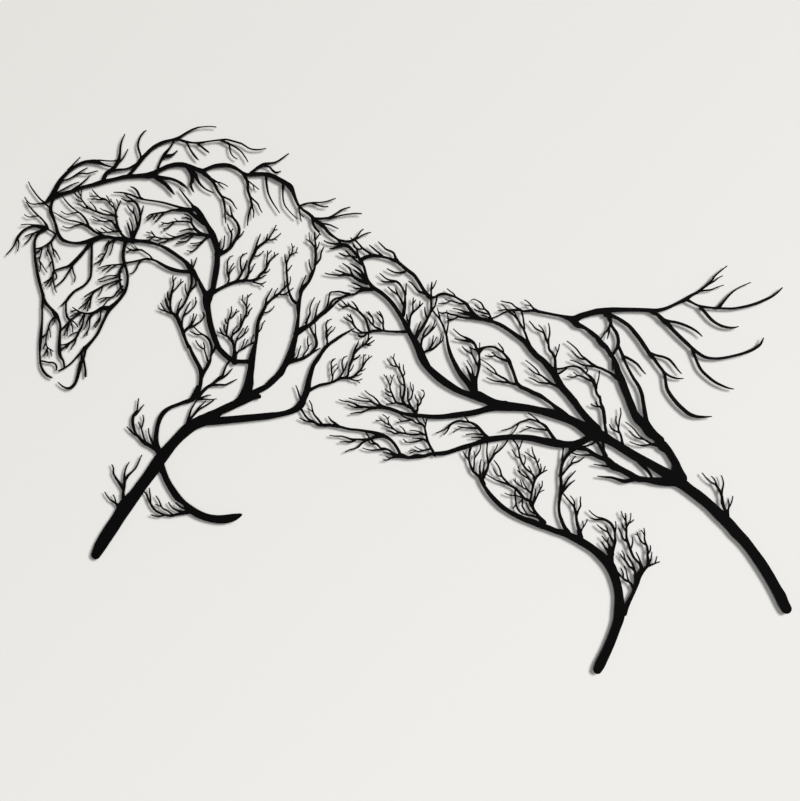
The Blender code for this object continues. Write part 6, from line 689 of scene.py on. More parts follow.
    ([(384, 360, 5), (393, 365, 4), (401, 368.5, 3.5), (409, 370, 3.2), (415, 371.5, 3), (421, 374.5, 3.5),
     (428, 377, 3.5), (436, 377, 3.2), (443, 379, 3.2), (447, 383, 3), (452, 388, 2.8), (455, 393, 2.6),
     (458, 398, 2.2), (462, 402, 1.6), (466, 405, 1)],
     [(462, 406)]),
    ([(414.5, 372, 2.4), (416, 378, 2.2), (414.5, 384, 2.2), (414.5, 390, 2.2), (414, 395, 2),
     (416.5, 401.5, 1.1)],
     [(421, 395), (419.5, 402), (423, 391)]),
    ([(422, 375, 2.6), (427, 381, 2.6), (429.5, 386, 2.5), (428, 392, 2.2), (428, 398, 2), (430.5, 404, 1.1)],
     [(434.5, 405)]),
    [(429, 384, 2.2), (432, 390, 2), (434.5, 398, 1.1)],
    [(430, 377, 3.4), (435, 380, 3), (436, 387, 2.6), (438.5, 395, 3.6), (440.8, 400, 3.7),
     (442, 404.6, 3.7), (443, 408.5, 3.5), (444, 412.3, 3), (445.5, 416.2, 2.6), (447.5, 420, 2.2),
     (448.9, 423.8, 1.2)],
    [(443.2, 408, 3.4), (447, 412.3, 3.2), (450, 415, 3), (453, 417.7, 3), (456.2, 419.3, 3),
     (458.5, 421.5, 2.6), (460.4, 424.6, 2.4), (461.2, 427.7, 2.2), (461.6, 430.8, 2), (461.8, 434, 2)],
    [(460.6, 424, 2.4), (463, 427, 2), (466.4, 429.6, 1.1)],
    [(453.3, 418.5, 2.4), (454.3, 421.5, 2), (455, 424.2, 1.1)],
    [(456.3, 419.2, 2.4), (459.3, 419.6, 2.2), (462.3, 420.8, 2), (465.4, 422.3, 1.8), (469, 425.2, 1.1)],
    [(459.3, 419.5, 2.2), (462.3, 418.5, 2.2), (464.7, 419, 1.3)],
    [(441, 400.3, 2.6), (444.6, 401.2, 2.4), (447.7, 403, 2.2), (451, 406.7, 1.1)],
    [(436, 384, 1.8), (440, 388, 1.6), (442.5, 394, 1)],
    ([(454, 391, 2.2), (454.5, 398, 1.8), (455.5, 407, 1)],
     [(458.5, 407)]),
    [(450, 386, 2), (454, 386.5, 1.6), (457.5, 389, 1)],
    [(444, 379.5, 2.2), (449, 380.5, 1.8), (453, 382.5, 1)],
    ([(437, 376.5, 2.2), (444, 374, 2), (449, 374, 1.6), (453.5, 376, 1)],
     [(450.5, 370.5)]),
    # Spray that reaches forward under the withers.
    [(514, 436.5, 5), (502, 435.8, 3.4), (495, 435.9, 3.2), (487, 436.3, 3), (479, 437.3, 3.2),
     (473, 437.4, 3.4), (468, 437, 3.4), (464, 436, 3.4), (460, 434.8, 2.8), (456, 434.6, 3),
     (452.5, 435.2, 2.8), (450, 436.8, 2.8), (447, 439.2, 2.6), (444.6, 441.6, 2.8), (442.7, 444.6, 3),
     (440.8, 447, 2.6), (438.5, 449.3, 2.2), (435.4, 450.8, 2.2), (432.4, 452.4, 1.9), (430, 453.9, 1.2)],
    [(442.5, 445.5, 2.6), (441.7, 448.5, 2.4), (440.8, 451.5, 2.2), (439.8, 454, 2), (438.6, 456.3, 1.8),
     (439, 458.5, 1.1)],
    [(440.3, 452, 2), (438, 454.8, 1.8), (436, 456.7, 1.6), (434.4, 458.2, 1)],
    [(455, 434.5, 2), (450, 434, 1.8), (446, 435, 1.5), (441, 436.5, 1)],
    [(462.5, 437, 3.5), (461, 441, 3.2), (460.2, 444.5, 3.2), (459.5, 448, 3.2), (457.8, 452, 3.2),
     (455.6, 454.8, 3.2), (453, 457.8, 3.2), (450, 460.9, 3.4), (447, 463.4, 3.2), (443, 465.6, 2.6),
     (439.3, 467.6, 2.6), (435.5, 468.9, 2.4), (433, 470, 2.2), (430.7, 472.3, 2), (428.4, 474.6, 1.8),
     (426.2, 476.3, 1.2)],
    [(436, 468.5, 2.4), (432, 467.8, 2.2), (428.8, 467.4, 2), (426.5, 468.3, 1.8), (424.5, 469.8, 1.6),
     (422.8, 470.8, 1.1)],
    [(430, 467.5, 1.8), (428, 465, 1.1)],
    [(438.5, 467.8, 2.2), (436.8, 470, 2), (435, 473.2, 1.1)],
    [(448.3, 463, 2.8), (447, 466.3, 2.6), (445, 469.3, 2.4), (442.6, 472.4, 2), (440, 474.7, 1.1)],
    [(477.5, 438.5, 2.8), (473.8, 440, 2.8), (470.8, 441.2, 2.6), (468.5, 443, 2.4), (467.3, 445.4, 2.4),
     (467.6, 448.5, 2.4), (467.2, 451.5, 2.4), (466.2, 454.6, 2.2), (464.2, 457.3, 2), (462.4, 460, 1.8),
     (461, 461.8, 1.1)],
    [(465.5, 454.5, 2.2), (463, 457, 1.9), (460.8, 459.2, 1.8), (458.4, 461.2, 1.1)],
    [(467.3, 444.2, 2.6), (464.6, 447, 2.4), (462.3, 450.4, 2), (460, 454, 1.1)],
    [(481.3, 437.8, 2.8), (480.4, 440.8, 2.6), (480, 444, 2.6), (480.4, 447, 2.4), (480, 450.8, 2.4),
     (479.2, 454.6, 2.2), (477.8, 457.6, 2), (476.2, 460.4, 1.8), (475, 462, 1.1)],
    [(479.5, 453.5, 2.2), (477, 456.2, 2), (474.2, 458.8, 1.8), (472, 461.2, 1.1)],
    [(480, 445.5, 2.4), (477.3, 448, 2.2), (475, 450.8, 2), (473, 453.2, 1.1)],
    [(459.5, 434, 2.4), (457.3, 431.5, 2.2), (455, 430, 2.2), (452.3, 428.9, 2), (450, 429.6, 1.8),
     (448, 430.3, 1.1)],
    [(454.5, 429.8, 1.8), (451.5, 430.2, 1.7), (449.3, 431.5, 1.5), (447.9, 432.8, 1)],
]

BACK = [
    [(452.5, 528, 5), (456.4, 530, 4.8), (460, 531.4, 4.4), (464.3, 532.5, 4.5), (468.6, 532.8, 4.6),
     (472.9, 532.5, 3.9), (477.1, 531.7, 3.6), (481.4, 530.7, 3.4), (485.7, 529.6, 3.3), (490, 528.3, 3.8),
     (494.3, 526.8, 4.4), (498.6, 524.6, 4.8), (502.1, 521.8, 4.4), (505.7, 518.6, 4.6),
     (511.6, 513.8, 4.7), (519.3, 507.9, 4.7), (525.3, 499.5, 4.6), (530.5, 491, 4.4), (535, 484.4, 5),
     (539.6, 480.2, 5.6), (545, 479.6, 3), (551, 483, 3.5), (558, 484, 3.8), (565, 482.5, 3.2),
     (572, 480, 3), (578, 476.5, 3), (585, 472, 4), (591, 464, 4.5), (597, 457, 4.5), (603, 453, 4.5),
     (612, 451, 5), (620, 448.5, 4.5), (630, 444.3, 5), (640, 438, 5), (650, 431, 5.5), (660, 424, 6.5),
     (668, 414, 7), (676, 405, 7), (684, 399, 7), (690, 392, 8), (697, 384, 9), (702, 375, 8.5),
     (708, 365, 8.5), (716, 356, 8.5), (724, 346, 9)],
    [(498.2, 525.7, 5), (496.1, 529.3, 4), (495, 532.9, 3.1), (493.6, 535.7, 3), (490.7, 537.9, 2.9),
     (487.1, 539.3, 2.7), (483.9, 540.7, 2.4), (480.7, 543.6, 2.2), (477.9, 546.4, 2), (473.9, 550.2, 1.3)],
    [(479.3, 531.8, 3.4), (475.7, 535.4, 2.8), (472.1, 538.2, 2.6), (468.6, 541.1, 2.4),
     (465.7, 543.6, 2.1), (462.5, 546.1, 1.3)],
    [(508.5, 512.7, 3), (503.8, 511.2, 2.8), (500, 510.8, 2.6), (495.4, 511.2, 2.4), (490.8, 513, 2),
     (485, 516.2, 1.2)],
    [(572, 480.5, 2), (570, 484, 1.8), (566, 487, 1.5), (561.5, 490.5, 1)],
    [(541.2, 480.8, 2.8), (541.2, 485.4, 2.6), (541.2, 490, 2.4), (541.7, 494.6, 2), (542, 499.3, 1.1)],
    [(541.3, 489.2, 2.2), (543.9, 492.3, 2), (545.5, 495, 1.8), (548, 501, 1.1)],
    ([(588, 471, 3), (580, 471.5, 2), (573, 473, 1.8), (566, 475, 2), (560, 472.5, 1.8), (550.5, 471.5, 1.2)],
     [(559, 477.5)]),
    [(597, 458, 4), (590, 460, 3), (583, 461.5, 2.5), (577, 464, 1.8), (569, 465.5, 1.2)],
    [(600, 455, 5), (592, 457, 4), (585, 458.5, 3), (575, 460.5, 1.5)],
    [(605, 452, 5), (595, 453, 3.5), (585, 453.5, 2.8), (577, 455, 3), (572, 457, 2.8), (566, 458, 2.5),
     (561, 460, 2.5), (555, 459.5, 2), (551, 460.5, 1.8)],
    ([(576, 455, 2.5), (571, 452.5, 2), (567, 450.5, 1.8), (562, 449.5, 1.8)],
     [(561.5, 453)]),
    [(541.2, 480, 3.2), (541.2, 474, 3), (541.2, 469, 3), (541.8, 464.6, 3.8), (540.2, 460, 3.2),
     (537.8, 455.4, 3.3), (535.8, 451, 3.4), (533.5, 446.8, 3.8), (530.5, 441.5, 4), (527.5, 437.5, 4.2),
     (524.5, 433, 5), (521.5, 428, 6)],
    [(549, 482, 2.5), (547.5, 474, 2.5), (545.5, 468, 2.4), (542, 463, 3)],
    [(537, 483, 4), (534.6, 483.8, 3.6), (530.8, 485.4, 3), (527, 486.6, 2.8), (523.8, 488.8, 2.6),
     (521.5, 491.5, 2.4), (519.2, 494.6, 2.2), (516.2, 497.7, 2), (512.3, 500.2, 1.2)],
    [(536.3, 453, 2.6), (534, 458.5, 2.2), (533.2, 463, 2), (533.1, 467.3, 1.1)],
    [(542, 464, 2.2), (547, 458, 2), (552, 452, 2.5), (556, 444.5, 2.8), (557.7, 440, 2.8),
     (559.3, 435.5, 2.8), (560.9, 430, 3), (561.6, 425, 3.3), (562.4, 420, 3.8)],
    [(553, 451, 2), (551, 459, 1.8), (549, 466, 1.2)],
    [(560.5, 432, 2.5), (562, 440, 2.2), (563, 448, 2), (562.5, 455, 1.6), (561, 463, 1.1)],
    [(522.3, 432.5, 3), (523.5, 437, 2.8), (524.8, 441, 2.4), (526.3, 444.8, 2), (528.2, 449.4, 1.1)],
    [(512.6, 441, 4), (513.2, 445.5, 3.8), (513.8, 449.8, 3.3), (514.4, 453.4, 3), (515.8, 457.3, 2.8),
     (518, 460.3, 2.8), (521, 463, 2.6), (524.2, 465.8, 2.4), (527.2, 468.6, 2.2), (531, 472.6, 1.2)],
    [(525.6, 467, 2.4), (526.7, 471, 2), (527, 475.2, 1.2)],
    [(516.8, 458.8, 2.6), (517.8, 462.5, 2.4), (518, 466.5, 2.3), (517.8, 470.5, 2.2), (518.2, 474.5, 2),
     (518.5, 479.2, 1.1)],
    [(518, 471.5, 2), (520, 474, 1.8), (521.6, 476.4, 1.1)],
    [(512.6, 447, 2.6), (511, 451, 2.4), (510.1, 454.8, 2), (510, 458.2, 1.1)],
    ([(530.8, 407, 4), (533, 410, 3), (536.2, 411.6, 3), (540, 412.4, 3.2), (543, 413.9, 3.2), (546, 416, 3),
     (551, 420.5, 2.4), (555, 424, 1.9), (557, 430.5, 1.1)],
     [(554, 433), (548, 429)]),
    [(537.8, 412, 2.6), (540, 416.2, 2.4), (542.3, 420, 2.2), (543.2, 424.6, 2), (544.1, 431, 1.1)],
    [(527.5, 414, 4.5), (528.6, 421, 3.2), (529.6, 426, 3), (531.5, 429, 3), (534.5, 431, 2.8),
     (537.5, 433.6, 2.6), (540.5, 436.6, 2.6), (543.2, 439, 2.2), (545.5, 441.5, 1.8), (548, 445.5, 1.1)],
    [(530.5, 430, 2.8), (532.4, 434.8, 2.6), (534.7, 438.6, 2.4), (537, 441.6, 2), (539, 444.4, 1.2)],
    [(539.3, 435.5, 2.4), (541.6, 439.3, 2.2), (543.9, 443, 2), (546, 451, 1.1)],
    [(505.5, 455.5, 4.5), (506.4, 460.5, 5), (507, 465.4, 4.8), (507.7, 470.8, 4.4), (508, 476, 3.2),
     (508, 481.5, 2.7), (507, 486.2, 2.6), (505, 490.8, 2.6), (502.7, 494.6, 2.9), (500, 497.7, 3.2),
     (497, 499.6, 3.2), (493, 500.5, 3.2), (489, 501.5, 2.2), (485.4, 502.7, 2.1), (482.3, 504.6, 2),
     (479.6, 507, 1.8), (475.8, 510.1, 1.2)],
    [(508.7, 482.5, 2.6), (509, 486.5, 2.4), (509.1, 490.3, 2.2), (509.3, 494, 1.8), (510.2, 497.3, 1.1)],
    [(494.5, 499.2, 2.8), (490.8, 499.4, 2.4), (486.2, 499.4, 2.2), (481.5, 499.4, 2), (477, 500.8, 1.2)],
    [(506, 470, 3.4), (503.8, 474.6, 2.8), (501.5, 478.5, 2.6), (499.2, 482.3, 2.6), (497, 484.2, 2.6),
     (493.8, 486.2, 2.2), (490.8, 488.5, 2), (488.5, 490.8, 1.8), (486, 493.3, 1.1)],
    [(498.8, 483, 2.6), (497.7, 486.2, 2.2), (496.5, 488.5, 2), (496, 491.5, 1.1)],
    # Twigs on the loin.
    ([(619, 449, 4), (616, 456, 2.8), (614, 460.5, 2.8), (609, 465, 2.5), (605, 472, 2.2), (600, 475.5, 1.6),
     (596, 477.5, 1)],
     [(592, 476)]),
    [(609, 464.5, 2), (604, 465, 1.8), (597, 470, 1)],
    [(614, 458, 2.5), (608, 460, 2.2), (602, 461.5, 1.8), (596, 465, 1)],
    [(616, 453, 2), (611, 455.5, 1.6), (605, 457, 1)],
    [(617, 452.5, 2), (625, 455.5, 2), (632, 459, 2), (638, 462, 2.5), (645, 463.5, 3), (652, 463.5, 3),
     (660, 462, 3), (670, 463, 3.5), (678, 461.5, 4), (688, 459.5, 3.5), (698, 457.5, 3.5), (708, 455.5, 4),
     (716, 453.5, 6), (722, 451, 9)],
    [(643, 463, 2.4), (639, 464, 2), (632, 463.5, 1.8), (626, 462.5, 1.2)],
    [(639, 463, 2), (635, 467, 1.8), (631, 471, 1.1)],
    [(655, 464, 3), (649, 467, 2.2), (643, 472, 2), (636, 473.5, 1.8), (630, 475, 1.2)],
    ([(676, 463, 3), (671, 466, 2.5), (668, 470, 1.8), (664, 474, 1.5), (660, 476.5, 1)],
     [(661, 470)]),
    [(640, 462, 3), (648, 455, 2.2), (652, 450, 2.5), (655, 445, 3), (658, 440, 2.5), (661, 434, 3),
     (663, 428, 3), (667, 418, 4)],
    [(646, 462, 2.4), (650, 455, 2), (653, 448, 2)],
    [(656, 462, 2.4), (658, 455, 2.2), (659, 448, 2.4), (660, 439, 2.5)],
    [(699, 383, 6), (699, 393, 4), (698.5, 402, 3.6), (696, 408, 3.5), (692, 412, 3), (690.5, 419, 3),
     (690.5, 426, 2.5), (692, 433, 2.2), (692, 439, 1.8), (690.5, 446.5, 1.2)],
    [(690, 421, 3), (687, 428, 3), (684.5, 434, 2.5), (680, 437, 2), (674, 440, 2), (670, 445, 1.8),
     (666, 449.5, 1.2)],
    [(685.5, 432, 2.2), (683, 439, 1.8), (678, 444.5, 1.2)],
    ([(699, 402, 2.5), (701, 408, 2), (703, 413, 1.8), (704.5, 420, 1.1)],
     [(699.5, 416)]),
]

TAIL = [
    [(708, 455.5, 4), (716, 453.5, 6), (723, 452, 9), (732, 456, 8), (742, 459, 7.5), (752, 461.5, 8),
     (762, 462.5, 8), (772, 463.8, 6.5), (785, 464, 5.5), (800, 464, 5), (815, 463.5, 5), (828, 463, 5),
     (838, 465, 4.5), (848, 469, 4), (856, 473, 4), (865, 477, 5.5), (872, 482, 4), (880, 486, 3.5),
     (886, 490.5, 3), (893, 496, 3.2), (898, 501, 3), (902, 506.5, 2.2), (908, 512, 2), (917.5, 519.5, 1.2)],
    [(894, 496.5, 2.8), (901, 500, 2), (906, 504, 1.6), (912, 507, 1)],
    [(882, 487.5, 3), (890, 488.5, 2.2), (898, 489.5, 2), (905, 492.5, 1.6), (913, 495, 1)],
    [(865, 477.5, 5), (874, 472.5, 3), (880, 469.5, 3), (888, 467.5, 3.5), (896, 466.5, 3), (905, 466, 3),
     (915, 465.5, 3), (925, 465.5, 3), (938, 467.5, 3.2), (952, 471, 3.5), (965, 476, 3.5), (976, 481.5, 3),
     (983, 487, 2.5), (988, 492, 1.2)],
    [(907, 466.5, 4.5), (914, 475, 3), (921, 483, 2.5), (928, 489, 2), (937, 494, 1.6), (947.5, 498.5, 1)],
    [(883, 468, 4), (890, 460, 4), (897, 452, 4), (905, 446, 3.5), (913, 442.5, 3.5), (921, 441, 3),
     (926, 441, 2.5), (932, 442.5, 1)],
    [(819, 463, 5), (829, 457.5, 5), (836, 451, 6), (842, 446, 6), (848, 439, 5), (856, 431, 5),
     (865, 422.5, 5), (873, 415, 4.5), (881, 408.5, 4.5), (890, 403.5, 4), (900, 401.8, 3.5),
     (912, 402.5, 3.3), (925, 405, 3.3), (940, 409, 3.5), (952, 414, 3.8), (960, 420, 3.2), (964, 428, 1.2)],
    [(834, 452, 5), (843, 449.5, 3.5), (852, 448, 3.5), (862, 445, 3.5), (872, 440.5, 3.2),
     (880, 435.5, 2.5), (886, 430, 1.2)],
    [(873, 414, 4), (877, 404, 3.5), (880, 396, 3.8), (885, 387, 3.8), (893, 379, 3.8), (902, 372, 3.5),
     (912, 367, 3), (920, 364, 2.2), (926, 363, 1)],
    [(764, 458, 7), (775, 454.5, 5), (784, 449.5, 5), (793, 443, 5), (800, 435, 5.5), (807, 426, 5.5),
     (813, 417, 5.5), (819, 408, 5), (825, 401, 4.5), (831, 392.5, 4), (836, 386, 4), (838.5, 380, 4),
     (839.5, 372, 4), (841, 364, 4.5), (846, 355, 4.8), (853, 346, 5), (861, 338, 5), (870, 331, 5),
     (879, 328, 4), (888, 327.5, 3), (898, 328, 1)],
    [(819, 409, 4), (827, 406, 3.2), (836, 404, 3.2), (844, 400.5, 3.2), (850, 394, 3), (855, 387.5, 2),
     (859.5, 382.5, 1)],
    [(835, 387, 3.4), (842, 381, 3), (848, 378, 2.8), (855, 376.3, 2.2), (862, 376.3, 1)],
]

HIP = [
    [(767, 460, 7), (769, 450, 5), (770, 445, 4), (773, 440, 4), (777, 434, 4.5), (779, 427, 4.5),
     (779, 419, 4.5), (776, 412, 3.5), (771, 406, 4.5)],
    [(769, 446, 3), (766, 438, 2.6), (762, 434, 2), (757, 427, 2)],
    [(768, 442, 3), (767, 434, 2.2), (765.5, 427, 1.3)],
    [(779, 418, 4.5), (782, 412, 4), (785, 405, 4.5), (788, 397, 3.5), (793, 387, 3.5), (799, 376, 4),
     (805, 367, 4.5), (809, 357, 5), (811, 346, 5), (813, 335, 5), (815, 322, 6)],
    [(785, 405, 4), (792, 402, 3.5), (798, 398.5, 3.5), (804, 394, 3), (809, 387.5, 2.5), (814, 382, 1.2)],
    [(722, 452, 8), (726.6, 445.5, 7.8), (735.9, 441.2, 4.8), (745.1, 434.5, 5.7), (752.8, 427.9, 6),
     (757.6, 421.6, 7), (763.9, 415.8, 6.3), (768.2, 409.1, 5.6), (773, 402, 5.7), (776.5, 394.1, 6.7),
     (779, 385, 8), (783.6, 374.2, 9.4), (787.6, 363.2, 9.4), (792, 352.4, 8.8), (796.4, 341.1, 9.5),
     (801.1, 331.1, 8.5), (809.2, 320.8, 12)],
    [(773, 402, 5), (772.5, 394, 2.5), (772.5, 387, 1.5)],
    # Sprays that reach forward from the hip and thigh.
    [(782, 375, 6), (778, 377, 5), (773, 381, 3.5), (766, 385, 3.5), (758, 389, 3.5), (750, 391.5, 3),
     (742, 392.5, 2.8), (734, 393.5, 2.5), (727, 397, 1.8), (718, 400, 1.1)],
    [(752, 391, 3.5), (744, 396, 3.4), (738, 401, 3.2), (733, 405, 2.4), (726, 414, 2), (720, 419.5, 1.7),
     (714, 424, 1.1)],
    [(738, 400.5, 2.4), (731, 402, 2.2), (726, 405.5, 1.8), (720, 411.5, 1.1)],
    [(708, 363, 5), (699, 368, 3.5), (692, 370, 3), (685, 370.5, 2.5), (678, 371.5, 2.2), (672, 375, 1.8),
     (665.5, 377.5, 1.1)],
    [(695, 369.5, 3.2), (688, 375, 3), (683, 379, 2.5), (679, 382, 2.2), (676, 387, 2), (671, 392, 1.8),
     (661.5, 399.5, 1.1)],
    [(681, 380, 2.2), (674, 383, 1.8), (665.5, 389.5, 1.1)],
    [(653, 368.5, 5), (645, 370, 3.2), (637, 371.5, 3), (630, 372.5, 2.5), (623, 373, 2.2), (617, 375, 1.8),
     (611.5, 377.5, 1.1)],
    [(641, 371, 3.2), (635, 376, 3), (629, 379, 2.8), (625, 382, 2.2), (622, 387, 2), (617, 392, 1.8),
     (605, 400.5, 1.1)],
    [(627, 380, 2.2), (620, 384, 1.8), (612, 390, 1.1)],
    [(701, 388.5, 3), (709, 389.5, 2.2), (716, 391.5, 2.5), (723, 392, 2.8), (729, 390.5, 3), (735, 386, 3),
     (739, 382, 3), (744, 378, 4), (748, 372, 5), (750, 365, 3.5), (752, 357, 3.5), (756, 351, 3.5),
     (757, 345, 3.5), (760, 339, 3.5), (762, 330, 3), (763, 319, 3)],
    [(702, 382, 3), (708, 385, 2.5), (714, 390, 2.5)],
    [(738, 383, 2), (740, 387, 2), (738, 391, 2)],
    ([(746, 373, 3.5), (738, 376.5, 2.5), (733, 379, 2.2), (728, 380, 2.2), (722, 378, 2), (714, 379, 1.2)],
     [(722.5, 384.5)]),
    [(751.5, 363, 2.6), (752, 368, 2), (754, 375, 1.8), (755.5, 386, 1)],
    ([(758, 341, 2.6), (750, 341, 2), (745, 343.5, 1.1)],
     [(751, 345)]),
    # Flank limb.
    [(601.8, 408, 3), (604.6, 411.4, 3.2), (606.6, 413.4, 2.5), (609.3, 415.6, 2.4), (612.1, 416.6, 2.7),
     (615.7, 416.9, 2.9), (619.3, 416.7, 3), (622.9, 415.6, 3.1), (626.4, 413.6, 3.2), (629.6, 411.5, 3.2),
     (632.3, 409.4, 3.2), (634.6, 407, 3.2), (637.1, 404, 3.7), (640.3, 398.6, 5.2), (642.5, 392.8, 4.6),
     (646, 384, 4), (648.5, 376.2, 4.1), (650.8, 369.8, 5), (655.8, 365.5, 5.2), (663.6, 362.2, 5.2),
     (671.6, 358, 5.6), (679.3, 354.7, 5.8), (687.5, 349.3, 4.6), (696.5, 342.5, 4.6), (704, 335.5, 8),
     (712.4, 328.5, 8.8)],
    [(599, 414.6, 2.4), (602.9, 414.5, 1.8), (605.7, 415.6, 2), (608.6, 416.3, 2.2), (613, 416.7, 2.4)],
    [(642, 397, 4.6), (638.5, 398.8, 4), (635.7, 399.7, 3.4), (632.1, 400.7, 3), (628.6, 401.9, 2.6),
     (625.7, 403.6, 2.4), (623.6, 404.8, 2.3), (620.7, 404.9, 1.9), (617.9, 404.3, 2), (614.3, 404.4, 1.6),
     (609.8, 405.5, 1.1)],
    [(624, 404.5, 2.2), (622.1, 406.8, 2), (620.4, 408.6, 1.7), (618.4, 409.6, 1.1)],
    [(632.9, 409, 3), (632.9, 412.1, 2.3), (632.1, 414.6, 2.1), (630.4, 416.8, 2), (628.6, 418.9, 1.7),
     (626.5, 421.5, 1.1)],
]

FORELEG = [
    [(250, 322.7, 15.6), (240, 318, 14), (230, 311, 14.5), (220.3, 301.7, 13), (211.2, 291.8, 13),
     (203, 282, 15), (194.7, 271.2, 15.5), (188, 261, 15.5), (180.3, 250.2, 14.6), (172.3, 239.7, 14.5),
     (165.2, 229.5, 15.2), (153, 214.7, 18.5), (144, 200, 16.5), (134.2, 185.1, 17), (125.3, 171.4, 16.3),
     (119, 160.5, 14.7), (114.8, 152.4, 12)],
    [(195, 283, 9), (192, 292, 7), (191.2, 300, 6.4), (192.2, 310, 5.6), (194.2, 319.7, 5.6),
     (198.3, 329.3, 6), (204, 336, 5.6), (210.4, 340, 4.5), (220.4, 343.8, 4.4), (228.3, 346.9, 4.8),
     (235.6, 349, 6), (241, 356, 7), (245, 365, 6.5)],
    [(193, 285, 6), (184, 290, 4), (177, 294, 4.5), (171, 300, 4), (166, 306, 3), (163, 313, 4),
     (161.5, 321, 4), (163, 330, 3.5), (167, 336, 2.2), (168, 343, 2), (169, 351, 1.2)],
    [(163.5, 329, 3), (168, 333, 2.5), (171, 337, 2), (175.5, 343, 1.2)],
    [(170, 301.5, 3), (163, 306, 2.5), (158, 310.5, 2), (154, 315, 1.3)],
    [(185, 291, 3), (178, 296, 2.5), (175.5, 302, 2.5), (174, 308, 2.2), (172, 314, 2), (168.5, 321, 1.2)],
    [(172.5, 312, 2), (174.5, 319, 2), (175.5, 325, 1.8), (174.5, 330, 1)],
    [(189, 290, 3), (185, 298, 2.5), (182.5, 305, 2), (181.5, 313, 1.2)],
    [(151.5, 217, 7), (149.5, 230, 4), (151, 239, 3.5), (151.5, 246, 4), (155, 252, 3.5), (160, 257, 2.5),
     (165, 262, 2.2), (169, 270, 2), (173, 279, 1.3)],
    [(151, 243, 3), (151, 254, 2.5), (152.5, 261, 2), (157, 270, 1.2)],
    [(150, 234, 3.5), (145, 243, 3.5), (140, 250, 3), (137, 256, 2.5), (137, 262, 2), (135, 267, 1.2)],
    [(145, 210, 5), (139.5, 218, 3), (133, 222, 2), (129, 227, 1.8), (126, 232, 1)],
    [(140, 217, 2.2), (139.5, 222, 1.8), (136.5, 228.5, 1.2)],
    [(195, 270, 12), (201.6, 255.2, 8), (206, 245, 8), (212, 235, 8.5), (219, 225, 9), (227, 218, 6.6),
     (234, 211, 9.5), (243, 205, 10), (254.8, 200, 9.6), (268, 197.4, 10.4), (280, 197.6, 11),
     (290, 199.7, 9.6), (299.3, 203, 4)],
    [(234, 208, 8), (225, 205, 4.5), (218, 203.5, 3.5), (211, 202, 3.5), (204, 202.5, 2.5), (197, 205, 3),
     (190, 209, 3), (185, 216, 3), (181.5, 223, 2.5), (179, 229, 2), (175, 233.5, 1.8)],
    [(184, 217, 2.5), (184, 226, 2), (183, 232, 1.8), (182.5, 237, 1.2)],
    [(202, 202.5, 2.2), (195, 201, 2.2), (190, 201.5, 1.8), (184.5, 203, 1.2)],
    ([(213, 202.5, 2.5), (206, 208, 2.2), (199, 212, 2.2), (197, 216, 2), (195, 221, 1.8), (191, 227, 1.2)],
     [(190.5, 216)]),
    [(226, 206, 3.5), (218, 208.5, 2.5), (212, 212, 2.2), (207, 219, 1.3)],
    [(231, 210, 3), (222, 213, 2), (216, 218, 1.3)],
]

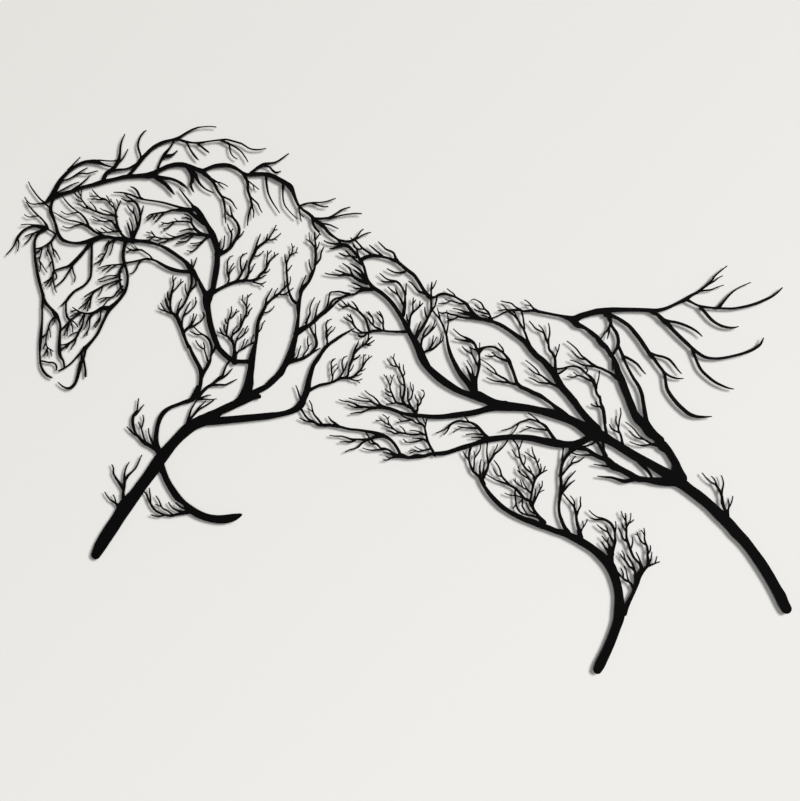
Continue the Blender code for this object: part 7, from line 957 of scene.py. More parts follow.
CHEST = [
    [(233.2, 418, 4), (234.6, 415, 4.2), (236.6, 410, 4.3), (239, 405, 4.7), (241.8, 400, 4.9),
     (244.5, 395, 4.9), (247, 390, 5.2), (248.4, 385, 5.4), (248.6, 380, 5.2), (248.2, 372, 5),
     (245.8, 361.3, 5), (242.5, 353.6, 4.8), (235.5, 349, 5.6), (228.4, 346.4, 5)],
    [(267, 418, 3.5), (265.3, 413.5, 2.4), (264.2, 411, 2.5), (262.3, 408.5, 3.4), (260.9, 405, 3),
     (260.6, 401.5, 3), (259.6, 398, 4), (257.9, 395, 4.9), (256.1, 391, 4.7), (253.6, 387, 4.7),
     (250.8, 382, 5), (249.5, 378, 4.6)],
    [(258, 396, 3), (256.6, 399.8, 2.4), (255.3, 403.6, 2), (254.4, 407.1, 1.9), (253.6, 410, 2),
     (252.7, 413.3, 2.1), (250, 415, 2), (247.1, 416.8, 2), (245, 418.9, 1.9), (243.2, 421.8, 1.7),
     (241.6, 424.9, 1.1)],
    [(252.7, 413.5, 2), (253, 417.1, 1.8), (252, 420.4, 1.5), (251.3, 422.5, 1)],
    [(264.8, 430.4, 7.4), (268.6, 420.3, 7.1), (271, 415.3, 6.8), (275.4, 410.1, 6.8), (280.5, 405.3, 6.8),
     (285, 401.6, 6.4), (290, 398.9, 6), (296, 398.1, 5.4), (303, 398, 5.3), (311, 398, 6)],
    [(328, 463, 4), (324.4, 456, 5.2), (321.5, 449, 4.5), (320, 441, 4.5), (319.4, 432.8, 4.8),
     (318.6, 424.8, 4), (315.5, 412, 6.8), (313, 400.2, 9), (312.3, 390, 8.6), (310.6, 380, 9.6),
     (309.5, 370, 12), (306.5, 360, 13), (301.6, 350.6, 13.5)],
    # Four-twig bough on the upper arm.
    [(327, 462, 4), (331, 470, 4), (331.5, 477, 2.5), (334, 482, 2), (339, 491, 1.2)],
    ([(330.5, 469, 4), (337, 476, 3), (343, 481, 3.5), (348, 484.5, 3), (353, 490, 2.5), (359, 495.5, 2)],
     [(355, 500)]),
    ([(349, 483, 2.5), (356, 484, 2), (360, 487, 1.8), (366, 491.5, 1)],
     [(359.5, 481.5)]),
    [(341, 480, 2.2), (343, 486, 1.6), (346.5, 491.5, 1)],
    [(328, 460, 2.2), (334, 461, 1.8), (338, 463.5, 1.5), (341.5, 468.5, 1)],
    [(320, 434, 2.2), (325, 440, 1.8), (327, 446, 1.5), (330, 450, 1)],
    # Bush on the chest.
    [(291, 397, 7), (291, 405, 5.7), (291.2, 410, 4.6), (290.7, 415, 3.8), (289.8, 420, 3.6),
     (287, 424.6, 3.4), (283.5, 428.3, 3), (281.2, 431.6, 2.8), (280.9, 434.5, 3), (281.4, 438, 2.8),
     (281.9, 441.5, 2.7), (282.5, 445, 2.3), (283.2, 450, 2.2), (285, 455, 2.3), (287, 461, 2),
     (287, 468, 1.2)],
    ([(283, 452, 2.2), (289, 455, 2), (292, 459, 1.6), (297, 462.5, 1)],
     [(294, 464.5)]),
    [(282, 446, 2), (279.5, 448.5, 1.8), (279, 452.5, 1)],
    [(280.8, 433, 2.4), (279.2, 436, 2), (278, 439, 2), (277.6, 442, 1.7), (277.6, 444.4, 1.1)],
    [(282, 429.5, 2.4), (278.9, 431.3, 2), (276.1, 432.7, 2.2), (274, 433.7, 2), (271.6, 434.5, 1.5),
     (269.7, 435.7, 1.1)],
    [(275, 433.2, 2), (273.8, 436.4, 1.8), (272.8, 438.8, 1.4), (272.1, 440.8, 1)],
    ([(289.5, 420.5, 3.4), (288, 425, 3.3), (287.3, 428.5, 3), (288.2, 431.3, 2.9), (290.7, 433.8, 2.6),
     (293, 435.6, 2.6), (295.4, 437.3, 2.8), (297.2, 439.4, 3.1), (298.9, 442, 3.1), (300, 444.8, 3),
     (301.3, 448, 2.8), (303, 452, 2.8), (306, 460, 2.5), (306, 468, 2.2), (303, 473, 2), (299.5, 477, 1.2)],
     [(301.5, 482.5)]),
    ([(306, 468, 2.2), (307, 475, 1.8), (308, 483, 1.1)],
     [(313, 484.5)]),
    [(305.5, 461, 1.8), (308, 467, 1.6), (310.5, 471.5, 1)],
    [(303.5, 453, 2.2), (308, 457, 2), (310, 462, 1.8), (313.5, 466.5, 1)],
    [(298, 440, 2.5), (299, 448, 2), (299, 458.5, 1.1)],
    [(288, 431, 2.2), (288.6, 434.6, 1.9), (289.7, 437.2, 1.8), (291.4, 439.6, 1.7), (292.9, 441.6, 1.5),
     (294.2, 443.6, 1)],
    [(291.5, 414, 3), (292.5, 421.4, 2.4), (293.6, 425, 2.4), (295.4, 426.9, 2.2), (298, 428, 2),
     (300.2, 429.5, 2), (302.2, 431.4, 2.1), (303.6, 433.2, 2.1), (304.3, 435.7, 1.7), (305, 438.2, 1.6),
     (306.3, 440.7, 1.5), (308, 443.3, 1)],
    [(303.4, 432.8, 1.8), (305.7, 434.4, 1.5), (307.5, 436.5, 1.3), (308.8, 439.8, 1)],
    [(293.8, 426.5, 2), (295, 429.2, 1.7), (297, 432, 1.5), (299, 435.3, 1.4), (300.9, 438.2, 1.3),
     (302.3, 440.4, 1)],
    [(292.5, 403, 4), (293.3, 407, 3.2), (294.8, 409.4, 2.6), (296.6, 411.4, 2.4), (298.6, 412.9, 2.3),
     (300.7, 413.7, 2.2), (302.9, 414.4, 2.1), (305, 415.8, 2), (307.1, 417.7, 2), (309.3, 419.3, 2),
     (311.4, 420.6, 2.4), (316, 422.2, 2.8)],
    [(299.4, 413.2, 2), (300.6, 416.8, 1.6), (301.9, 419.5, 1.6), (302.5, 422.5, 1.4), (303.3, 424.8, 1.2),
     (304.8, 427, 1)],
    [(302, 414.2, 1.8), (304.2, 417.6, 1.3), (305.7, 420.2, 1.3), (306.5, 422.8, 1.2), (308, 425.6, 1)],
    [(312, 421, 2), (312.5, 426, 1.5), (315.5, 432, 1)],
    # Small tree in the crook of the elbow.
    [(244, 351, 5), (250, 359, 4.2), (256, 365, 4), (263, 369.2, 3.8), (266.3, 371.9, 3.8),
     (270, 375.2, 4.6), (273.6, 377.9, 4.4), (276, 380.4, 3.3), (276.9, 383, 2.9), (277.9, 386, 2.7),
     (279.1, 389.3, 2.5), (280.7, 392.9, 2.4), (283.2, 396.8, 2.3), (285, 399.5, 2.5)],
    [(271, 375, 3), (275.5, 377.2, 3), (278.5, 378.9, 2.6), (281.2, 381, 2.4), (283.9, 383.7, 2.1),
     (286, 386.4, 1.9), (288.4, 389.1, 1.2)],
    [(264, 368, 3.5), (272, 368.5, 2.8), (280, 368.5, 2.5), (287, 372, 2), (294, 375.3, 1.1)],
    [(247, 351, 3), (253, 353.5, 2.2), (257, 355, 1.8), (261, 355, 1)],
    [(245, 350, 3.2), (252, 350, 2.2), (260, 349.5, 1.8), (268, 350.5, 1)],
    [(231, 317, 6), (236, 326, 3.2), (241, 332, 3), (246, 337, 2.5), (252, 340.5, 2.2), (260, 345.5, 2),
     (265, 349.5, 1.6)],
    [(242, 334, 2.5), (246, 339.5, 2), (250, 343.5, 1.6), (254.5, 348, 1)],
    [(231.5, 319, 5), (233.5, 329, 3), (236, 337, 2.4), (240, 344, 1.9), (243.5, 350, 1.8)],
    # Forearm: two limbs that part behind the raised foreleg.
    [(240, 318, 13), (252, 323.3, 15), (262, 327.2, 16.5), (272, 334.5, 10.5), (281.7, 339.1, 10.8),
     (291.8, 343.8, 10.3), (302.2, 349.5, 12.5), (313, 353.5, 10), (322, 353.5, 6)],
    [(250, 322.8, 13), (262, 321.5, 9), (275, 323, 9.8), (290, 324.4, 9.2), (305, 325.8, 9.3),
     (320, 327.3, 8.8), (335, 328.9, 8.6), (350, 331.2, 6.8), (360.3, 333.8, 7.1), (368.8, 337.4, 8.4),
     (375.6, 343.6, 10), (379.5, 351.7, 8), (383.5, 362.2, 8.5)],
    [(307, 355, 10), (316, 358.5, 8), (324, 362.3, 7.6), (332, 366.5, 7.2), (339, 373, 8.5),
     (345, 378.5, 8), (350.5, 384.7, 8.8), (354.2, 391.7, 7.5), (358.2, 398.4, 8.7), (362.6, 406.2, 10.5),
     (364.6, 416.1, 7), (367.6, 427, 6.2)],
    [(376, 349, 3), (374, 353, 2.5), (372, 360, 2), (369, 367.5, 1.1)],
]

BELLY = [
    [(374, 340, 5), (378, 334, 2.8), (381, 329, 2.8), (386, 324, 3), (392, 321, 3.5), (398, 317.5, 4),
     (405, 317, 4.5), (413, 317, 4), (420, 316, 4), (427, 314.5, 3.5), (437, 312, 3.3), (448, 311, 3.3),
     (458, 309.5, 3.6), (468, 307.5, 4.5), (476, 305, 6), (483, 302.5, 5), (490, 298, 4), (496, 291, 4),
     (500, 284, 4), (503, 277, 5)],
    [(393, 321, 3), (386, 321.5, 2.4), (380, 323, 2), (374, 326, 1.2)],
    ([(402, 318.5, 3.5), (397, 325, 2.8), (392, 331, 2.4), (390, 337, 2), (389, 343, 1.8), (386, 348.5, 1.2)],
     [(384, 338)]),
    [(425, 315, 3), (418, 320, 3.2), (414, 323, 2.5), (410.5, 328, 1.2)],
    [(457, 309.5, 2), (460, 305, 2), (463, 300, 2.5)],
    [(479, 304, 6), (470, 302, 4.5), (463, 299.5, 4), (455, 298.5, 3.2), (448, 299, 2.6), (440, 299, 3),
     (434, 301, 2.4), (427, 303, 2), (420, 303, 1.8), (412, 304, 1.1)],
    [(445, 298, 2.5), (438, 295.5, 2.2), (432, 296, 1.8), (425, 295.5, 1.1)],
    [(462, 299, 3), (453, 294, 2.8), (448, 289, 2.5), (443, 287, 2), (437, 285.5, 1.8), (431.5, 282.5, 1.2)],
    [(464, 300, 3), (468, 295, 3), (473, 292, 3), (477, 288, 2.5), (483, 287, 3), (488, 285, 3),
     (493, 281, 3.5), (501, 277.5, 5)],
    [(461, 298, 2), (465, 293.5, 2), (470, 293, 2.4)],
    [(484, 286.5, 3), (477, 286, 2.5), (471, 285.5, 2.2), (465, 285, 2), (460, 286, 1.6), (454, 288, 1.1)],
    [(497, 279, 4), (490, 280, 2.8), (486, 281.5, 2), (480, 282, 1.1)],
    ([(499, 277.5, 4), (491, 275.5, 2.4), (486, 273, 1.8), (480.5, 272.5, 1)],
     [(484, 277)]),
    # Belly limb.
    [(424, 349.5, 1.1), (430, 347.5, 1.7), (437.1, 346.5, 2), (444.3, 343.7, 2.5), (450, 340.6, 4),
     (458, 340.1, 3.2), (466, 338.9, 4), (475, 339.5, 3.8), (484, 339, 4.5), (492.1, 336.8, 4.8),
     (500, 333.7, 4.5), (510, 331, 4.5), (519.8, 329.2, 6), (530, 329, 5), (540, 327.8, 5.7),
     (550, 327.6, 6.1), (560, 328.2, 6.4), (570, 329.5, 7.4), (580.1, 330.8, 7.4), (590.1, 332.1, 7.4),
     (600.2, 334, 7.7), (612, 337.5, 8), (622, 340.5, 11), (635, 341.7, 13.2)],
    [(453, 340, 2.6), (446, 339.5, 2.2), (440, 341, 1.8), (434.5, 343, 1.1)],
    [(468, 338.5, 2.6), (460, 336.5, 2.4), (453, 333.5, 2.4), (446, 333, 2), (438.5, 331.5, 1.1)],
    [(483, 340, 3), (477, 343, 2.8), (473, 348, 2.4), (468, 353, 2), (462, 356.5, 1.8), (457, 361, 1)],
    [(478, 340.5, 3), (470, 344, 3), (464, 347, 2.4), (457, 347.5, 1.8), (450, 348, 1.7), (443, 349.5, 1.6),
     (436.5, 351.5, 1)],
    [(467, 346, 2.2), (462, 350, 1.6), (455, 351.5, 1.5), (448.5, 354, 1)],
    # Bushes that stand on the belly limb.
    [(521, 332, 6), (524, 338, 3), (524, 343, 2.6), (524.5, 347, 2), (522.5, 350, 1.8), (520.5, 356, 1)],
    ([(524.5, 341, 2.4), (528, 346, 2.4), (529, 350, 2.2), (531.5, 353.5, 2.2), (532.5, 357, 1.6),
     (531, 361.5, 1)],
     [(528.5, 362), (525, 356)]),
    [(521, 333, 5), (515, 341, 4), (513, 346, 3), (511.5, 351, 2.8), (511.5, 357, 2.4), (511.5, 364, 1.2)],
    [(513, 348, 2.2), (516, 352, 2.2), (517.5, 358, 2.2), (518.5, 363, 1.6), (518, 369, 1)],
    [(517.5, 359, 1.8), (515.5, 365, 1.6), (514.5, 371.5, 1)],
    ([(517, 338.5, 4.5), (512, 341, 4.5), (507, 344, 4), (504.5, 349, 3.5), (506.5, 356, 3.4),
     (507.5, 364, 3.2), (507, 371, 3), (505.5, 378, 2.8), (503, 384, 2.6), (499.5, 390, 2.4),
     (496, 395, 2.4), (494, 400, 2), (490.5, 404, 1.1)],
     [(494.5, 407.5)]),
    ([(498, 391.5, 2), (492, 393, 1.8), (488, 397, 1.5), (485, 401.5, 1)],
     [(487.5, 393.5)]),
    [(505, 379, 2.4), (507.5, 383, 2), (506, 388, 1.8), (506, 394, 1.1)],
    [(501.5, 386, 2), (501, 390, 1.8), (500.5, 396, 1.1)],
    [(507, 367, 2.2), (502, 371, 2), (499.5, 375, 1.8), (498, 379.5, 1)],
    [(504.5, 350, 2.4), (502, 355, 2.2), (502, 361, 1.8), (501.5, 368, 1)],
    ([(510, 342.5, 4), (504, 344, 3.5), (497, 346, 3), (494, 351, 3), (491.5, 357, 2.6), (489, 363, 2.4),
     (488.5, 368, 2), (486, 374, 1.8), (481, 381.5, 1)],
     [(485, 380)]),
    ([(488.5, 366, 2), (490.5, 372, 1.8), (491.5, 376, 1.5), (494, 381, 1)],
     [(489, 380.5)]),
    [(491, 358, 2.2), (486, 360, 2), (482.5, 363.5, 1.1)],
    [(493, 353, 2), (487, 355, 1.7), (482.5, 358.5, 1)],
    ([(499, 345.5, 2.4), (490, 344.5, 1.8), (484, 343.5, 1.1)],
     [(482.5, 351.5)]),
    # Spray that hangs between the belly limb and the lower belly limb.
    [(546, 279, 5), (541, 288, 3.5), (537, 296, 3.5), (535, 304, 3.2), (533.5, 311, 3), (532, 316, 2.8),
     (528, 319, 2.8), (524, 323, 2.2), (520, 329, 2)],
    [(533, 312, 2.4), (534.5, 319, 2), (536, 327, 1.8)],
    [(534, 318, 2), (532, 323, 1.6), (530, 328, 1.6)],
    [(530, 318, 2.8), (522, 320, 2.2), (517, 324, 2.2), (511, 325.5, 2.2), (506, 328, 2), (501, 332, 2)],
    ([(518, 323.5, 2.2), (512, 323, 2), (506, 322, 1.8), (497.5, 320.5, 1.1)],
     [(500, 324.5)]),
    ([(535, 304, 3), (528, 306, 2.8), (522, 305, 2.6), (515, 305, 2.6), (508, 306.5, 2.6), (500, 308, 2.8),
     (495, 311, 2.4), (490, 316, 2.2), (487, 320, 2), (486, 325, 1.7), (479.5, 330.5, 1)],
     [(488, 328)]),
    ([(489, 316.5, 2.2), (483, 320, 2), (480, 322, 1.7), (475.5, 326, 1)],
     [(471, 322.5)]),
    [(495, 311, 2), (488, 314, 1.8), (482, 316, 1.1)],
    [(502, 307.5, 2.4), (495, 306.5, 2.2), (489, 309, 1.8), (484, 309.5, 1.1)],
    [(508.5, 307, 2), (506, 312, 1.8), (501, 316, 1.1)],
    [(531, 306, 2.4), (525, 309, 2), (520, 310, 1.6), (514, 310.5, 1.1)],
    [(538, 294, 3.5), (532, 299, 2.8), (526, 300, 2.2), (517, 300.5, 1.2)],
    ([(532, 299, 2.4), (525, 297, 2.2), (519, 295.5, 2), (507.5, 295.5, 1.1)],
     [(505.5, 299.5)]),
    ([(542, 287, 3), (536, 286, 2.5), (530, 284.5, 2.2), (525, 283.5, 2), (519, 285.5, 1.5), (513, 284, 1)],
     [(520, 290), (514, 281)]),
    # Lower belly limb.
    [(497, 277.5, 5), (503, 278.3, 6.4), (512, 276, 4.1), (522, 277.5, 6), (532, 277.8, 4.6),
     (542, 280.5, 4.5), (552, 280.9, 5.6), (562, 282.3, 5.7), (572.1, 285.6, 5.7), (582.2, 288.9, 6.4),
     (592.2, 291.9, 5.8), (602.4, 295, 6.2), (612, 298.3, 7.8), (624, 300.2, 7.4), (640, 301.8, 7.1),
     (655, 301.7, 7.2), (670.1, 300.1, 8.5), (685.1, 296.8, 9.2), (700.2, 294.1, 10.6), (712, 292.4, 9),
     (726, 293.5, 8)],
    [(614, 300, 6), (608, 306, 4.5), (603, 312, 4.5), (598, 317, 4), (591, 320.5, 3), (584, 321.5, 3),
     (577, 322.5, 3), (570, 320.5, 3), (565, 317, 3), (560, 312.5, 2), (554, 309.5, 1.8), (547.5, 307, 1)],
    [(566, 318, 2.5), (563, 312, 2), (560, 307.5, 1.8), (557, 304.5, 1)],
    [(589, 321, 2.5), (586.5, 325, 2), (581, 330, 1.8)],
    ([(602, 313, 3.5), (594, 313.5, 2.6), (588, 313.5, 2.2), (582, 314, 2), (575, 315.5, 1.1)],
     [(569, 307.5)]),
    [(608, 305, 3), (601, 305.5, 2.2), (594, 306, 1.8), (585.5, 305, 1.1)],
    [(612, 301, 4), (603, 301.5, 2.2), (592.5, 301, 1.2)],
    [(700.2, 296, 5.6), (695.2, 303, 4.6), (690.8, 309.7, 4.1), (686.3, 315.8, 4), (680, 320, 3),
     (674, 322.5, 2.6), (667, 324.5, 2.6), (660, 322.5, 2.6), (654, 320.5, 2.4), (648, 316.5, 1.8),
     (642, 313, 1.7), (636, 311.5, 1.5), (630.5, 310, 1)],
    [(653, 320, 2.2), (650, 314, 1.8), (646, 308, 1.6), (640, 303, 1.6)],
    [(679, 321, 2.5), (675, 325, 2), (669, 329.5, 1.5), (665, 332.5, 1.1)],
    ([(690, 310.5, 3.2), (684, 311.5, 2.5), (676, 312, 2.2), (670, 313.5, 2), (662, 315.5, 1.1)],
     [(654, 308)]),
    # Bush that hangs under the lower belly limb.
    [(609, 241, 5), (605, 249, 4), (600, 253.5, 3.6), (595, 258, 3.6), (592, 264, 3), (589.5, 272, 2.8),
     (589.5, 280, 3), (592, 290, 3.5)],
    [(589, 272.5, 2.4), (585, 278, 2), (581.5, 284, 1.1)],
    ([(595, 258, 3), (596, 268, 2.2), (596.5, 275, 2), (600, 280, 2), (603, 285, 1.8), (604.5, 292, 1.4)],
     [(595.5, 284)]),
    [(606, 248, 5), (610, 256, 4.5), (613, 262, 3.5), (614, 269, 3), (612.5, 277, 2.4), (612, 284, 2),
     (613, 295, 1.8)],
    [(614.7, 269.6, 3.4), (618.8, 275.4, 3.2), (622, 280.2, 2.8), (627.5, 284.4, 2.4), (632.5, 289.3, 2.2),
     (638.4, 297.3, 2)],
    [(620.2, 279, 2), (621.4, 284, 1.8), (624.2, 288, 1.6), (625.9, 292.8, 1.1)],
    [(604, 253, 3), (603, 262, 2.4), (603.5, 268, 2), (605, 273.5, 1)],
    [(607, 254, 3), (608, 263, 1.8), (609, 269.5, 1)],
    [(603.8, 248.5, 3.7), (608.5, 239.8, 4.5), (615.4, 229.8, 5.5), (622.7, 221.6, 6), (630.8, 213.9, 6.3),
     (640.6, 207, 6), (650.3, 201.7, 6.4), (659.9, 197.3, 6.8), (669.8, 193.8, 7.6), (681.6, 188.8, 7.4)],
]

FLANK = [
    # Limb from the shoulder's crest down to the flank.
    [(526, 412.8, 9.8), (529, 402.7, 8.3), (534.2, 394.1, 8), (540.8, 387, 8.4), (549.8, 378.8, 9.5),
     (557.4, 372.8, 9.6), (566.3, 366.8, 9), (573, 362.8, 8.3), (580, 359.3, 7.5), (587, 356.8, 7.9),
     (593, 355.2, 9.5), (600, 354.4, 13), (606, 352, 12.4), (612, 349.3, 11), (622, 344, 12.5),
     (635, 341.4, 12.6), (650, 340.2, 10.6), (665, 338.6, 9.4), (680, 335.5, 9.5), (692.1, 332.6, 11),
     (703.1, 329.2, 11.4), (714.1, 325.5, 11.2), (723, 321.6, 9.5)],
    [(561, 430, 3), (561.6, 425, 3.3), (562.4, 420, 3.8), (563.5, 415, 4.3), (564.9, 410, 4.9),
     (566.8, 405, 5), (569, 400, 5.3), (571.5, 395, 5.7), (574.1, 390, 6.1), (577, 385, 6.4),
     (580.5, 380, 6.9), (584.6, 375, 7.1), (589, 370, 7.4), (593, 364, 8), (598, 357, 9)],
    # Bush on the flank limb.
    [(597, 356, 9), (597.3, 368, 6.2), (598.2, 375, 4.4), (599.7, 380, 3.6), (601, 385, 3.5),
     (601.8, 390, 4.3), (602.4, 395, 4.3), (602.8, 400, 3.2), (602.4, 405, 2.8), (601.6, 408.5, 3),
     (600.3, 411.5, 2.8), (598.9, 415, 3.1), (597.6, 418.2, 3.5), (595.6, 421.2, 4.1), (592.4, 423.7, 4.8),
     (588.8, 426, 4.4), (585.5, 428.1, 3.3), (582.9, 429.3, 2.5), (580, 430.7, 2), (577.1, 432.5, 1.8),
     (574.3, 435, 1.7), (571.4, 437.5, 1.4), (569.4, 439.5, 1)],
    [(593, 423, 3.5), (589.5, 423.6, 3.4), (586.5, 424.2, 3), (583.5, 424.8, 2.6), (580.5, 425.1, 2.2),
     (577.5, 425.2, 1.9), (575, 425.9, 1.9), (572.9, 426.6, 1.6), (571.2, 427.3, 1)],
    [(599.5, 411.5, 2.4), (597, 413.5, 2), (594.3, 414.1, 1.9), (592.1, 415, 1.6), (590.2, 416.4, 1)],
    [(601, 392, 3), (598.7, 396.3, 2.6), (596.8, 400, 2.4), (595, 403.6, 2.2), (593.2, 407, 2.3),
     (590.7, 408.9, 2.2), (587.9, 410.4, 2), (585.4, 412.1, 2), (583.2, 414.3, 1.8), (580.6, 417.3, 1.1)],
    [(593.2, 407.5, 1.8), (592.3, 411.1, 1.6), (591.2, 414.2, 1.4), (590, 416.6, 1)],
    [(602.6, 407, 3), (602.9, 411, 2), (602.9, 415, 1.5), (603, 421.8, 1.2)],
    [(597, 366, 7), (594.5, 374, 6), (592, 379.5, 5), (590.2, 382.5, 3.6), (588.9, 385, 3),
     (587.7, 388, 2.4), (586.4, 391, 1.7), (585.7, 392.2, 1)],
    [(597, 375, 5), (594.8, 380, 3.4), (593.9, 383, 2.6), (593.6, 385.7, 2.2), (592.9, 389.2, 2),
     (591.1, 392.5, 1.8), (589.3, 395.4, 1.6), (587.5, 398.2, 1.3), (586.5, 399.6, 1)],
]

STIFLE = [
    # Bush that stands on the near hind leg's limb, under the belly.
    ([(684, 193, 8), (677, 202, 4.5), (672, 209, 4), (670, 214, 4), (673, 221, 2.8), (677, 229, 2.4),
     (679, 234, 2.2), (682, 239, 1.8), (682.5, 246, 1.1)],
     [(685, 234.5), (679, 242)]),
    [(670, 212, 3.6), (667.4, 219, 3), (668.8, 228, 3), (670.1, 236, 3.3), (671.6, 243, 3.4),
     (674.4, 249.6, 3.2), (678.8, 254.3, 2.8), (684, 257.6, 2.1), (689, 259.9, 1.1)],
    [(684, 257.5, 1.8), (685, 261, 1.6), (686.4, 264.8, 1.1)],
    [(677.8, 253.3, 3), (679.2, 257.5, 2.4), (678.4, 262, 2.2), (676.7, 267, 2.1), (675, 272, 2.2),
     (673.2, 276.5, 2.2), (671.1, 281, 1.8), (670.1, 285, 1.6), (669.3, 289.4, 1.1)],
    [(679.4, 257, 2), (681.2, 260.5, 1.8), (680.9, 264, 1.5), (680.2, 267.8, 1.1)],
    [(676.2, 268.8, 1.8), (678, 271.4, 1.6), (678.6, 274.5, 1.1)],
    [(675, 273, 2), (670, 276.5, 1.8), (660.5, 283, 1.1)],
    [(672.5, 248, 3), (671, 253.3, 3), (667.2, 257.2, 2.8), (661.5, 261.9, 2.8), (657.2, 268.3, 2.6),
     (654.5, 275, 2.5), (653, 282, 2.4), (652.2, 287.5, 2.3), (650.6, 291.5, 2), (648.3, 295, 1.9),
     (645.8, 298.5, 1.8), (644.8, 301.5, 1.8)],
    [(655, 274, 2), (650, 277.5, 1.8), (644, 286, 1.1)],
    [(653, 286, 1.8), (655.5, 292.5, 1.7), (657.7, 299.5, 1.7)],
    [(659, 266.3, 1.9), (660.7, 271, 1.7), (660.9, 275, 1.4), (660.3, 278.5, 1)],
    [(669.2, 257, 1.8), (667.2, 261, 1.5), (665, 265, 1)],
    [(670.8, 238, 3), (669.6, 243, 2.8), (667, 247.3, 2.5), (662.8, 250.4, 2.3), (658, 253.4, 2.1),
     (654.4, 255.8, 1.7), (651, 259.6, 1.1)],
    [(656, 254.6, 1.7), (653.3, 259.3, 1.5), (652, 264.5, 1)],
    [(665.5, 250, 2), (662.4, 254, 1.8), (660, 257, 1.6), (657.6, 260.5, 1)],
    ([(669.5, 228.5, 2.8), (666, 232.7, 2.4), (661, 235.8, 2), (655, 239.5, 2), (650, 243, 1.8),
     (645.5, 248, 1.1)],
     [(648, 249.5)]),
    [(664.2, 234.6, 2.2), (661.6, 238.5, 2), (659.5, 242, 1.8), (656.8, 247.6, 1)],
    [(657.8, 237.8, 1.8), (656.2, 242, 1.5), (654.6, 247.5, 1)],
    [(671, 216, 4), (666, 221, 4), (660, 223.5, 4), (656, 228, 4), (652, 233, 4), (647, 237.5, 3.4),
     (640, 241, 3), (634, 243.5, 2.6), (626, 246, 2.2), (620, 249, 1.8), (611.5, 254.5, 1.2)],
    [(641.5, 240.5, 3.4), (635.7, 246.7, 3.1), (630.8, 252.8, 2.7), (629.3, 259, 2.4), (625.9, 266, 2),
     (621, 272.5, 1.2)],
    [(631, 252, 2.1), (626, 253.1, 1.9), (622.5, 257.2, 1.7), (619.8, 262.5, 1.1)],
    [(661, 223.6, 2.5), (655, 225.4, 2.1), (649.5, 227.4, 1.8), (643, 227.7, 1.7), (635, 230.5, 1.1)],
    ([(648.5, 237, 2.2), (648, 229, 2), (649, 220, 2.6), (650, 213, 2.6), (653, 208, 2.4), (658, 204.5, 2.4),
     (664, 202.5, 2.4), (671, 201.5, 2.8), (680, 198, 4)],
     [(645.5, 211)]),
    ([(657, 226, 2.2), (657.5, 219, 2), (657, 214, 2), (660, 209, 2), (664, 202.5, 2)],
     [(653, 217.5)]),
    [(673, 204, 2.8), (667.5, 208, 2.2), (662, 218, 1)],
    [(671, 220, 2.4), (673.5, 228, 1.8), (673.5, 236, 1.1)],
    # Front of the stifle.
    [(715, 181, 7), (711, 187, 5.2), (707.5, 195, 4.8), (704.5, 204, 4), (703.7, 215, 3.8), (705, 225, 4.3),
     (706.8, 233, 5), (706.5, 242, 4.2), (706, 252, 4.2), (706.6, 262, 4), (708.4, 268.6, 4),
     (712.7, 276.3, 4), (717.7, 282.2, 4.5), (724, 287.6, 6)],
    [(708, 266, 3), (708, 274, 2.4), (708.7, 281, 2), (709.5, 290, 1.8)],
    [(707, 253, 3.4), (712.2, 259.3, 2.6), (717.5, 265.2, 2.4), (721.3, 268.7, 2.4), (728, 270.5, 2.2),
     (733, 274, 1.7), (736, 276.5, 1.1)],
    [(719, 268, 2.2), (721, 273, 1.8), (725, 277.5, 1.1)],
    [(708, 235.6, 4), (712.4, 243.7, 3), (716.3, 249.7, 2.4), (720.2, 253.8, 2), (725, 259, 1.1)],
    [(708, 232.2, 4), (711.6, 235.8, 3.2), (715, 239.6, 2.6), (719, 243.2, 2.1), (724, 247, 1.1)],
    # Bush inside the stifle, whose longest twig closes the loop.
    [(731, 174, 8), (730, 181, 5.5), (727.5, 190, 4.2), (726, 198, 3.6), (725.5, 205, 3.6), (723, 213, 3),
     (718, 219.5, 2.2), (713.5, 224.5, 2), (708.5, 231, 2)],
    [(723, 213, 2.4), (723.5, 218.5, 2), (718.5, 227, 1.1)],
    [(726.5, 203, 3), (729, 210, 2.4), (731.3, 214.5, 2.2), (731, 220, 1.8), (731.5, 226, 1.1)],
    ([(731, 179, 4), (733, 185, 2.2), (736, 189, 1.7), (740, 197, 1.1)],
     [(734, 195)]),
]

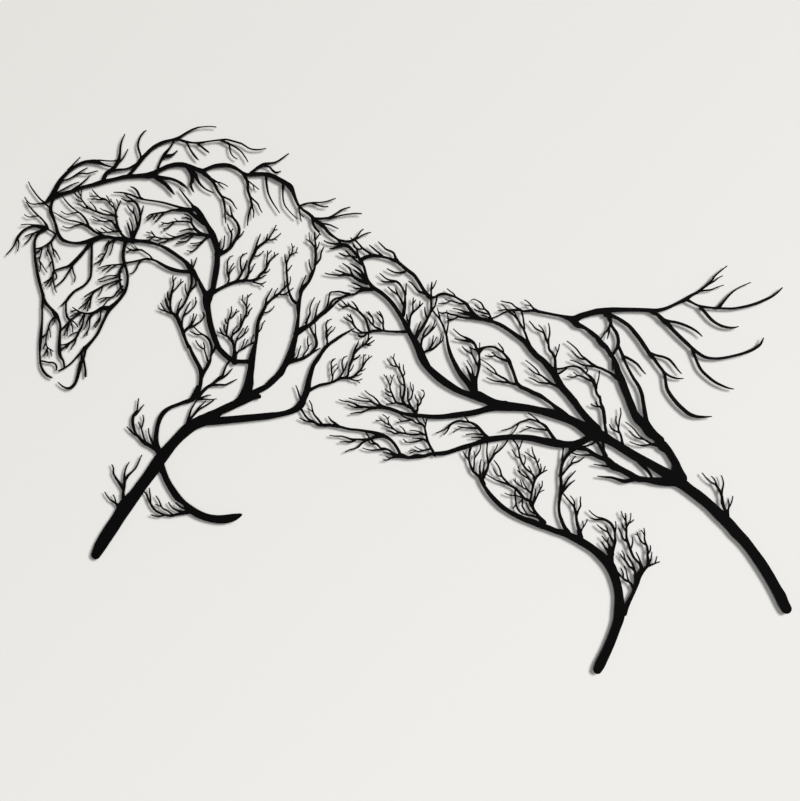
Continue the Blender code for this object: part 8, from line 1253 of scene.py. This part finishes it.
THIGH = [
    # Limbs that meet behind the flank.
    [(714.1, 325.5, 11), (725, 320.5, 11), (737, 313.5, 14), (747.7, 306.5, 17), (760, 302, 14),
     (772, 295.5, 11), (782, 289.5, 11), (792, 283, 11.3), (803, 276.5, 11.5), (815.1, 270.8, 10),
     (827, 263.5, 11.5), (838, 257, 13), (849, 250, 17)],
    [(723, 348, 8.5), (730, 337.5, 8.3), (737, 329, 8.5), (744, 320.5, 10), (751, 312, 13)],
    [(724, 293, 8.5), (732, 295.5, 9), (741, 300, 8.5), (750, 305, 11)],
    # Stem and twigs that rise from the junction.
    [(765, 300, 8), (763.5, 309, 4), (762, 318, 3.5), (760.5, 328, 3.2), (759.3, 337, 3), (757, 346, 2.8),
     (756, 354, 2.6)],
    ([(759.5, 335, 2.4), (755.5, 340.5, 2.2), (750, 341, 1.9), (744.5, 344, 1.1)],
     [(751, 347)]),
    [(788, 287, 5), (784.5, 293.5, 4), (783.5, 300, 3), (782, 305.5, 2.8), (779.5, 311, 2.6),
     (780, 318, 2.2), (781, 325, 1.9), (782.5, 331, 1.7), (782, 339, 1.1)],
    [(779.3, 314, 2.2), (777, 319, 2), (776.5, 328.5, 1.1)],
    [(781, 307, 2.4), (776, 309.5, 2.2), (771.5, 312, 2.2), (768, 318, 1.1)],
    # Lower limb of the thigh.
    [(718, 286.5, 5), (724, 288.5, 6), (733, 287.5, 6), (741.3, 285, 4.8), (748, 280, 5.9),
     (755.7, 276, 5.5), (764.3, 273.5, 7.7), (772.5, 265.4, 10.3), (783, 260.5, 8), (793.3, 255, 8.2),
     (803, 249.3, 8.6), (815, 247.6, 7), (827, 246, 9.6), (838, 245, 11), (850, 246, 14)],
    [(717, 283.5, 3), (724, 280.5, 2), (732, 279, 2), (740, 279, 2.4), (748, 279, 3.4)],
    [(733, 289.5, 3), (740, 291, 2.2), (746, 293, 2.2), (751, 297, 3)],
    [(744, 301, 5), (750.5, 297, 4), (756, 291, 3.8), (759, 284, 4.2), (763, 277, 5), (768, 270, 7)],
    [(758.5, 299, 4), (760.3, 292, 3.4), (760.8, 285, 3.8), (764, 277.5, 5)],
    [(776, 265.5, 7), (768, 264.5, 3.4), (760, 265.3, 2.6), (748, 267.3, 1.1)],
    [(802, 248.7, 6), (794, 246.5, 5), (787, 245.7, 5), (779, 248, 4), (771, 250.3, 3.4), (763, 251, 2.6),
     (753, 252, 1.1)],
    [(806, 271, 6), (813, 263.5, 5), (818.5, 256.5, 3.8), (823, 248.5, 3.6)],
    # Twigs inside the thigh's back limb.
    [(829, 292, 6), (821, 292.5, 2.8), (812, 291, 2.4), (804, 292, 1.9), (794, 296, 1.1)],
    [(823, 291.5, 3), (817, 296, 2.6), (811, 299.5, 2.4), (806, 303.5, 2), (801, 310, 1.8), (795, 316, 1.6),
     (788.5, 321, 1.1)],
    [(812, 299, 2.2), (805, 300.3, 2), (799, 304, 1.7), (793.5, 309.5, 1.1)],
    # Back limb of the thigh, from the hip down to the hock.
    [(794.8, 345.3, 6.8), (797.7, 335, 7.2), (803.5, 325, 9.5), (812, 315.9, 9), (820.5, 306, 11),
     (829.2, 299, 8), (835.6, 291.1, 12.8), (842.5, 284.7, 10), (847.9, 276.3, 9.5), (852.6, 267.8, 10),
     (854.5, 258, 15), (858, 249, 18)],
    [(810.5, 345, 3.5), (812, 334, 4), (814.5, 324, 5.5), (819, 314, 8), (825, 305, 10), (832, 297.5, 12)],
]

NEAR_HIND = [
    [(682, 189, 7.6), (692, 185.5, 7.5), (702, 181.5, 7.3), (711, 179.5, 9), (721, 174.5, 9),
     (731, 169.5, 10), (741, 163.6, 10), (750.3, 157, 10), (758.5, 149.7, 11.4), (767.6, 140, 13),
     (773.3, 129, 12), (776.6, 118.4, 10.9), (779.2, 108.1, 10.8), (780.6, 98, 11.1), (781, 88, 13),
     (781, 79, 14), (779.8, 69.9, 13.2), (776.6, 60, 12), (773, 49.8, 11.8), (769, 39.7, 12),
     (764.6, 29.5, 12), (759.6, 19.5, 12.6), (755.4, 10.7, 12.6), (753, 5.9, 11)],
    [(786, 78, 9), (791, 89, 5.8), (796, 99, 4.9), (800.2, 108.5, 5.2), (802.8, 116.5, 6.6),
     (805, 124.2, 7.2), (809.2, 130.4, 5.8), (813.7, 134.9, 3.9), (818, 139, 3.4)],
    # Bush on the cannon.
    [(768, 141, 12), (769.8, 150, 7.6), (771.5, 157, 5.5), (773.8, 164, 4.3), (775.4, 170, 3.6),
     (775, 176, 3), (774.6, 182, 3.2), (772.5, 188, 3.4), (769, 192.5, 3.6), (764, 196, 3.6),
     (758.5, 198.3, 3), (753, 200, 2), (748, 203, 1.8), (742, 208.8, 1.1)],
    [(763, 196.5, 3), (757, 197, 2.6), (750, 197, 2), (743.5, 199, 1.1)],
    [(775, 180, 2.4), (776.3, 187, 1.9), (775.8, 194.5, 1.1)],
    [(774.5, 165, 4), (771.5, 171.5, 3), (768.5, 176.5, 2.4), (765.5, 182, 2.6), (765, 185.5, 2),
     (762.5, 189, 1.1)],
    [(766.5, 181, 2.6), (760, 184, 2.2), (756, 187, 1.9), (752.3, 190.7, 1.1)],
    ([(771.3, 153, 6), (769.3, 160.5, 4.6), (766.6, 166.2, 2.6), (763.2, 170.3, 2), (758.4, 175.8, 1.1)],
     [(767, 174)]),
    [(769.5, 151, 6), (766, 157.5, 4.2), (762.2, 162, 2.6), (760, 165.3, 2), (757.7, 168.8, 1.1)],
    # Tree that grows back from the pastern.
    [(778.5, 129.3, 3), (783.8, 123.7, 2.8), (788.8, 119.6, 3.2), (793.3, 117.4, 2.9), (796.7, 113.4, 3.2),
     (799.4, 108, 4.2)],
    [(785.3, 122.5, 2.2), (785.8, 127.5, 1.8), (782.8, 134.8, 1.1)],
    [(792.8, 118, 2.3), (790.6, 124.5, 1.9), (789.6, 131, 1.8), (787.4, 137.7, 1.1)],
    [(802.2, 118, 4.6), (801, 126, 3.2), (800.4, 131, 3.3), (798, 134.3, 3.8), (793.8, 136.9, 2.8),
     (790, 142.3, 2.6), (787.6, 147, 2), (786.5, 152.5, 1.8), (784, 157.3, 1.1)],
    [(789.2, 143.3, 2.2), (785.9, 146.6, 2), (783.6, 149.8, 1.7), (782, 153.2, 1.1)],
    [(799.5, 134, 3.6), (797, 141, 2.6), (794, 146.5, 2.3), (790.3, 152, 1.3)],
    [(806, 127, 6.6), (808.6, 133, 5), (808.3, 137, 4.8), (806.8, 140.4, 4.2), (804.2, 143.2, 3.3),
     (801.5, 145.9, 3), (798.2, 150, 3.2), (796, 155, 3.5), (794, 160, 3.7), (792.2, 165.5, 3.5),
     (790.2, 171, 3.5), (789.5, 177, 3), (789.5, 184, 3), (789.3, 191, 2.5), (788.7, 197, 2.2),
     (788.4, 205, 1.2)],
    [(788.8, 195.5, 2), (785.7, 200, 1.8), (783, 207.5, 1.1)],
    ([(789.8, 187, 2.4), (793, 192.3, 2.1), (796, 194, 1.8), (799, 196.7, 1.1)],
     [(795.3, 205)]),
    [(789.5, 181, 2.6), (786, 187, 2), (784.3, 192, 1.1)],
    [(790.5, 169, 3.2), (785.5, 172.5, 2.6), (783, 179, 2.1), (779.7, 186.3, 1.1)],
    [(795.3, 160, 2.3), (797, 165, 2), (797.7, 170, 1.8), (796.8, 174.9, 1.1)],
    [(808.5, 138, 3), (807.1, 144.2, 2.2), (805, 149.2, 1.9), (802, 155.3, 1.1)],
    ([(816, 137.5, 4), (817.3, 145, 4), (816.5, 151, 3.1), (816.7, 157, 3), (816, 162, 3), (814, 167, 2.6),
     (812.5, 173, 2.2), (812.7, 179, 2), (812, 186, 1.2)],
     [(808.3, 183.3)]),
    ([(815, 164.5, 2.8), (809.5, 168, 2.2), (806.3, 172.7, 2), (803, 180.7, 1.1)],
     [(800, 178.5)]),
    [(816.7, 153, 2.4), (820, 158.3, 1.9), (820.2, 164, 1.1)],
    [(817.5, 139.5, 3), (820.5, 146, 2.2), (822, 155.7, 1.1)],
    [(816.5, 137.4, 3), (822, 139.4, 2.3), (826.3, 141.3, 1.9), (832, 143.2, 1.1)],
    [(825.8, 141, 1.9), (827.2, 145.3, 1.6), (828.4, 150, 1.1)],
]

FAR_HIND = [
    [(848, 248, 15), (860, 242.8, 14), (870, 235.2, 12.8), (880, 228, 13.5), (890.2, 219.9, 13),
     (900.3, 210.8, 13.2), (910, 201, 14), (920, 191.5, 14.2), (930, 179.8, 14.2), (940, 169.5, 13.4),
     (950.3, 156.2, 12.8), (960.8, 141.5, 13.6), (971.2, 125, 13.4), (980.8, 108, 13.4), (986, 98.8, 14.4),
     (989.5, 90.5, 13.6), (993.4, 83.4, 13)],
    [(916, 196, 10), (917.5, 204, 5.5), (914, 211.5, 4), (911.5, 219, 4.6), (911, 226, 3.6),
     (909, 232, 3.6), (905.5, 238, 3.2), (903.5, 241, 3), (898.5, 243.7, 2.1), (893, 248, 1.8),
     (886, 256.3, 1.1)],
    [(905, 238.5, 2.6), (903.5, 243.5, 2), (901, 248.7, 1.8), (897.7, 252, 1.1)],
    [(910.5, 227, 3.4), (911.5, 235, 2.5), (913, 242, 2.1), (910.5, 253, 1.1)],
    [(918, 202, 5), (919, 209, 2.8), (920, 215, 2.1), (919.3, 222.7, 1.1)],
    [(919.8, 212, 2.2), (923.3, 219, 1.8), (925, 226.7, 1.1)],
]

LIMBS = [
    *HEAD, *NECK, *SHOULDER, *BACK, *TAIL, *HIP, *FORELEG,
    *CHEST, *BELLY, *FLANK, *STIFLE, *THIGH, *NEAR_HIND, *FAR_HIND,
]


def with_widths(stations):
    """Stations as vectors (x, z, width); a width that isn't given runs evenly between its neighbours."""
    places = [Vector(station[:2]) for station in stations]
    run = [0.0]
    for place, following in zip(places, places[1:]):
        run.append(run[-1] + (following - place).length)
    given = [(at, station[2]) for at, station in zip(run, stations) if len(station) == 3]
    if len(stations[-1]) == 2:
        given.append((run[-1], TIP_WIDTH))
    filled = []
    for place, at in zip(places, run):
        after = next(k for k, (known, _) in enumerate(given) if known >= at)
        before = max(after - 1, 0)
        reach = given[after][0] - given[before][0]
        share = (at - given[before][0]) / reach if reach else 0.0
        width = given[before][1] + (given[after][1] - given[before][1]) * share
        filled.append(Vector((place.x, place.y, width)))
    return filled


def hermite(start, start_tangent, end, end_tangent, t):
    """The point at t on the cubic that leaves start and reaches end along the given tangents."""
    return (
        start * (2 * t**3 - 3 * t**2 + 1)
        + start_tangent * (t**3 - 2 * t**2 + t)
        + end * (3 * t**2 - 2 * t**3)
        + end_tangent * (t**3 - t**2)
    )


def smooth_curve(stations):
    """A smooth curve through the stations, with a point about every CURVE_STEP."""
    gaps = [(b - a).xy.length for a, b in zip(stations, stations[1:])]
    slopes = [(b - a) / gap for a, b, gap in zip(stations, stations[1:], gaps)]
    tangents = [
        (slope * next_gap + next_slope * gap) / (gap + next_gap)
        for slope, next_slope, gap, next_gap in zip(slopes, slopes[1:], gaps, gaps[1:])
    ]
    if tangents:
        first = slopes[0] * 1.5 - tangents[0] * 0.5
        last = slopes[-1] * 1.5 - tangents[-1] * 0.5
        tangents = [first, *tangents, last]
    else:
        tangents = [slopes[0], slopes[0]]
    curve = [stations[0]]
    for k, gap in enumerate(gaps):
        steps = max(1, math.ceil(gap / CURVE_STEP))
        for step in range(1, steps + 1):
            curve.append(
                hermite(stations[k], tangents[k] * gap, stations[k + 1], tangents[k + 1] * gap, step / steps)
            )
    return curve


def thinned(points, tolerance):
    """The points of a line that it needs to stay within the tolerance of where it was."""
    kept = {0, len(points) - 1}
    spans = [(0, len(points) - 1)]
    while spans:
        first, last = spans.pop()
        start = points[first]
        along = points[last] - start
        furthest = tolerance
        corner = None
        for k in range(first + 1, last):
            share = (points[k] - start).dot(along) / along.length_squared if along.length else 0.0
            distance = (points[k] - start - along * min(max(share, 0.0), 1.0)).length
            if distance > furthest:
                furthest = distance
                corner = k
        if corner is not None:
            kept.add(corner)
            spans += [(first, corner), (corner, last)]
    return [points[k] for k in sorted(kept)]


def signed_area(polygon):
    """The polygon's area, positive where it runs counter-clockwise."""
    return sum(a[0] * b[1] - b[0] * a[1] for a, b in zip(polygon, polygon[1:] + polygon[:1])) / 2


def convex(points):
    """The convex outline around the points, counter-clockwise."""
    outline = [points[k] for k in convex_hull_2d([tuple(point) for point in points])]
    return outline if signed_area(outline) > 0 else outline[::-1]


def round_patch(centre, radius, sides):
    """A regular polygon, counter-clockwise."""
    turns = [2 * math.pi * k / sides for k in range(sides)]
    return [centre + radius * Vector((math.cos(turn), math.sin(turn))) for turn in turns]


def limb_patches(curve):
    """Convex patches that together cover a limb: one for each stretch of its curve, and one for each end."""
    middles = [point.xy for point in curve]
    halves = [max(point.z, THINNEST_TWIG) / 2 for point in curve]
    headings = [(b - a).normalized() for a, b in zip(middles, middles[1:])]
    edges = []
    for k, (middle, half) in enumerate(zip(middles, halves)):
        heading = (headings[max(k - 1, 0)] + headings[min(k, len(headings) - 1)]).normalized()
        widening = min(1 / max(heading.dot(headings[min(k, len(headings) - 1)]), MITRE_FLOOR), MITRE_LIMIT)
        across = Vector((-heading.y, heading.x)) * half * widening
        edges.append((middle + across, middle - across))
    patches = [convex([*here, *following]) for here, following in zip(edges, edges[1:])]
    for end, inward in ((0, headings[0]), (-1, -headings[-1])):
        if 2 * halves[end] < POINTED_END_BELOW:
            reach = inward * halves[end]
            patches.append(convex([*edges[end], middles[end] - reach, middles[end] + reach]))
        else:
            patches.append(round_patch(middles[end], halves[end], ROUND_END_SIDES))
    return patches


def joined_patches(patches):
    """The triangles that the patches cover together, as points and as triples of their numbers."""
    points = []
    faces = []
    for patch in patches:
        corners = [a for a, b in zip(patch, patch[1:] + patch[:1]) if math.dist(a, b) > SHORTEST_SIDE]
        if len(corners) > 2 and signed_area(corners) > SHORTEST_SIDE:
            faces.append(range(len(points), len(points) + len(corners)))
            points += [Vector(corner) for corner in corners]
    points, _, triangles, _, _, sources = delaunay_2d_cdt(points, [], faces, 1, MERGE_DISTANCE)
    return points, [tuple(triangle) for triangle, source in zip(triangles, sources) if source]


def rim_edges(triangles):
    """The edges that only one triangle has, as a list of followers for each point."""
    edges = {edge for a, b, c in triangles for edge in ((a, b), (b, c), (c, a))}
    followers = {}
    for a, b in edges:
        if (b, a) not in edges:
            followers.setdefault(a, []).append(b)
    return followers


def plate_outline(limbs):
    """The closed outlines of the plate: its rim counter-clockwise, and its holes clockwise."""
    patches = [patch for limb in limbs for patch in limb_patches(thinned(smooth_curve(limb), LIMB_TOLERANCE))]
    while True:
        points, triangles = joined_patches(patches)
        followers = rim_edges(triangles)
        pinched = [point for point, following in followers.items() if len(following) > 1]
        if not pinched:
            break
        patches += [round_patch(points[k], PINCH_REPAIR_RADIUS, PINCH_REPAIR_SIDES) for k in pinched]
    outlines = []
    while followers:
        start, (following,) = followers.popitem()
        loop = [start]
        while following != start:
            loop.append(following)
            (following,) = followers.pop(following)
        outlines.append([points[k] for k in loop])
    return outlines


def bowed_twig(stem, tip):
    """The stations of a twig that leaves the stem where it sees the tip at TWIG_ANGLE, and bows to it."""
    tip = Vector(tip)
    choices = []
    for before, root, after in zip(stem, stem[1:], stem[2:]):
        reach = tip - root.xy
        heading = (after - before).xy.normalized()
        if reach.length > SHORTEST_TWIG:
            turn = abs(heading.angle(reach) - TWIG_ANGLE)
            choices.append((turn + TWIG_NEARNESS * reach.length, root, heading))
    _, root, heading = min(choices, key=lambda choice: choice[0])
    bend = root.xy + heading * (tip - root.xy).length * TWIG_BOW
    width = min(TWIG_SHARE_OF_STEM * root.z, TWIG_WIDTH)
    stations = []
    for share in TWIG_STATIONS:
        place = root.xy * (1 - share) ** 2 + bend * 2 * share * (1 - share) + tip * share**2
        stations.append(Vector((place.x, place.y, width + (TIP_WIDTH - width) * share**2)))
    return stations


def limbs_and_twigs():
    """The stations of every limb, and of the twigs that are given by their tips."""
    found = []
    for limb in LIMBS:
        stations, tips = limb if isinstance(limb, tuple) else (limb, [])
        stem = with_widths(stations)
        found.append(stem)
        found += [bowed_twig(smooth_curve(stem), tip) for tip in tips]
    return found


def to_plate(point):
    """A drawing's point in metres from the origin."""
    return (point[0] - STUD_PLACES[0][0]) * UNIT, (point[1] - STUD_PLACES[0][1]) * UNIT


def is_worth_cutting(outline):
    """True for the rim, and for a hole that isn't a mere slit or speck."""
    area = signed_area(outline)
    girth = sum(math.dist(a, b) for a, b in zip(outline, outline[1:] + outline[:1]))
    return area > 0 or (-area > SMALLEST_HOLE_AREA and -2 * area / girth > NARROWEST_HOLE)


def thinned_outline(outline):
    """A closed outline with only the points that it needs."""
    furthest = max(range(len(outline)), key=lambda k: (outline[k] - outline[0]).length)
    there = thinned(outline[: furthest + 1], OUTLINE_TOLERANCE)
    back = thinned([*outline[furthest:], outline[0]], OUTLINE_TOLERANCE)
    return there[:-1] + back[:-1]


def put_in_scene(name, data):
    """A new object that shows the data, in the scene."""
    shown = bpy.data.objects.new(name, data)
    bpy.context.scene.collection.objects.link(shown)
    return shown


def cut_sheet(outlines, thickness):
    """A sheet in bmesh, midway on Z = 0, cut through along the outlines."""
    drawing = bpy.data.curves.new("plate_outline", "CURVE")
    drawing.dimensions = "2D"
    drawing.fill_mode = "BOTH"
    drawing.extrude = thickness / 2
    for outline in outlines:
        spline = drawing.splines.new("POLY")
        spline.points.add(len(outline) - 1)
        spline.use_cyclic_u = True
        for corner, point in zip(spline.points, outline):
            corner.co = (*to_plate(point), 0, 1)
    drawn = put_in_scene("plate_outline", drawing)
    evaluated = drawn.evaluated_get(bpy.context.evaluated_depsgraph_get())
    sheet = bmesh.new()
    sheet.from_mesh(bpy.data.meshes.new_from_object(evaluated))
    bpy.data.objects.remove(drawn)
    bmesh.ops.remove_doubles(sheet, verts=sheet.verts, dist=WELD_DISTANCE)
    bmesh.ops.recalc_face_normals(sheet, faces=sheet.faces)
    return sheet


def inward_step(corner):
    """How a rim's corner moves for its walls to step one metre back into the sheet."""
    walls = [face.normal for face in corner.link_faces if abs(face.normal.z) < FLAT_ENOUGH]
    outward = sum(walls, Vector()).normalized()
    return outward / -max(outward.dot(walls[0]), MITRE_FLOOR)


def round_rims(sheet, side):
    """Raises one face of the sheet by EDGE_ROUNDING, and draws it in as much, so that its rims are eased."""
    old_faces = [face for face in sheet.faces if face.normal.z * side > FLAT_ENOUGH]
    steps = {corner.co.copy().freeze(): inward_step(corner) for face in old_faces for corner in face.verts}
    made = bmesh.ops.extrude_face_region(sheet, geom=old_faces)["geom"]
    bmesh.ops.delete(sheet, geom=old_faces, context="FACES")
    faces = [part for part in made if isinstance(part, bmesh.types.BMFace)]
    corners = {corner: corner.co.copy().freeze() for face in faces for corner in face.verts}
    eased = dict.fromkeys(corners, EDGE_ROUNDING)
    turned_over = faces
    while turned_over:
        for corner, place in corners.items():
            corner.co = place + steps[place] * eased[corner] + Vector((0, 0, side * EDGE_ROUNDING))
        sheet.normal_update()
        turned_over = [
            face
            for face in faces
            if face.normal.z * side < FLAT_ENOUGH and any(eased[corner] for corner in face.verts)
        ]
        for corner in {corner for face in turned_over for corner in face.verts}:
            eased[corner] = max(eased[corner] / 2 - EASING_GIVEN_UP, 0)


def add_stud(shape, place):
    """A turned stud from the wall to the plate's back, with a chamfer at the wall and a weld bead."""
    x, z = to_plate(place)
    radius = STUD_DIAMETER / 2
    bead_turns = [math.pi / 2 * k / WELD_BEAD_STEPS for k in range(WELD_BEAD_STEPS + 1)]
    bead = [
        (radius + WELD_BEAD_SIZE * (1 - math.cos(turn)), -STUD_LENGTH + WELD_BEAD_SIZE * (1 - math.sin(turn)))
        for turn in bead_turns
    ]
    profile = [(0, 0), (radius - STUD_CHAMFER, 0), (radius, -STUD_CHAMFER), *bead]
    profile += [(bead[-1][0], -STUD_LENGTH - STUD_WELD_DEPTH), (0, -STUD_LENGTH - STUD_WELD_DEPTH)]
    corners = [shape.verts.new((x + across, deep, z)) for across, deep in profile]
    edges = [shape.edges.new(pair) for pair in zip(corners, corners[1:])]
    bmesh.ops.spin(
        shape,
        geom=corners + edges,
        cent=(x, 0, z),
        axis=(0, 1, 0),
        angle=2 * math.pi,
        steps=STUD_SIDES,
        use_merge=True,
    )


def new_material(name):
    """A material, its node tree and the tree's Principled shader."""
    material = bpy.data.materials.new(name)
    material.use_nodes = True
    return material, material.node_tree, material.node_tree.nodes["Principled BSDF"]


def add_noise(tree, place, scale, detail):
    """The value of a noise texture at the place."""
    noise = tree.nodes.new("ShaderNodeTexNoise")
    noise.inputs["Scale"].default_value = scale
    noise.inputs["Detail"].default_value = detail
    tree.links.new(place, noise.inputs["Vector"])
    return noise.outputs["Fac"]


def add_range(tree, value, given, wanted):
    """The value, stretched from the given range to the wanted one."""
    stretch = tree.nodes.new("ShaderNodeMapRange")
    stretch.inputs["From Min"].default_value, stretch.inputs["From Max"].default_value = given
    stretch.inputs["To Min"].default_value, stretch.inputs["To Max"].default_value = wanted
    tree.links.new(value, stretch.inputs["Value"])
    return stretch.outputs["Result"]


def add_colour(tree, share, first, last):
    """The colour at the share of the way from the first to the last."""
    mix = tree.nodes.new("ShaderNodeMix")
    mix.data_type = "RGBA"
    mix.inputs["A"].default_value = first
    mix.inputs["B"].default_value = last
    tree.links.new(share, mix.inputs["Factor"])
    return mix.outputs["Result"]


def add_bump(tree, height, depth):
    """A bump of the given depth."""
    bump = tree.nodes.new("ShaderNodeBump")
    bump.inputs["Distance"].default_value = depth
    tree.links.new(height, bump.inputs["Height"])
    return bump


def powder_coat():
    """Satin black powder coat: a fine orange peel, a little uneven in gloss, over the lines of a cut edge."""
    material, tree, shader = new_material("powder_coat_black")
    nodes = tree.nodes
    links = tree.links
    shader.inputs["Metallic"].default_value = 0
    shader.inputs["Specular IOR Level"].default_value = COAT_SPECULAR

    places = nodes.new("ShaderNodeTexCoord").outputs["Object"]
    clouds = add_noise(tree, places, CLOUD_SCALE, CLOUD_DETAIL)
    links.new(add_colour(tree, clouds, COAT_DARK, COAT_LIGHT), shader.inputs["Base Color"])
    gloss = add_range(tree, clouds, (CLOUD_LOW, CLOUD_HIGH), (COAT_ROUGHNESS_LEAST, COAT_ROUGHNESS_MOST))
    links.new(gloss, shader.inputs["Roughness"])

    peel_bump = add_bump(tree, add_noise(tree, places, PEEL_SCALE, PEEL_DETAIL), PEEL_DEPTH)
    peel_bump.inputs["Strength"].default_value = PEEL_STRENGTH

    through = nodes.new("ShaderNodeMapping")
    through.inputs["Scale"].default_value = CUT_LINE_STRETCH
    links.new(places, through.inputs["Vector"])
    cut_lines = add_noise(tree, through.outputs["Vector"], CUT_LINE_SCALE, CUT_LINE_DETAIL)
    surface = nodes.new("ShaderNodeNewGeometry")
    facing = nodes.new("ShaderNodeSeparateXYZ")
    links.new(surface.outputs["True Normal"], facing.inputs["Vector"])
    flat = nodes.new("ShaderNodeMath")
    flat.operation = "ABSOLUTE"
    links.new(facing.outputs["Y"], flat.inputs[0])
    on_edges = nodes.new("ShaderNodeMath")
    on_edges.operation = "SUBTRACT"
    on_edges.inputs[0].default_value = 1
    links.new(flat.outputs["Value"], on_edges.inputs[1])
    cut_bump = add_bump(tree, cut_lines, CUT_LINE_DEPTH)
    links.new(on_edges.outputs["Value"], cut_bump.inputs["Strength"])
    links.new(peel_bump.outputs["Normal"], cut_bump.inputs["Normal"])
    links.new(cut_bump.outputs["Normal"], shader.inputs["Normal"])
    return material


def horse_plate():
    """The plate with every twig and its studs, in the solid's place."""
    patches_outline = plate_outline(limbs_and_twigs())
    outlines = [thinned_outline(outline) for outline in patches_outline if is_worth_cutting(outline)]
    shape = cut_sheet(outlines, PLATE_THICKNESS - 2 * EDGE_ROUNDING)
    round_rims(shape, 1)
    round_rims(shape, -1)
    bmesh.ops.rotate(shape, verts=shape.verts, matrix=Matrix.Rotation(math.pi / 2, 3, "X"))
    bmesh.ops.translate(shape, verts=shape.verts, vec=(0, -STUD_LENGTH - PLATE_THICKNESS / 2, 0))
    for place in STUD_PLACES:
        add_stud(shape, place)
    bmesh.ops.recalc_face_normals(shape, faces=shape.faces)
    mesh = bpy.data.meshes.new("horse_plate_cut")
    shape.to_mesh(mesh)
    shape.free()
    mesh.shade_smooth()
    mesh.set_sharp_from_angle(angle=SHARP_ANGLE)
    mesh.materials.append(powder_coat())
    plate = put_in_scene("horse_plate_cut", mesh)
    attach(plate, "root")
    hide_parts("horse_plate")


def wall():
    """The pale painted wall, seen and lit from its front only, with painted light and shade across its
    colour.
    """
    material, tree, shader = new_material("wall_paint")
    nodes = tree.nodes
    links = tree.links
    shader.inputs["Roughness"].default_value = WALL_ROUGHNESS
    shader.inputs["Specular IOR Level"].default_value = WALL_SPECULAR

    # Painted light and shade: the base colour runs from the darker to the lighter wall colour across the
    # wall, standing in for uneven light.
    places = nodes.new("ShaderNodeTexCoord")
    along = nodes.new("ShaderNodeVectorMath")
    along.operation = "DOT_PRODUCT"
    along.inputs[1].default_value = WALL_PAINTED_LIGHT_TOWARDS
    links.new(places.outputs["Object"], along.inputs[0])
    share = add_range(tree, along.outputs["Value"], (WALL_PAINTED_SHADE_DEEPEST_AT, WALL_PAINTED_LIGHT_BRIGHTEST_AT), (0, 1))
    links.new(add_colour(tree, share, WALL_IN_PAINTED_SHADE, WALL_IN_PAINTED_LIGHT), shader.inputs["Base Color"])

    surface = nodes.new("ShaderNodeNewGeometry")
    clear = nodes.new("ShaderNodeBsdfTransparent")
    one_sided = nodes.new("ShaderNodeMixShader")
    links.new(surface.outputs["Backfacing"], one_sided.inputs["Fac"])
    links.new(shader.outputs["BSDF"], one_sided.inputs[1])
    links.new(clear.outputs["BSDF"], one_sided.inputs[2])
    links.new(one_sided.outputs["Shader"], nodes["Material Output"].inputs["Surface"])

    middle = (VIEW_CENTRE.x, WALL_CLEARANCE, VIEW_CENTRE.z)
    bpy.ops.mesh.primitive_plane_add(size=1, location=middle, rotation=(math.pi / 2, 0, 0))
    panel = bpy.context.object
    panel.name = "wall"
    panel.data.transform(Matrix.Diagonal((WALL_WIDTH, WALL_HEIGHT, 1, 1)))
    panel.data.materials.append(material)


def world():
    """A soft room: pale where it is seen or mirrored, dimmer as light."""
    room = bpy.data.worlds.new("room")
    room.use_nodes = True
    tree = room.node_tree
    background = tree.nodes["Background"]
    background.inputs["Color"].default_value = ROOM_COLOUR
    rays = tree.nodes.new("ShaderNodeLightPath")
    strength = add_range(tree, rays.outputs["Is Diffuse Ray"], (0, 1), (ROOM_SEEN, ROOM_LIGHT))
    tree.links.new(strength, background.inputs["Strength"])
    bpy.context.scene.world = room


def sunlight(name, energy, angle, direction):
    """A distant soft light, which casts an even shadow."""
    lamp = bpy.data.lights.new(name, "SUN")
    lamp.energy = energy
    lamp.angle = angle
    lamp.color = LIGHT_COLOUR
    light = put_in_scene(name, lamp)
    light.rotation_euler = Vector(direction).to_track_quat("-Z", "Y").to_euler()
    return light


def camera():
    """Straight in front, as far as the lens needs to frame the photograph's width."""
    lens = bpy.data.cameras.new("camera")
    lens.lens = LENS
    lens.sensor_width = SENSOR
    lens.sensor_fit = "HORIZONTAL"
    viewer = put_in_scene("camera", lens)
    distance = LENS / SENSOR * PHOTO_WIDTH * UNITS_PER_PX * UNIT
    viewer.location = (VIEW_CENTRE.x, plate_low.y - distance, VIEW_CENTRE.z)
    viewer.rotation_euler = (math.pi / 2, 0, 0)
    bpy.context.scene.camera = viewer


horse_plate()
wall()
world()
sunlight("key", KEY_ENERGY, KEY_ANGLE, SHADOW_OFFSET)
fill = sunlight("fill", FILL_ENERGY, FILL_ANGLE, FILL_DIRECTION)
fill.visible_glossy = False
camera()
bpy.context.scene.view_settings.view_transform = "Standard"
